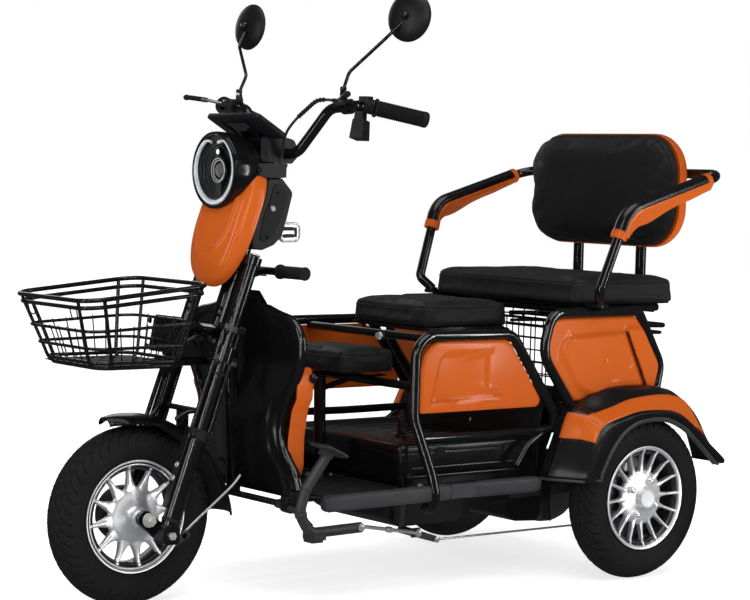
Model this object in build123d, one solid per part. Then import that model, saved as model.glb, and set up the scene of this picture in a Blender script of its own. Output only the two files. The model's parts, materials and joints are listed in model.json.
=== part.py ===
from build123d import *
import math
import os

os.makedirs("parts", exist_ok=True)

# ---------------------------------------------------------------- driving sizes (mm)
# Local model frame: rear axle at x = 0, ground at z = 0, +X forward, +Y left, +Z up.
XC = 538.0            # x of the middle of the overall length, taken off at export
WHEELBASE = 1120.0
HALF_TRACK = 316.0    # wheel plane of each rear wheel
TYRE_R = 183.0        # 3.00-8 tyre
TYRE_HALF_W = 39.0
RIM_FLANGE_R = 116.0
RIM_BED_R = 103.0
RAKE = 19.6           # steering axis, degrees back from vertical
LEG_Y = 85.0          # fork leg half spacing
LEG_X0, LEG_Z0 = 1082.0, 154.0   # a point on the fork leg axis
LEG_OFFSET = 28.0     # legs ahead of the steering axis, measured along X
STANCHION_R, SLIDER_R = 14.0, 19.0
STEM_R = 15.0
TUBE_R = 11.0         # body tubes, 22 mm
FLOOR_Z = 228.0       # top of the footboard
FLOOR_T = 14.0
HOOP_Y = 250.0        # front side hoops
REAR_HOOP_Y = 270.0
AXLE_Z = TYRE_R
T = math.tan(math.radians(RAKE))
C = math.cos(math.radians(RAKE))
S = math.sin(math.radians(RAKE))


def leg_x(z):
    return LEG_X0 - T * (z - LEG_Z0)


def axis_x(z):
    return leg_x(z) - LEG_OFFSET


U = Vector(-S, 0, C)      # up along the steering axis
E1 = Vector(C, 0, S)      # forward, square to it


# ---------------------------------------------------------------- helpers
def mirror_y(s):
    return mirror(s, about=Plane.XZ)


def tube(pts, r, bend=None):
    pts = [Vector(*p) for p in pts]
    path = Line(pts[0], pts[1]) if len(pts) == 2 else FilletPolyline(*pts, radius=bend)
    section = Plane(origin=path @ 0, z_dir=path % 0) * Circle(r)
    return sweep(section, path=path)


def rod(p0, p1, r, r1=None):
    p0, p1 = Vector(*p0), Vector(*p1)
    d = p1 - p0
    pl = Plane(origin=p0, z_dir=d)
    if r1 is None:
        return extrude(pl * Circle(r), amount=d.length)
    return loft([pl * Circle(r), Plane(origin=p1, z_dir=d) * Circle(r1)])


def block(x0, x1, y0, y1, z0, z1):
    return Pos((x0 + x1) / 2, (y0 + y1) / 2, (z0 + z1) / 2) * Box(x1 - x0, y1 - y0, z1 - z0)


def up_face(f):
    """The sketch's one face, its normal towards the plane's +Z."""
    f = f.faces()[0]
    return -f if f.normal_at().Z < 0 else f


def poly(pts):
    n = [p for i, p in enumerate(pts) if math.dist(p, pts[i - 1]) > 1e-6]
    return up_face(make_face(Polyline(*n, close=True)))


def side_plate(pts, y0, y1, fil=None):
    """Outline in XZ, as thick as y0 to y1."""
    f = poly([(p[0], p[1]) for p in pts])
    if fil:
        f = fillet(f.vertices(), radius=fil)
    pl = Plane(origin=(0, y1, 0), x_dir=(1, 0, 0), z_dir=(0, -1, 0))
    return extrude(pl * f, amount=y1 - y0)


def front_plate(pts, x0, x1, fil=None):
    """Outline in YZ, as thick as x0 to x1."""
    f = poly([(p[0], p[1]) for p in pts])
    if fil:
        f = fillet(f.vertices(), radius=fil)
    pl = Plane(origin=(x0, 0, 0), x_dir=(0, 1, 0), z_dir=(1, 0, 0))
    return extrude(pl * f, amount=x1 - x0)


def cushion(x0, x1, y0, y1, z0, z1, corner, edge):
    pl = Plane(origin=((x0 + x1) / 2, (y0 + y1) / 2, z0))
    s = extrude(pl * RectangleRounded(x1 - x0, y1 - y0, corner), amount=z1 - z0)
    return fillet(s.faces().sort_by(Axis.Z)[-1].edges(), radius=edge)


def soften(s, edges, radii):
    """Fillet with the first radius that the shape can take."""
    for r in radii:
        try:
            out = fillet(edges, radius=r)
            if out.is_valid:
                return out
        except ValueError:
            continue
    return s


def hull_plate(circles, plane, t):
    """Plate whose outline wraps circles given as (u, v, r) in a plane."""
    out = None
    n = len(circles)
    for i in range(n):
        for j in range(i + 1, n):
            (u0, v0, r0), (u1, v1, r1) = circles[i], circles[j]
            d = math.hypot(u1 - u0, v1 - v0)
            a = math.atan2(v1 - v0, u1 - u0)
            b = math.acos((r0 - r1) / d)
            q = [(u0 + r0 * math.cos(a + b), v0 + r0 * math.sin(a + b)),
                 (u1 + r1 * math.cos(a + b), v1 + r1 * math.sin(a + b)),
                 (u1 + r1 * math.cos(a - b), v1 + r1 * math.sin(a - b)),
                 (u0 + r0 * math.cos(a - b), v0 + r0 * math.sin(a - b))]
            piece = extrude(plane * poly(q), amount=t)
            out = piece if out is None else out + piece
    for (u, v, r) in circles:
        out += extrude(plane * Pos(u, v) * Circle(r), amount=t)
    return out


def biggest(s):
    return Part() + max(s.solids(), key=lambda q: q.volume)


NODES = {}


def keep(name, *shapes):
    solids = []
    for s in shapes:
        solids += list(s.solids())
    NODES[name] = [Pos(-XC, 0, 0) * s for s in solids]


# ---------------------------------------------------------------- wheels
def wheel_tyre(b=33.0):
    with BuildSketch(Plane.XZ) as sk:
        with BuildLine():
            Polyline((RIM_BED_R, -b), (RIM_BED_R, b), (117.0, b))
            ThreePointArc((117.0, b), (148.0, TYRE_HALF_W), (171.0, 32.0))
            ThreePointArc((171.0, 32.0), (TYRE_R, 0.0), (171.0, -32.0))
            ThreePointArc((171.0, -32.0), (148.0, -TYRE_HALF_W), (117.0, -b))
            Line((117.0, -b), (RIM_BED_R, -b))
        make_face()
    return revolve(sk.sketch, axis=Axis.Z)


def wheel_rim(spokes, w_in, w_out, hub_lo, hub_hi, bore, bore_top, disc_z, b=33.0):
    rim = Cylinder(RIM_BED_R, 2 * b) - Cylinder(97.0, 2 * b + 1)
    for sgn in (-1, 1):
        rim += Pos(0, 0, sgn * (b + 2.0)) * (Cylinder(RIM_FLANGE_R, 4.0) - Cylinder(98.0, 5.0))
    hub = Pos(0, 0, (hub_lo + hub_hi) / 2) * Cylinder(30.0, hub_hi - hub_lo)
    disc = Pos(0, 0, disc_z) * Cylinder(46.0, 10.0)
    rim = rim + hub + disc
    spoke = poly([(40.0, -w_in), (99.0, -w_out), (99.0, w_out), (40.0, w_in)])
    blade = extrude(Plane.XY.offset(disc_z - 6.0) * spoke, amount=12.0)
    for i in range(spokes):
        rim += Rot(0, 0, 360.0 * i / spokes) * blade
    rim -= Pos(0, 0, (bore_top + hub_lo - 1) / 2) * Cylinder(bore, bore_top - hub_lo + 1)
    return rim


STAND = Rot(-90, 0, 0)         # wheel axis to +Y
tyre = STAND * wheel_tyre()
keep("front_tyre", Pos(WHEELBASE, 0, AXLE_Z) * (STAND * wheel_tyre(25.0)))
keep("rear_tyre_left", Pos(0, HALF_TRACK, AXLE_Z) * tyre)
keep("rear_tyre_right", Pos(0, -HALF_TRACK, AXLE_Z) * tyre)
front_rim = STAND * wheel_rim(12, 9.0, 5.0, -48.0, 48.0, 8.05, 49.0, 12.0, 25.0)
keep("front_rim", Pos(WHEELBASE, 0, AXLE_Z) * front_rim)
rear_rim = STAND * (wheel_rim(16, 4.5, 3.0, -30.0, 36.0, 10.05, 27.0, 22.0) + Pos(0, 0, 40) * Cylinder(24.5, 12))
keep("rear_rim_left", Pos(0, HALF_TRACK, AXLE_Z) * rear_rim)
keep("rear_rim_right", mirror_y(Pos(0, HALF_TRACK, AXLE_Z) * rear_rim))

# ---------------------------------------------------------------- chassis
rail = side_plate([(880, 184), (880, 214), (195, 214), (120, 372), (-185, 372), (-185, 342),
                   (100, 342), (172, 184)], 135, 165)
keep("chassis_rails", rail, mirror_y(rail))
cross = [block(850, 880, -135, 135, 184, 214), block(560, 590, -135, 135, 184, 214),
         block(300, 330, -135, 135, 184, 214), block(-185, -155, -135, 135, 342, 372),
         block(85, 115, -135, 135, 342, 372)]
cross[3] -= rod((-190, 40, 357), (-150, 40, 357), 3.25) + rod((-190, -40, 357), (-150, -40, 357), 3.25)
keep("chassis_cross_members", *cross)

head = rod((axis_x(523), 0, 523), (axis_x(674), 0, 674), 22)
down = rod((885, 0, 575), (864.9, 0, 208), 15) - block(830, 900, -30, 30, 190, 214.05)
head = head + down
head -= rod((axis_x(500), 0, 500), (axis_x(700), 0, 700), STEM_R + 0.05)
keep("head_tube", head)

# footboard with its bumper strips down both sides
deck = Plane.XY.offset(FLOOR_Z - FLOOR_T) * poly([
    (844, 185), (800, 262), (790, 268), (318, 268), (318, 228), (196, 228), (196, -228), (318, -228),
    (318, -268), (790, -268), (800, -262), (844, -185)])
floor = extrude(deck, amount=FLOOR_T)
strip = block(318, 792, 268, 282, 209, 234)
floor = floor + strip + mirror_y(strip)
keep("floorboard", floor)

# leg shield: a pressed sheet with a tube round its edge
half = [(48, 640), (66, 622), (112, 603), (186, 596), (220, 560), (228, 520), (224, 440),
        (196, 365), (192, 330), (207, 275), (212, 250), (204, 229)]
sheet = front_plate(half + [(-y, z) for y, z in reversed(half)], 845, 850)
edge = [(846, 108, 604), (846, 190, 598), (846, 228, 545), (846, 226, 440), (846, 190, 345),
        (846, 213, 262), (846, 205, 239)]
edge_tube = tube(edge, 10, [30, 42, 120, 90, 60])
keep("leg_shield", sheet + edge_tube + mirror_y(edge_tube))

# rider-side cover behind the leg shield
ish = [(175, 500), (192, 470), (192, 425), (176, 400), (165, 340), (165, 280), (150, 240)]
ish_full = ish + [(-y, z) for y, z in reversed(ish)]
cover = front_plate(ish_full, 800, 844.5)
inner = [(171, 496), (188, 469), (188, 427), (172, 401), (161, 340), (161, 280), (147, 244)]
cover -= front_plate(inner + [(-y, z) for y, z in reversed(inner)], 804, 846)
cover = chamfer(cover.faces().sort_by(Axis.X)[0].outer_wire().edges(), length=3)
keep("inner_shield", cover)

# battery tub under the driver's seat
tub = extrude(Plane(origin=(397.5, 0, FLOOR_Z)) * RectangleRounded(395, 450, 18), amount=92)
tub = fillet(tub.faces().sort_by(Axis.Z)[-1].edges(), radius=8)
keep("battery_tub", tub)

# ---------------------------------------------------------------- side hoops and panels
hoop = tube([(561, 295, 203), (566, 293, 262), (586, 252, 377), (584, 250, 549), (318, 250, 549),
             (190, 250, 372), (186, 250, 337)], TUBE_R, [60, 60, 48, 42, 30])
low = rod((577, 264, 337), (186, 250, 337), 9)
hoop = hoop + low
keep("side_hoops", hoop, mirror_y(hoop))
panel = side_plate([(571.5, 394), (571.5, 478), (561, 514), (534, 536), (336, 536), (324, 530), (222, 394)],
                   243, 256)
recess = side_plate([(548, 410), (540, 500), (520, 512), (400, 512), (360, 430), (350, 415)], 252, 258)
panel = panel - recess
panel = chamfer(panel.faces().sort_by(Axis.Y)[-1].outer_wire().edges(), length=3)
keep("front_side_panels", panel, mirror_y(panel))

# ---------------------------------------------------------------- child seat
child = cushion(527, 667, -106, 106, 462, 514, 18, 8)
keep("child_seat_cushion", child)
post = rod((641, 0, 230), (646, 0, 452), 13) + Pos(641, 0, 231) * Cylinder(32, 6)
plate = block(535, 660, -92, 92, 450, 462)
post = post + plate
keep("child_seat_frame", post)

# ---------------------------------------------------------------- driver's seat mount, hinge and lid
PIN = (226.0, 545.0)
mount = rod((300, -238.8, 538), (300, 238.8, 538), 9)
for s in (-1, 1):
    for a, b in ((70, 84.5), (115.5, 130)):
        y0, y1 = sorted((s * a, s * b))
        mount += block(219.5, 300, y0, y1, 531, 540)
        mount += block(219.5, 232.5, y0, y1, 535, 545) + rod((PIN[0], y0, PIN[1]), (PIN[0], y1, PIN[1]), 7)
    mount += rod((PIN[0], s * 70, PIN[1]), (PIN[0], s * 130, PIN[1]), 4)
front_mount = rod((500, -238.8, 538), (500, 238.8, 538), 9)
child_mount = rod((556, -238.8, 440.5), (556, 238.8, 440.5), 9)
keep("seat_cross_tubes", mount, front_mount, child_mount)

pan = block(240, 458, -136, 136, 549.5, 556)
for s in (-1, 1):
    y0, y1 = sorted((s * 85, s * 115))
    pan += block(226, 242, y0, y1, 549.5, 556)
    pan += rod((PIN[0], y0, PIN[1]), (PIN[0], y1, PIN[1]), 8)
for s in (-1, 1):
    y0, y1 = sorted((s * 80, s * 120))
    pan -= rod((PIN[0], y0, PIN[1]), (PIN[0], y1, PIN[1]), 4.05)
keep("driver_seat_pan", pan)
keep("driver_seat_cushion", cushion(222, 466, -142, 142, 556, 612, 30, 14))

# ---------------------------------------------------------------- rear body
deck2 = block(-110, 165, -282, 282, 372, 378)
keep("rear_deck", deck2)
RH = [(137.8, 270, 362.3), (247, 270, 505), (222, 270, 592), (-42, 270, 592), (-116, 270, 470), (-91.7, 270, 358.7)]
rhoop = tube(RH, TUBE_R, [70, 40, 24, 50])
rhoop -= block(-130, 200, 255, 285, 340, 378.05)
keep("rear_hoops", rhoop, mirror_y(rhoop))
rpanel = side_plate([(157, 400), (233, 503), (212, 578), (-32, 578), (-101, 468), (-84, 392), (140, 392)], 263, 276)
rpanel = rpanel - tube(RH, TUBE_R + 0.4, [70, 40, 24, 50])
rpanel = biggest(rpanel)
raised = side_plate([(192, 500), (176, 546), (20, 550), (-28, 430), (110, 420)], 276, 281, 8)
rpanel = rpanel + raised
keep("rear_side_panels", rpanel, mirror_y(rpanel))


# rear fenders: a shell over each wheel, open underneath, its front face slanting in plan
FENDER_A = [(234, 222), (234, 250), (205, 316), (181, 372), (150, 392), (92, 417), (40, 427), (-44, 428), (-100, 420), (-150, 402),
            (-200, 345), (-240, 256), (-240, 222)]
FENDER_B = [(212, 222), (212, 250), (183, 316), (161, 368), (128, 378), (85, 388), (30, 402), (-44, 408), (-100, 405), (-146, 388),
            (-196, 338), (-238, 256), (-238, 222)]
FENDER_C = [(196, 222), (196, 250), (166, 312), (146, 350), (118, 362), (80, 371), (30, 380), (-35, 380), (-85, 373), (-128, 352),
            (-178, 312), (-236, 256), (-236, 222)]
FENDER_D = [(189, 222), (189, 250), (160, 306), (141, 338), (114, 354), (76, 364), (28, 374), (-35, 375), (-84, 368), (-126, 345),
            (-176, 305), (-234, 254), (-234, 222)]


def inset(pts, d):
    """An open outline moved d towards its inside, the side to the right of the run from front to tail."""
    out = []
    for i, (x, z) in enumerate(pts):
        n = [0.0, 0.0]
        for j in (i - 1, i):
            if 0 <= j < len(pts) - 1:
                dx, dz = pts[j + 1][0] - pts[j][0], pts[j + 1][1] - pts[j][1]
                k = math.hypot(dx, dz)
                n[0] += dz / k
                n[1] += -dx / k
        k = math.hypot(*n)
        mid = max(0.5, k / 2) if 0 < i < len(pts) - 1 else 1
        out.append((x - d * n[0] / k / mid, z - d * n[1] / k / mid))
    return out


def fender_solid(d):
    sections = [(262 + d, FENDER_A), (290 - d * 0.2, FENDER_A), (325 - d * 0.6, FENDER_B), (352 - d * 0.9, FENDER_C), (364 - d, FENDER_D)]
    faces = []
    for y, pts in sections:
        o = inset(pts, d) if d else pts
        if d:
            o = [(o[0][0], 212)] + o[1:-1] + [(o[-1][0], 212)]
        faces.append(Plane(origin=(0, y, 0), x_dir=(1, 0, 0), z_dir=(0, -1, 0)) * poly(o))
    return loft(faces, ruled=True)


shell = fender_solid(0) - fender_solid(4)
arch = side_plate([(150, 195), (146, 243), (138, 257), (115, 296), (79, 334), (30, 356), (-46, 358), (-106, 336),
                   (-150, 303), (-206, 252), (-212, 243), (-212, 195)], 353, 370)
arch_in = side_plate([(190, 195), (186, 296), (120, 360), (-110, 360), (-190, 290), (-236, 243), (-245, 195)], 258, 270)
shell = shell - arch - arch_in - block(-110.5, 165.5, 255, 282.5, 371.5, 445) - block(-128, -100, 255, 282.5, 378.5, 445)
shell = shell - block(140, 260, 255, 282.5, 378.5, 445) - block(-260, 260, 255, 400, 205, 229.5)
keep("rear_fenders", shell, mirror_y(shell))

# rear seat
rear_rail = rod((128, 236, 598), (-132, 236, 598), 9)
rear_frame = rear_rail + mirror_y(rear_rail)
rear_frame += rod((100, -257, 594), (100, 257, 594), 8) + rod((-20, -257, 594), (-20, 257, 594), 8)
rear_frame += rod((-122, -236, 594), (-122, 236, 594), 8)
rear_frame += block(-170, 116, -238, 238, 606.0, 612)
keep("rear_seat_frame", rear_frame)
keep("rear_seat_cushion", cushion(-176, 124, -250, 250, 612, 668, 38, 14))

bpost = tube([(-131, 106, 588), (-208, 106, 588), (-208, 106, 850)], 12.5, [34])
keep("backrest_posts", bpost, mirror_y(bpost))
back_pl = Plane(origin=(-195, 0, 863), x_dir=(0, 1, 0), z_dir=(1, 0, 0))
bc = extrude(back_pl * RectangleRounded(500, 258, 88), amount=55)
bc = fillet(bc.faces().sort_by(Axis.X)[-1].edges(), radius=20)
keep("backrest_cushion", bc)
shell_pl = Plane(origin=(-195, 0, 863), x_dir=(0, 1, 0), z_dir=(-1, 0, 0))
bs = extrude(shell_pl * RectangleRounded(512, 264, 92), amount=31)
bs = fillet(bs.faces().sort_by(Axis.X)[0].edges(), radius=16)
for s in (-1, 1):
    bs -= rod((-208, s * 106, 700), (-208, s * 106, 850.5), 12.6)
keep("backrest_shell", bs)

# armrest: one bent tube from hoop to hoop, passing behind the backrest
arm_pts = [(98, 288, 612), (121, 311, 640), (60, 327, 815), (-238, 329, 904),
           (-238, -329, 904), (60, -327, 815), (121, -311, 640), (98, -288, 612)]
arm = tube(arm_pts, TUBE_R, [18, 62, 40, 40, 62, 18])
foot = block(80, 116, 262, 298, 603.4, 612) + rod((98, 288, 603.4), (98, 288, 616), 11)
arm = arm + foot + mirror_y(foot)
keep("armrest_tube", arm)
A = Vector(60, 327, 815)
B = Vector(-238, 329, 904)
d_ab = (B - A).normalized()
d_low = (A - Vector(121, 311, 640)).normalized()
pad_path = [A - d_low * 62, A, A + d_ab * 262]
pad = tube([tuple(p) for p in pad_path], 17, [62])
pad = pad - tube([tuple(A - d_low * 80), tuple(A), tuple(A + d_ab * 290)], TUBE_R + 0.1, [62])
keep("armrest_pads", pad, mirror_y(pad))

# cargo basket between the rear side panels
cb = block(-90, 150, -232, 232, 384, 574) - block(-86, 146, -228, 228, 388, 580)
bar = tube([(-88, 215, 556), (-150, 215, 556), (-150, -215, 556), (-88, -215, 556)], 7, [30, 30])
keep("cargo_basket", cb + bar)
lamp2 = block(-121, -96, -60, 60, 400, 440)
keep("tail_lamp", lamp2)

# ---------------------------------------------------------------- rear axle with motor
axle = rod((0, -341, AXLE_Z), (0, 341, AXLE_Z), 10)
axle += rod((0, -226, AXLE_Z), (0, 226, AXLE_Z), 22)
for s in (-1, 1):
    axle += rod((0, s * 225, AXLE_Z), (0, s * 279, AXLE_Z), 62)
    y0, y1 = sorted((s * 115, s * 135))
    axle += block(0, 208, y0, y1, 168, 192)
    y0, y1 = sorted((s * 136, s * 164))
    axle += block(-22, 22, y0, y1, 190, 212)

diff = Pos(-12, 0, 166) * (Rot(90, 0, 0) * Cylinder(86, 124))
diff = fillet(diff.edges(), radius=24)
axle += diff
motor = rod((-34, -60, 168), (-34, -112, 168), 62)
axle += motor
axle += block(-7, 7, 143, 157, 88, 170)
keep("drive_axle", axle)
shock = rod((0, 150, 212), (0, 150, 342), 23)
keep("rear_shocks", shock, mirror_y(shock))

# ---------------------------------------------------------------- foot brake
arm_b = tube([(846, 300, 322), (898, 300, 258), (912, 300, 212), (886, 300, 170), (756, 300, 172)], 11, [30, 26, 30])
padb = Pos(842, 300, 334) * (Rot(0, -25, 0) * Box(58, 70, 9))
shaft = rod((862, 165.2, 171), (862, 300, 171), 8)
link = rod((764, 284, 174), (530, 200, 127), 4)
lever = rod((530, 206, 127), (530, 144, 127), 7) + rod((530, 150, 127), (432, 150, 97), 7)
thin = rod((438, 150, 97), (7.2, 150, 95), 2.6)
hang = rod((530, 150, 127), (530, 150, 184), 6)
keep("foot_brake", arm_b + padb + shaft, link + lever + thin + hang)

# ---------------------------------------------------------------- steering column and fork
stem = rod((axis_x(488), 0, 488), (axis_x(905), 0, 905), STEM_R)
off = LEG_OFFSET * C


def clamp(z, t, r=21):
    o = Vector(axis_x(z), 0, z) - U * (t / 2)
    pl = Plane(origin=o, x_dir=E1, z_dir=U)
    k = hull_plate([(0, 0, 25), (off, LEG_Y, r), (off, -LEG_Y, r)], pl, t)
    return k


stem = stem + clamp(502, 32) + clamp(691, 18, 17.5)
for s in (-1, 1):
    stem -= rod((leg_x(450), s * LEG_Y, 450), (leg_x(760), s * LEG_Y, 760), STANCHION_R + 0.05)
# handlebar clamp block at the top of the stem
hb = Plane(origin=Vector(axis_x(905), 0, 905), x_dir=E1, z_dir=U)
stem += extrude(hb.offset(-14) * RectangleRounded(44, 70, 8), amount=16)
for s in (-1, 1):
    y0, y1 = sorted((s * 26, s * 38))
    stem += block(leg_x(502) - 4, 1140, y0, y1, 486, 496.8)
stem += block(leg_x(502) + 12, leg_x(502) + 22, -38, 38, 486, 520)
keep("steering_stem", stem)

leg = rod((leg_x(332), LEG_Y, 332), (leg_x(708), LEG_Y, 708), STANCHION_R)
leg += rod((leg_x(150), LEG_Y, 150), (leg_x(345), LEG_Y, 345), SLIDER_R)
kn = block(leg_x(152) - 19, leg_x(152) + 19, 66, 104, 134, 172)
kn = fillet(kn.edges().filter_by(Axis.Y), radius=8)
leg += kn
keep("fork_legs", leg, mirror_y(leg))

link_pl = Plane(origin=(0, 66, 0), x_dir=(1, 0, 0), z_dir=(0, -1, 0))
lk = hull_plate([(leg_x(152), 152, 16), (WHEELBASE, AXLE_Z, 17)], link_pl, 12)
axl = lk + mirror_y(lk) + rod((WHEELBASE, -74, AXLE_Z), (WHEELBASE, 74, AXLE_Z), 8)
axl += rod((WHEELBASE, 66, AXLE_Z), (WHEELBASE, 76, AXLE_Z), 13) + rod((WHEELBASE, -66, AXLE_Z), (WHEELBASE, -76, AXLE_Z), 13)
keep("front_axle_links", axl)

# front fender between the fork legs, carried on the lower clamp by a stay
FEN_X, FEN_Z = 1134.6, 137.9


def fender_ring():
    with BuildSketch(Plane.XZ) as sk:
        with BuildLine():
            ThreePointArc((239.0, -46.0), (253.0, 0.0), (239.0, 46.0))
            Line((239.0, 46.0), (236.0, 46.0))
            ThreePointArc((236.0, 46.0), (250.0, 0.0), (236.0, -46.0))
            Line((236.0, -46.0), (239.0, -46.0))
        make_face()
    return revolve(sk.sketch, axis=Axis.Z)


def fen_at(r, a):
    return (FEN_X + r * math.cos(math.radians(a)), FEN_Z + r * math.sin(math.radians(a)))


blade = Pos(FEN_X, 0, FEN_Z) * (STAND * fender_ring())
blade = blade & side_plate([(FEN_X, FEN_Z), fen_at(320, 78.5), fen_at(420, 110), fen_at(420, 140), fen_at(320, 171.8)], -60, 60)
for s in (-1, 1):
    corner = Plane.XY.offset(330) * poly([(1200, s * 6.1), (1200, s * 60), (1139, s * 60)])
    blade -= extrude(corner, amount=100)
blade += block(990, 1002, -20, 20, 344, 395)
ff_top = rod((leg_x(395), -70.8, 395), (leg_x(395), 70.8, 395), 6)
keep("front_fender", blade + ff_top)

# headlamp bucket
prof = [(844, 0), (844, 48), (862, 62), (900, 75), (930, 76), (936, 73), (936, 0)]
lf = make_face(Polyline(*prof, close=True))
lamp = revolve(Plane(origin=(0, 0, 0), x_dir=(1, 0, 0), z_dir=(0, -1, 0)) * lf, axis=Axis.X)
lamp = Pos(0, 0, 887) * lamp
keep("headlamp", lamp)

# nose cowl: a moulded shell in front of the column, open at the back
cw_pl = Plane(origin=Vector(axis_x(760), 0, 760) + E1 * 45, x_dir=(0, 1, 0), z_dir=E1)


def cowl_outline(d):
    with BuildSketch() as sk:
        with BuildLine():
            w = 88 - d
            Polyline((-(72 - d), 128 - d), (72 - d, 128 - d), (w, 60), (w, -10))
            ThreePointArc((w, -10), (52 - d * 0.8, -96 + d * 0.6), (0, -120 + d))
            ThreePointArc((0, -120 + d), (-52 + d * 0.8, -96 + d * 0.6), (-w, -10))
            Polyline((-w, -10), (-w, 60), (-(72 - d), 128 - d))
        make_face()
    return up_face(sk.sketch)


cowl = loft([cw_pl * cowl_outline(0), cw_pl.offset(52) * cowl_outline(15)])
cowl = soften(cowl, cowl.faces().sort_by(Axis((0, 0, 0), (C, 0, S)))[-1].edges(), (8, 5, 3, 2))
cowl_in = loft([cw_pl.offset(-0.5) * cowl_outline(4), cw_pl.offset(48) * cowl_outline(18)])
cowl = cowl - cowl_in - rod((820, 0, 887), (1000, 0, 887), 80)
cowl = biggest(cowl)
keep("nose_cowl", cowl)

# switch housing behind the cowl, round the column
sb = side_plate([(826, 884), (778, 850), (796, 785), (806, 752), (846, 722), (874, 724), (862, 790), (840, 830), (838, 884)],
                -60, 60, 6)
sb -= rod((axis_x(680), 0, 680), (axis_x(905), 0, 905), STEM_R + 0.3)
sb -= rod((842, 0, 887), (1000, 0, 887), 77)
sb = biggest(sb)
hook = tube([(800, 44, 775), (762, 44, 775), (762, 44, 750), (800, 44, 750)], 4, [8, 8])
keep("switch_housing", sb + hook)

# lamp and panel bracket
ip_pl = Plane(origin=(860, 0, 982), x_dir=(0, 1, 0), z_dir=Vector(-math.sin(math.radians(30)), 0, math.cos(math.radians(30))))
ip = extrude(ip_pl * RectangleRounded(172, 78, 10), amount=14)
ip += rod((862, 0, 975), (800, 0, 900), 9)
ip -= rod((axis_x(820), 0, 820), (axis_x(925), 0, 925), STEM_R + 24)
ip = biggest(ip)
keep("instrument_panel", ip)

# handlebar
hb_pts = [(783, 0, 921), (775, 76, 924), (748, 150, 1018), (735, 246, 1024), (616, 300, 998)]
hb_left = hb_pts[1:]
hb_right = [(x, -y, z) for x, y, z in reversed(hb_left)]
hbar = tube(hb_right + [hb_pts[0]] + hb_left, 11, [34, 40, 40, 150, 40, 40, 34])
keep("handlebar", hbar)
G0, G1 = Vector(735, 246, 1024), Vector(616, 300, 998)
gd = (G1 - G0).normalized()
ga = G0 + gd * 24
gb = G1 + gd * 3
grip = rod(tuple(ga), tuple(gb), 16.5) - rod(tuple(G0), tuple(G1), 11.05)
keep("hand_grips", grip, mirror_y(grip))

# brake levers with their perches
L0 = Vector(744, 186, 1020)
perch = Pos(742, 196, 1021) * Box(34, 26, 34)
perch = perch - tube([(783, 0, 921)] + hb_pts[1:], 11.05, [40, 40, 34])
perch = biggest(perch)
lev = tube([(758, 196, 1026), (786, 232, 1036), (816, 300, 1043)], 5, [40])
keep("brake_levers", perch + lev, mirror_y(perch + lev))

# mirrors
ms = tube([(744, 187, 1038), (728, 185, 1092), (696, 262, 1160), (672, 276, 1190)], 5, [20, 30])
mc = Vector(655, 284, 1206)
mn = Vector(-0.93, -0.3, -0.1).normalized()
disc = extrude(Plane(origin=mc - mn * 12, z_dir=mn) * Circle(52), amount=15)
mir = ms + disc
mir -= Pos(742, 196, 1021) * Box(34.2, 26.2, 34.2)
mir = biggest(mir)
keep("mirrors", mir, mirror_y(mir))

# child's hand grip on the head tube
gz = 661
go = Vector(axis_x(gz), 0, gz) - U * 7
ring = extrude(Plane(origin=go, x_dir=E1, z_dir=U) * (Circle(28) - Circle(22.1)), amount=14)
chg = ring + rod((848, 0, 663), (802, 0, 677), 7) + rod((802, -75, 677), (802, 75, 677), 8.5)
for s in (-1, 1):
    chg += rod((802, s * 62, 677), (802, s * 152, 677), 13)
chg -= rod((axis_x(523), 0, 523), (axis_x(676), 0, 676), 22.1)
keep("child_hand_grip", chg)

# front basket and its bracket
bz0, bz1 = 497.0, 648.0
bo = loft([Plane(origin=(1168, 0, bz0)) * RectangleRounded(214, 232, 30),
           Plane(origin=(1176, 0, bz1)) * RectangleRounded(298, 312, 36)])
bi = loft([Plane(origin=(1168, 0, bz0 + 5)) * RectangleRounded(208, 226, 28),
           Plane(origin=(1176, 0, bz1 + 0.5)) * RectangleRounded(291, 305, 33)])
bo = bo - bi
keep("front_basket", bo)
# control cables, left and right
cab = tube([(752, 170, 1036), (800, 150, 1030), (818, 104, 985), (806, 66, 930), (812, 66, 892)], 4, [26, 30, 26])
keep("control_cables", cab, mirror_y(cab))

# ---------------------------------------------------------------- write
for name, solids in NODES.items():
    export_step(Compound(children=solids) if len(solids) > 1 else solids[0], f"parts/{name}.step")
print(len(NODES), "nodes")
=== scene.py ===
import bpy, bmesh, json, math, random
import numpy as np
from mathutils import Vector, Matrix
from mathutils.bvhtree import BVHTree

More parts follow.
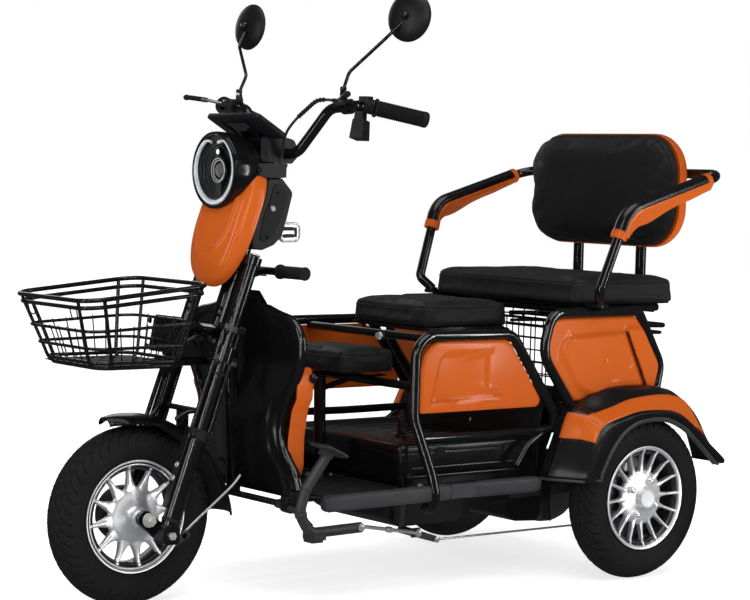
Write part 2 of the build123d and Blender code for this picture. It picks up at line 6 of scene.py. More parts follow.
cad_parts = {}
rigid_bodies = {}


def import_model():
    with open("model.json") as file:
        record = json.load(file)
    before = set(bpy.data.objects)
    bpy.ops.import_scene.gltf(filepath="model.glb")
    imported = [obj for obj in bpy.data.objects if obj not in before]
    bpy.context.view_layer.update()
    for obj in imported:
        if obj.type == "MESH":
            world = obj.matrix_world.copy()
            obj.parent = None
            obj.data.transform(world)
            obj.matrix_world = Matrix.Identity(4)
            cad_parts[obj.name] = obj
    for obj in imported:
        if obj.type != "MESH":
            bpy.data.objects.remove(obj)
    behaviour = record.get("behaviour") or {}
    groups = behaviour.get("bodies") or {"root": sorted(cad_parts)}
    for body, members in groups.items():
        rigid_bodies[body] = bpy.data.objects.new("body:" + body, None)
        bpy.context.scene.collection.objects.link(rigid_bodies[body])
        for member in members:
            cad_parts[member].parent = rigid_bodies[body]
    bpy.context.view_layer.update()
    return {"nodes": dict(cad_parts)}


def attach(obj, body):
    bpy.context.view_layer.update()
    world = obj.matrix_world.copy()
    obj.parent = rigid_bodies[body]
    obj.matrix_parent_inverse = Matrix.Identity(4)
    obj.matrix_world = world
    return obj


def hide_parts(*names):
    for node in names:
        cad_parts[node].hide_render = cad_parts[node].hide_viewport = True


# Everything below is worked out in millimetres in the measuring frame: x forward from the rear axle, y to the left,
# z up from the ground. Row-frame metres are (x - 538, y, z) / 1000.
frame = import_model()
NODES = frame["nodes"]
XC = 538.0
RAKE = math.radians(19.6)
UP = Vector((-math.sin(RAKE), 0, math.cos(RAKE)))
FWD = Vector((math.cos(RAKE), 0, math.sin(RAKE)))
SIDE = Vector((0, 1, 0))


def P(p):
    return Vector(((p[0] - XC) / 1000.0, p[1] / 1000.0, p[2] / 1000.0))


def axis_x(z):
    return 1082 - math.tan(RAKE) * (z - 154) - 28


def leg_x(z):
    return 1082 - math.tan(RAKE) * (z - 154)


# ------------------------------------------------------------------------------------------------ camera
def set_camera():
    cam_data = bpy.data.cameras.new("studio_camera")
    cam_data.sensor_width = 36.0
    cam_data.lens = 103.35
    cam_data.clip_start = 0.05
    cam_data.clip_end = 80
    cam = bpy.data.objects.new("studio_camera", cam_data)
    bpy.context.scene.collection.objects.link(cam)
    pos = Vector((2.871, 3.709, 0.890))
    target = Vector((-0.0376, 0.0, 0.6094))
    fwd = (target - pos).normalized()
    right = fwd.cross(Vector((0, 0, 1))).normalized()
    up = right.cross(fwd)
    roll = math.radians(1.4775)
    r2 = right * math.cos(roll) + up * math.sin(roll)
    u2 = up * math.cos(roll) - right * math.sin(roll)
    m = Matrix((r2, u2, -fwd)).transposed().to_4x4()
    m.translation = pos
    cam.matrix_world = m
    bpy.context.scene.camera = cam


set_camera()
scene = bpy.context.scene
scene.view_settings.view_transform = "Standard"
scene.view_settings.look = "None"


# ------------------------------------------------------------------------------------------------ lights and stage
def area(name, loc, aim, sx, sy, power, colour=(1, 1, 1)):
    d = bpy.data.lights.new(name, "AREA")
    d.shape = "RECTANGLE"
    d.size = sx
    d.size_y = sy
    d.energy = power
    d.color = colour
    o = bpy.data.objects.new(name, d)
    scene.collection.objects.link(o)
    o.location = loc
    v = (Vector(aim) - Vector(loc)).normalized()
    o.rotation_euler = v.to_track_quat("-Z", "Y").to_euler()
    return o


def studio():
    sun = bpy.data.lights.new("overhead_sky", "SUN")
    sun.energy = 1.55
    sun.angle = math.radians(55)
    so = bpy.data.objects.new("overhead_sky", sun)
    scene.collection.objects.link(so)
    so.rotation_euler = (math.radians(-14), math.radians(10), 0)
    area("key_box", (2.6, 3.0, 2.3), (0.0, 0.0, 0.5), 1.2, 1.2, 15)
    area("front_strip", (3.0, 0.0, 1.2), (0.2, 0, 0.6), 0.12, 2.2, 14)
    area("rear_strip", (-2.2, 2.6, 1.3), (-0.2, 0, 0.6), 0.12, 2.2, 18)
    area("far_fill", (-0.6, -3.4, 2.0), (0, 0, 0.5), 2.4, 1.6, 16)
    area("edge_strip_high", (1.9, 3.2, 2.6), (0.1, 0, 0.5), 0.07, 3.0, 14)
    area("edge_strip_side", (3.6, 1.5, 1.0), (0.0, 0, 0.6), 0.06, 2.6, 12)
    area("edge_strip_rear", (-1.9, 3.2, 1.4), (-0.2, 0, 0.6), 0.06, 2.6, 10)
    world = bpy.data.worlds.new("studio_world")
    scene.world = world
    world.use_nodes = True
    bg = world.node_tree.nodes["Background"]
    bg.inputs["Color"].default_value = (0.93, 0.95, 1.0, 1)
    bg.inputs["Strength"].default_value = 0.07
    # floor
    me = bpy.data.meshes.new("floor")
    n = 96
    vs = [(0, 0, 0)] + [(14 * math.cos(2 * math.pi * i / n), 14 * math.sin(2 * math.pi * i / n), 0) for i in range(n)]
    me.from_pydata(vs, [], [(0, 1 + i, 1 + (i + 1) % n) for i in range(n)])
    floor = bpy.data.objects.new("floor", me)
    scene.collection.objects.link(floor)
    m = bpy.data.materials.new("floor_paper")
    m.use_nodes = True
    nt = m.node_tree
    b = nt.nodes["Principled BSDF"]
    tc = nt.nodes.new("ShaderNodeTexCoord")
    no = nt.nodes.new("ShaderNodeTexNoise")
    no.inputs["Scale"].default_value = 0.6
    cr = nt.nodes.new("ShaderNodeValToRGB")
    cr.color_ramp.elements[0].color = (0.86, 0.86, 0.86, 1)
    cr.color_ramp.elements[1].color = (0.89, 0.89, 0.89, 1)
    nt.links.new(tc.outputs["Object"], no.inputs["Vector"])
    nt.links.new(no.outputs["Fac"], cr.inputs["Fac"])
    nt.links.new(cr.outputs["Color"], b.inputs["Base Color"])
    b.inputs["Roughness"].default_value = 0.85
    b.inputs["Specular IOR Level"].default_value = 0.0
    nt.links.new(cr.outputs["Color"], b.inputs["Emission Color"])
    b.inputs["Emission Strength"].default_value = 0.86
    me.materials.append(m)
    floor.visible_glossy = False
    # a pale dome behind everything, seen by the camera alone
    bm = bmesh.new()
    bmesh.ops.create_uvsphere(bm, u_segments=48, v_segments=24, radius=16)
    bmesh.ops.reverse_faces(bm, faces=bm.faces)
    dm = bpy.data.meshes.new("backdrop")
    bm.to_mesh(dm)
    bm.free()
    dome = bpy.data.objects.new("backdrop", dm)
    scene.collection.objects.link(dome)
    dome.visible_glossy = False
    dome.visible_diffuse = False
    dome.visible_transmission = True
    dome.visible_shadow = False
    m = bpy.data.materials.new("backdrop_light")
    m.use_nodes = True
    nt = m.node_tree
    nt.nodes.remove(nt.nodes["Principled BSDF"])
    em = nt.nodes.new("ShaderNodeEmission")
    em.inputs["Color"].default_value = (1, 1, 1, 1)
    em.inputs["Strength"].default_value = 1.0
    nt.links.new(em.outputs[0], nt.nodes["Material Output"].inputs["Surface"])
    dm.materials.append(m)


studio()


# ------------------------------------------------------------------------------------------------ materials
def new_mat(name):
    m = bpy.data.materials.new(name)
    m.use_nodes = True
    return m, m.node_tree, m.node_tree.nodes["Principled BSDF"]


def mat(name, base, rough, metal=0.0, coat=0.0, coat_rough=0.05, spec=0.5, var=0.25, var_scale=9.0, rough_var=0.06,
        bump=((900.0, 0.05, 0.0004),), bump_kind="noise", sheen=0.0, base2=None, ior=None, extra=None):
    """A procedural finish: colour and roughness drift over the surface with soft noise, and one or more layers of fine
    bump give it its grain. bump layers are (scale, strength, distance)."""
    m, nt, b = new_mat(name)
    tc = nt.nodes.new("ShaderNodeTexCoord")
    n1 = nt.nodes.new("ShaderNodeTexNoise")
    n1.inputs["Scale"].default_value = var_scale
    n1.inputs["Detail"].default_value = 4.0
    nt.links.new(tc.outputs["Object"], n1.inputs["Vector"])
    cr = nt.nodes.new("ShaderNodeValToRGB")
    lo = base2 if base2 else tuple(c * (1 - var) for c in base)
    hi = base if base2 else tuple(min(1.0, c * (1 + var)) for c in base)
    cr.color_ramp.elements[0].position = 0.3
    cr.color_ramp.elements[1].position = 0.7
    cr.color_ramp.elements[0].color = (*lo, 1)
    cr.color_ramp.elements[1].color = (*hi, 1)
    nt.links.new(n1.outputs["Fac"], cr.inputs["Fac"])
    nt.links.new(cr.outputs["Color"], b.inputs["Base Color"])
    n2 = nt.nodes.new("ShaderNodeTexNoise")
    n2.inputs["Scale"].default_value = var_scale * 3.1
    n2.inputs["Detail"].default_value = 5.0
    nt.links.new(tc.outputs["Object"], n2.inputs["Vector"])
    mr = nt.nodes.new("ShaderNodeMapRange")
    mr.inputs["To Min"].default_value = max(0.02, rough - rough_var)
    mr.inputs["To Max"].default_value = min(1.0, rough + rough_var)
    nt.links.new(n2.outputs["Fac"], mr.inputs["Value"])
    nt.links.new(mr.outputs["Result"], b.inputs["Roughness"])
    b.inputs["Metallic"].default_value = metal
    b.inputs["Specular IOR Level"].default_value = spec
    b.inputs["Coat Weight"].default_value = coat
    b.inputs["Coat Roughness"].default_value = coat_rough
    if sheen:
        b.inputs["Sheen Weight"].default_value = sheen
        b.inputs["Sheen Roughness"].default_value = 0.4
    if ior:
        b.inputs["IOR"].default_value = ior
    last = None
    for scale, strength, dist in bump:
        if bump_kind == "grain":
            t = nt.nodes.new("ShaderNodeTexVoronoi")
            t.inputs["Scale"].default_value = scale
            out = t.outputs["Distance"]
        else:
            t = nt.nodes.new("ShaderNodeTexNoise")
            t.inputs["Scale"].default_value = scale
            t.inputs["Detail"].default_value = 3.0
            out = t.outputs["Fac"]
        nt.links.new(tc.outputs["Object"], t.inputs["Vector"])
        bu = nt.nodes.new("ShaderNodeBump")
        bu.inputs["Strength"].default_value = strength
        bu.inputs["Distance"].default_value = dist
        nt.links.new(out, bu.inputs["Height"])
        if last:
            nt.links.new(last.outputs["Normal"], bu.inputs["Normal"])
        last = bu
    if last:
        nt.links.new(last.outputs["Normal"], b.inputs["Normal"])
        m["last_bump"] = last.name
    if extra:
        extra(nt, b, tc, last)
    return m


MATS = {}


def make_materials():
    M = MATS
    M["black_gloss"] = mat("black_gloss_paint", (0.0040, 0.0040, 0.0045), 0.08, coat=0.0, coat_rough=0.03, var=0.2, rough_var=0.03, spec=0.55,
                           bump=((260.0, 0.02, 0.0006), (1500.0, 0.02, 0.0002)))
    M["black_plastic"] = mat("black_gloss_plastic", (0.0045, 0.0045, 0.0050), 0.20, spec=0.42, coat=0.0, coat_rough=0.06, var=0.25, rough_var=0.07,
                             bump=((120.0, 0.05, 0.0008), (1800.0, 0.04, 0.0002)))
    M["black_satin"] = mat("black_satin_plastic", (0.0065, 0.0065, 0.0075), 0.4, spec=0.3, var=0.25, rough_var=0.08,
                           bump=((1400.0, 0.16, 0.0003), (90.0, 0.05, 0.0008)))
    M["black_matt"] = mat("black_matt_plastic", (0.0085, 0.0085, 0.0092), 0.6, var=0.3, rough_var=0.08, spec=0.25,
                          bump=((1100.0, 0.35, 0.0004), (60.0, 0.06, 0.001)))
    M["frame_satin"] = mat("black_satin_paint", (0.0055, 0.0055, 0.0062), 0.3, var=0.25, rough_var=0.08, coat=0.1, spec=0.35,
                           bump=((700.0, 0.08, 0.0003),))
    M["cast_black"] = mat("black_cast_metal", (0.022, 0.022, 0.024), 0.48, var=0.3, rough_var=0.1, spec=0.6,
                          bump=((420.0, 0.3, 0.0006), (1800.0, 0.2, 0.0002)))
    M["orange"] = mat("orange_gloss_plastic", (0.61, 0.117, 0.014), 0.16, spec=0.18, coat=0.03, coat_rough=0.04, var_scale=3.0,
                      base2=(0.53, 0.096, 0.012), rough_var=0.03, bump=((140.0, 0.04, 0.0006), (1700.0, 0.03, 0.0002)))
    # painted shade: a darker copy of the orange for hidden inner faces; its rougher grain is the moulding's own
    M["orange_painted_shade"] = mat("orange_plastic_painted_shade", (0.42, 0.095, 0.010), 0.42, var_scale=5.0, base2=(0.34, 0.07, 0.008),
                            rough_var=0.08, bump=((900.0, 0.12, 0.0003),))
    M["leather"] = leather("black_seat_vinyl", (0.0072, 0.0072, 0.0080))
    # painted light: a lighter, bluer copy of the seat vinyl for the cushion sides and welts, where the lamps catch them
    M["leather_side"] = leather("black_seat_vinyl_painted_lit", (0.0105, 0.0105, 0.0122))
    M["tyre"] = mat("tyre_rubber", (0.0082, 0.0082, 0.0086), 0.72, var=0.3, var_scale=7, rough_var=0.1, spec=0.2,
                    bump=((1200.0, 0.3, 0.0003), (160.0, 0.08, 0.0006)))
    M["rubber"] = mat("black_rubber", (0.0075, 0.0075, 0.008), 0.62, var=0.3, rough_var=0.1, spec=0.22,
                      bump=((1500.0, 0.25, 0.0003),))
    M["cable"] = mat("black_cable_sleeve", (0.012, 0.012, 0.013), 0.38, var=0.2, rough_var=0.08, bump=((2000.0, 0.1, 0.0002),))
    M["steel"] = mat("zinc_plated_steel", (0.62, 0.62, 0.60), 0.28, metal=0.7, var=0.12, rough_var=0.1, base2=(0.5, 0.5, 0.49),
                     bump=((900.0, 0.08, 0.0002),))
    M["chrome"] = mat("bright_chrome", (0.86, 0.86, 0.87), 0.07, metal=0.75, var=0.04, rough_var=0.03, base2=(0.8, 0.8, 0.81),
                      bump=((300.0, 0.02, 0.0003),))
    M["white_plastic"] = mat("white_knob_plastic", (0.75, 0.75, 0.76), 0.3, var=0.06, bump=((800.0, 0.05, 0.0002),))
    M["red_lens"] = mat("red_lamp_lens", (0.36, 0.008, 0.006), 0.12, coat=0.6, var=0.2, bump=((220.0, 0.35, 0.001),))
    M["amber_lens"] = mat("amber_lamp_lens", (0.7, 0.2, 0.01), 0.12, coat=0.6, var=0.2, bump=((260.0, 0.3, 0.001),))
    M["drl"] = mat("lamp_light_guide", (0.66, 0.67, 0.68), 0.22, var=0.1, var_scale=60, rough_var=0.1,
                   bump=((600.0, 0.5, 0.0008),), coat=0.4)
    M["lamp_black"] = mat("lamp_inner_black", (0.005, 0.005, 0.0055), 0.12, coat=0.0, spec=0.35, var=0.2, bump=((200.0, 0.05, 0.0005),))
    M["lamp_bowl"] = mat("lamp_bowl_black", (0.003, 0.003, 0.0033), 0.3, spec=0.16, var=0.2, bump=((200.0, 0.05, 0.0005),))
    M["alloy_bright"] = mat("satin_chrome_plate", (0.85, 0.85, 0.86), 0.2, metal=0.7, var=0.08, rough_var=0.06, base2=(0.72, 0.72, 0.73), bump=((500.0, 0.05, 0.0003),))
    M["box_black"] = mat("box_black_plastic", (0.007, 0.007, 0.0085), 0.3, spec=0.2, var=0.2, rough_var=0.06, bump=((320.0, 0.12, 0.0004),))
    M["led"] = led_mat()
    M["glass"] = glass_mat("clear_lens")
    M["cover_glass"] = glass_mat("thin_cover_lens", 1.06)
    M["mirror"] = mat("mirror_glass", (0.78, 0.8, 0.82), 0.03, metal=1.0, var=0.02, rough_var=0.01, bump=((30.0, 0.01, 0.001),))
    M["display"] = mat("dark_display_window", (0.004, 0.004, 0.005), 0.08, coat=0.8, coat_rough=0.02, var=0.3, bump=((200.0, 0.02, 0.0003),))
    M["bolt"] = mat("bolt_head_steel", (0.45, 0.45, 0.46), 0.33, metal=1.0, var=0.2, rough_var=0.1, bump=((900.0, 0.1, 0.0002),))
    M["alloy"] = alloy("machined_alloy", 0.3)
    M["alloy_rough"] = mat("cast_alloy", (0.42, 0.42, 0.44), 0.45, metal=0.9, var=0.2, rough_var=0.1, base2=(0.3, 0.3, 0.31),
                           bump=((700.0, 0.3, 0.0004),))
    M["wheel_black"] = mat("wheel_barrel_black", (0.010, 0.010, 0.011), 0.28, coat=0.3, var=0.3, rough_var=0.1,
                           bump=((300.0, 0.08, 0.0004),))
    M["wire"] = mat("black_dipped_wire", (0.0045, 0.0045, 0.0050), 0.16, coat=0.0, spec=0.5, var=0.3, rough_var=0.06,
                    bump=((220.0, 0.12, 0.0008), (1200.0, 0.06, 0.0003)))
    M["carpet"] = mat("ribbed_floor_rubber", (0.0075, 0.0075, 0.0082), 0.5, var=0.3, rough_var=0.1, spec=0.25, bump=((900.0, 0.3, 0.0004),))
    M["strip"] = mat("grey_edge_rubber", (0.030, 0.030, 0.034), 0.5, var=0.25, rough_var=0.08, var_scale=14,
                     bump=((1200.0, 0.2, 0.0003),))


def leather(name, base):
    m, nt, b = new_mat(name)
    tc = nt.nodes.new("ShaderNodeTexCoord")
    n1 = nt.nodes.new("ShaderNodeTexNoise")
    n1.inputs["Scale"].default_value = 6.0
    n1.inputs["Detail"].default_value = 5.0
    nt.links.new(tc.outputs["Object"], n1.inputs["Vector"])
    cr = nt.nodes.new("ShaderNodeValToRGB")
    cr.color_ramp.elements[0].position = 0.3
    cr.color_ramp.elements[1].position = 0.7
    cr.color_ramp.elements[0].color = (*[c * 0.8 for c in base], 1)
    cr.color_ramp.elements[1].color = (*[c * 1.2 for c in base], 1)
    nt.links.new(n1.outputs["Fac"], cr.inputs["Fac"])
    nt.links.new(cr.outputs["Color"], b.inputs["Base Color"])
    vo = nt.nodes.new("ShaderNodeTexVoronoi")
    vo.feature = "DISTANCE_TO_EDGE"
    vo.inputs["Scale"].default_value = 420.0
    wob = nt.nodes.new("ShaderNodeTexNoise")
    wob.inputs["Scale"].default_value = 120.0
    mixv = nt.nodes.new("ShaderNodeMix")
    mixv.data_type = "RGBA"
    mixv.blend_type = "ADD"
    mixv.inputs["Factor"].default_value = 0.012
    nt.links.new(tc.outputs["Object"], wob.inputs["Vector"])
    nt.links.new(tc.outputs["Object"], mixv.inputs["A"])
    nt.links.new(wob.outputs["Color"], mixv.inputs["B"])
    nt.links.new(mixv.outputs["Result"], vo.inputs["Vector"])
    ramp = nt.nodes.new("ShaderNodeMapRange")
    ramp.inputs["From Max"].default_value = 0.18
    nt.links.new(vo.outputs["Distance"], ramp.inputs["Value"])
    b1 = nt.nodes.new("ShaderNodeBump")
    b1.inputs["Strength"].default_value = 0.32
    b1.inputs["Distance"].default_value = 0.0005
    nt.links.new(ramp.outputs["Result"], b1.inputs["Height"])
    n3 = nt.nodes.new("ShaderNodeTexNoise")
    n3.inputs["Scale"].default_value = 26.0
    n3.inputs["Detail"].default_value = 4.0
    nt.links.new(tc.outputs["Object"], n3.inputs["Vector"])
    b2 = nt.nodes.new("ShaderNodeBump")
    b2.inputs["Strength"].default_value = 0.10
    b2.inputs["Distance"].default_value = 0.004
    nt.links.new(n3.outputs["Fac"], b2.inputs["Height"])
    nt.links.new(b1.outputs["Normal"], b2.inputs["Normal"])
    nt.links.new(b2.outputs["Normal"], b.inputs["Normal"])
    mr = nt.nodes.new("ShaderNodeMapRange")
    mr.inputs["To Min"].default_value = 0.46
    mr.inputs["To Max"].default_value = 0.62
    nt.links.new(n1.outputs["Fac"], mr.inputs["Value"])
    nt.links.new(mr.outputs["Result"], b.inputs["Roughness"])
    b.inputs["Specular IOR Level"].default_value = 0.24
    b.inputs["Sheen Weight"].default_value = 0.02
    b.inputs["Sheen Roughness"].default_value = 0.5
    return m


def led_mat():
    m, nt, b = new_mat("lit_lamp_point")
    tc = nt.nodes.new("ShaderNodeTexCoord")
    n = nt.nodes.new("ShaderNodeTexNoise")
    n.inputs["Scale"].default_value = 300.0
    cr = nt.nodes.new("ShaderNodeValToRGB")
    cr.color_ramp.elements[0].color = (0.85, 0.88, 0.92, 1)
    cr.color_ramp.elements[1].color = (1, 1, 1, 1)
    nt.links.new(tc.outputs["Object"], n.inputs["Vector"])
    nt.links.new(n.outputs["Fac"], cr.inputs["Fac"])
    nt.links.new(cr.outputs["Color"], b.inputs["Base Color"])
    nt.links.new(cr.outputs["Color"], b.inputs["Emission Color"])
    b.inputs["Emission Strength"].default_value = 1.1
    b.inputs["Roughness"].default_value = 0.3
    return m


def glass_mat(name, ior=1.25):
    m, nt, b = new_mat(name)
    tc = nt.nodes.new("ShaderNodeTexCoord")
    n = nt.nodes.new("ShaderNodeTexNoise")
    n.inputs["Scale"].default_value = 60.0
    nt.links.new(tc.outputs["Object"], n.inputs["Vector"])
    mr = nt.nodes.new("ShaderNodeMapRange")
    mr.inputs["To Min"].default_value = 0.01
    mr.inputs["To Max"].default_value = 0.04
    nt.links.new(n.outputs["Fac"], mr.inputs["Value"])
    nt.links.new(mr.outputs["Result"], b.inputs["Roughness"])
    b.inputs["Base Color"].default_value = (0.96, 0.97, 0.98, 1)
    b.inputs["Transmission Weight"].default_value = 1.0
    b.inputs["IOR"].default_value = ior
    return m


def alloy(name, rough):
    """Machined aluminium: fine turning marks in circles about the wheel's own axis."""
    m, nt, b = new_mat(name)
    tc = nt.nodes.new("ShaderNodeTexCoord")
    sub = nt.nodes.new("ShaderNodeVectorMath")
    sub.operation = "SUBTRACT"
    sub.inputs[1].default_value = (0.5, 0.5, 0.5)
    nt.links.new(tc.outputs["Generated"], sub.inputs[0])
    mul = nt.nodes.new("ShaderNodeVectorMath")
    mul.operation = "MULTIPLY"
    mul.inputs[1].default_value = (1, 0, 1)
    nt.links.new(sub.outputs[0], mul.inputs[0])
    ln = nt.nodes.new("ShaderNodeVectorMath")
    ln.operation = "LENGTH"
    nt.links.new(mul.outputs[0], ln.inputs[0])
    comb = nt.nodes.new("ShaderNodeCombineXYZ")
    nt.links.new(ln.outputs["Value"], comb.inputs["X"])
    n = nt.nodes.new("ShaderNodeTexNoise")
    n.inputs["Scale"].default_value = 260.0
    n.inputs["Detail"].default_value = 4.0
    nt.links.new(comb.outputs[0], n.inputs["Vector"])
    cr = nt.nodes.new("ShaderNodeValToRGB")
    cr.color_ramp.elements[0].color = (0.74, 0.745, 0.76, 1)
    cr.color_ramp.elements[1].color = (0.95, 0.95, 0.96, 1)
    nt.links.new(n.outputs["Fac"], cr.inputs["Fac"])
    nt.links.new(cr.outputs["Color"], b.inputs["Base Color"])
    mr = nt.nodes.new("ShaderNodeMapRange")
    mr.inputs["To Min"].default_value = rough - 0.05
    mr.inputs["To Max"].default_value = rough + 0.12
    nt.links.new(n.outputs["Fac"], mr.inputs["Value"])
    nt.links.new(mr.outputs["Result"], b.inputs["Roughness"])
    bu = nt.nodes.new("ShaderNodeBump")
    bu.inputs["Strength"].default_value = 0.12
    bu.inputs["Distance"].default_value = 0.0003
    nt.links.new(n.outputs["Fac"], bu.inputs["Height"])
    nt.links.new(bu.outputs["Normal"], b.inputs["Normal"])
    b.inputs["Metallic"].default_value = 0.8
    return m


make_materials()

# ------------------------------------------------------------------------------------------------ mesh helpers
def V(*p):
    return Vector(p if len(p) == 3 else p[0])


def rounded_path(pts, radii, step=5.0):
    """Straight runs joined by arcs. radii is one number, or one for each inner point."""
    pts = [V(p) for p in pts]
    out = [pts[0]]
    for i in range(1, len(pts) - 1):
        a, b, c = pts[i - 1], pts[i], pts[i + 1]
        u, v = (a - b).normalized(), (c - b).normalized()
        turn = math.pi - u.angle(v)
        r = radii[i - 1] if isinstance(radii, (list, tuple)) else radii
        if turn < 0.01 or r <= 0:
            out.append(b)
            continue
        t = r * math.tan(turn / 2)
        lim = 0.495 * min((a - b).length, (c - b).length)
        if t > lim:
            t = lim
            r = t / math.tan(turn / 2)
        p0, p1 = b + u * t, b + v * t
        centre = b + (u + v).normalized() * (r / math.cos(turn / 2))
        e0, e1 = p0 - centre, p1 - centre
        k = max(2, int(math.ceil(turn * r / step)), int(math.ceil(math.degrees(turn) / 7)))
        for j in range(k + 1):
            w = j / k
            out.append(centre + (e0 * math.sin((1 - w) * turn) + e1 * math.sin(w * turn)) / math.sin(turn))
    out.append(pts[-1])
    return out


def resample(pts, step, closed=False):
    """The same line with evenly spaced points."""
    pts = [V(p) for p in pts]
    if closed:
        pts = pts + [pts[0]]
    cum = [0.0]
    for a, b in zip(pts, pts[1:]):
        cum.append(cum[-1] + (b - a).length)
    total = cum[-1]
    n = max(2, int(round(total / step)))
    out, k = [], 0
    for i in range(n if closed else n + 1):
        s = total * i / n
        while k < len(cum) - 2 and cum[k + 1] < s:
            k += 1
        w = (s - cum[k]) / max(1e-9, cum[k + 1] - cum[k])
        out.append(pts[k].lerp(pts[k + 1], min(1.0, w)))
    return out


def catmull(pts, n=8, closed=False):
    pts = [V(p) for p in pts]
    out = []
    m = len(pts)
    for i in range(m if closed else m - 1):
        p0 = pts[(i - 1) % m] if closed or i > 0 else pts[0] * 2 - pts[1]
        p1, p2 = pts[i % m], pts[(i + 1) % m]
        p3 = pts[(i + 2) % m] if closed or i + 2 < m else pts[-1] * 2 - pts[-2]
        for j in range(n):
            t = j / n
            out.append(0.5 * (2 * p1 + (p2 - p0) * t + (2 * p0 - 5 * p1 + 4 * p2 - p3) * t * t
                              + (3 * p1 - p0 - 3 * p2 + p3) * t * t * t))
    if not closed:
        out.append(pts[-1])
    return out


class Geo:
    """Collects faces in millimetres and turns them into one mesh object."""

    def __init__(self):
        self.v, self.f, self.m = [], [], []

    def add(self, verts, faces, mat_index=0):
        o = len(self.v)
        self.v.extend(tuple(p) for p in verts)
        self.f.extend([i + o for i in f] for f in faces)
        self.m.extend([mat_index] * len(faces))
        return self

    def tube(self, pts, r, n=12, closed=False, caps=True, mat_index=0, squash=None):
        """A round tube along pts. r is a number or one per point; squash (a, b, ref) gives an oval section."""
        pts = [V(p) for p in pts]
        clean = [pts[0]]
        for p in pts[1:]:
            if (p - clean[-1]).length > 1e-4:
                clean.append(p)
        pts = clean
        if closed and (pts[0] - pts[-1]).length < 1e-4:
            pts.pop()
        m = len(pts)
        rr = r if isinstance(r, (list, tuple)) else [r] * m
        tang = []
        for i in range(m):
            if closed:
                d = pts[(i + 1) % m] - pts[i - 1]
            else:
                d = pts[min(i + 1, m - 1)] - pts[max(i - 1, 0)]
            tang.append(d.normalized())
        ref = V(squash[2]) if squash else (V(0, 0, 1) if abs(tang[0].z) < 0.9 else V(1, 0, 0))
        nrm = (ref - tang[0] * ref.dot(tang[0])).normalized()
        verts = []
        for i in range(m):
            t = tang[i]
            if squash:
                nrm = (ref - t * ref.dot(t))
                nrm = nrm.normalized() if nrm.length > 1e-6 else V(1, 0, 0)
            else:
                nrm = (nrm - t * nrm.dot(t)).normalized()
            bi = t.cross(nrm)
            a, b = (squash[0], squash[1]) if squash else (rr[i], rr[i])
            for j in range(n):
                th = 2 * math.pi * j / n
                verts.append(pts[i] + nrm * (math.cos(th) * a) + bi * (math.sin(th) * b))
        faces = []
        for i in range(m if closed else m - 1):
            k = (i + 1) % m
            off = 0
            if closed and k == 0:
                base = verts[i * n]
                off = min(range(n), key=lambda q: (verts[k * n + q] - base).length)
            for j in range(n):
                faces.append([i * n + j, i * n + (j + 1) % n, k * n + (j + 1 + off) % n, k * n + (j + off) % n])
        if caps and not closed:
            faces.append(list(range(n - 1, -1, -1)))
            faces.append([(m - 1) * n + j for j in range(n)])
        return self.add(verts, faces, mat_index)

    def rod(self, a, b, r, n=16, mat_index=0, r2=None):
        return self.tube([a, b], [r, r if r2 is None else r2], n=n, mat_index=mat_index)

    def lathe(self, profile, origin, axis, n=64, mat_index=0, closed=True, ref=None):
        """Turns (radius, height) points about an axis."""
        ax = V(axis).normalized()
        rf = V(ref) if ref else (V(0, 0, 1) if abs(ax.z) < 0.9 else V(1, 0, 0))
        e1 = (rf - ax * rf.dot(ax)).normalized()
        e2 = ax.cross(e1)
        o = V(origin)
        m = len(profile)
        verts = []
        for j in range(n):
            th = 2 * math.pi * j / n
            d = e1 * math.cos(th) + e2 * math.sin(th)
            for r, h in profile:
                verts.append(o + d * r + ax * h)
        faces = []
        for j in range(n):
            k = (j + 1) % n
            for i in range(m if closed else m - 1):
                i2 = (i + 1) % m
                faces.append([j * m + i, k * m + i, k * m + i2, j * m + i2])
        return self.add(verts, faces, mat_index)

    def box(self, centre, size, rot=None, mat_index=0, taper=None):
        c = V(centre)
        sx, sy, sz = (s / 2 for s in size)
        tx, ty = taper if taper else (1, 1)
        pts = [(-sx, -sy, -sz), (sx, -sy, -sz), (sx, sy, -sz), (-sx, sy, -sz),
               (-sx * tx, -sy * ty, sz), (sx * tx, -sy * ty, sz), (sx * tx, sy * ty, sz), (-sx * tx, sy * ty, sz)]
        R = rot if rot else Matrix.Identity(3)
        return self.add([c + R @ V(p) for p in pts],
                        [[0, 3, 2, 1], [4, 5, 6, 7], [0, 1, 5, 4], [1, 2, 6, 5], [2, 3, 7, 6], [3, 0, 4, 7]], mat_index)

    def prism(self, outline, origin, ex, ey, ez, thick, mat_index=0):
        """A plate: a 2-D outline in (ex, ey), thick along ez from the origin plane."""
        o, ex, ey, ez = V(origin), V(ex).normalized(), V(ey).normalized(), V(ez).normalized()
        m = len(outline)
        lo = [o + ex * a + ey * b for a, b in outline]
        hi = [p + ez * thick for p in lo]
        area2 = sum(outline[i][0] * outline[(i + 1) % m][1] - outline[(i + 1) % m][0] * outline[i][1] for i in range(m))
        flip = (area2 > 0) != (ex.cross(ey).dot(ez) > 0)
        faces = [list(range(m - 1, -1, -1)), [m + i for i in range(m)]]
        faces += [[i, (i + 1) % m, m + (i + 1) % m, m + i] for i in range(m)]
        if flip:
            faces = [f[::-1] for f in faces]
        return self.add(lo + hi, faces, mat_index)

    def grid(self, rows, mat_index=0, close_u=False, close_v=False, flip=False):
        """A sheet through rows of points."""
        a, b = len(rows), len(rows[0])
        faces = []
        for i in range(a if close_u else a - 1):
            for j in range(b if close_v else b - 1):
                f = [i * b + j, ((i + 1) % a) * b + j, ((i + 1) % a) * b + (j + 1) % b, i * b + (j + 1) % b]
                faces.append(f[::-1] if flip else f)
        return self.add([p for r in rows for p in r], faces, mat_index)

    def mirrored(self):
        g = Geo()
        g.v = [(x, -y, z) for x, y, z in self.v]
        g.f = [f[::-1] for f in self.f]
        g.m = list(self.m)
        return g

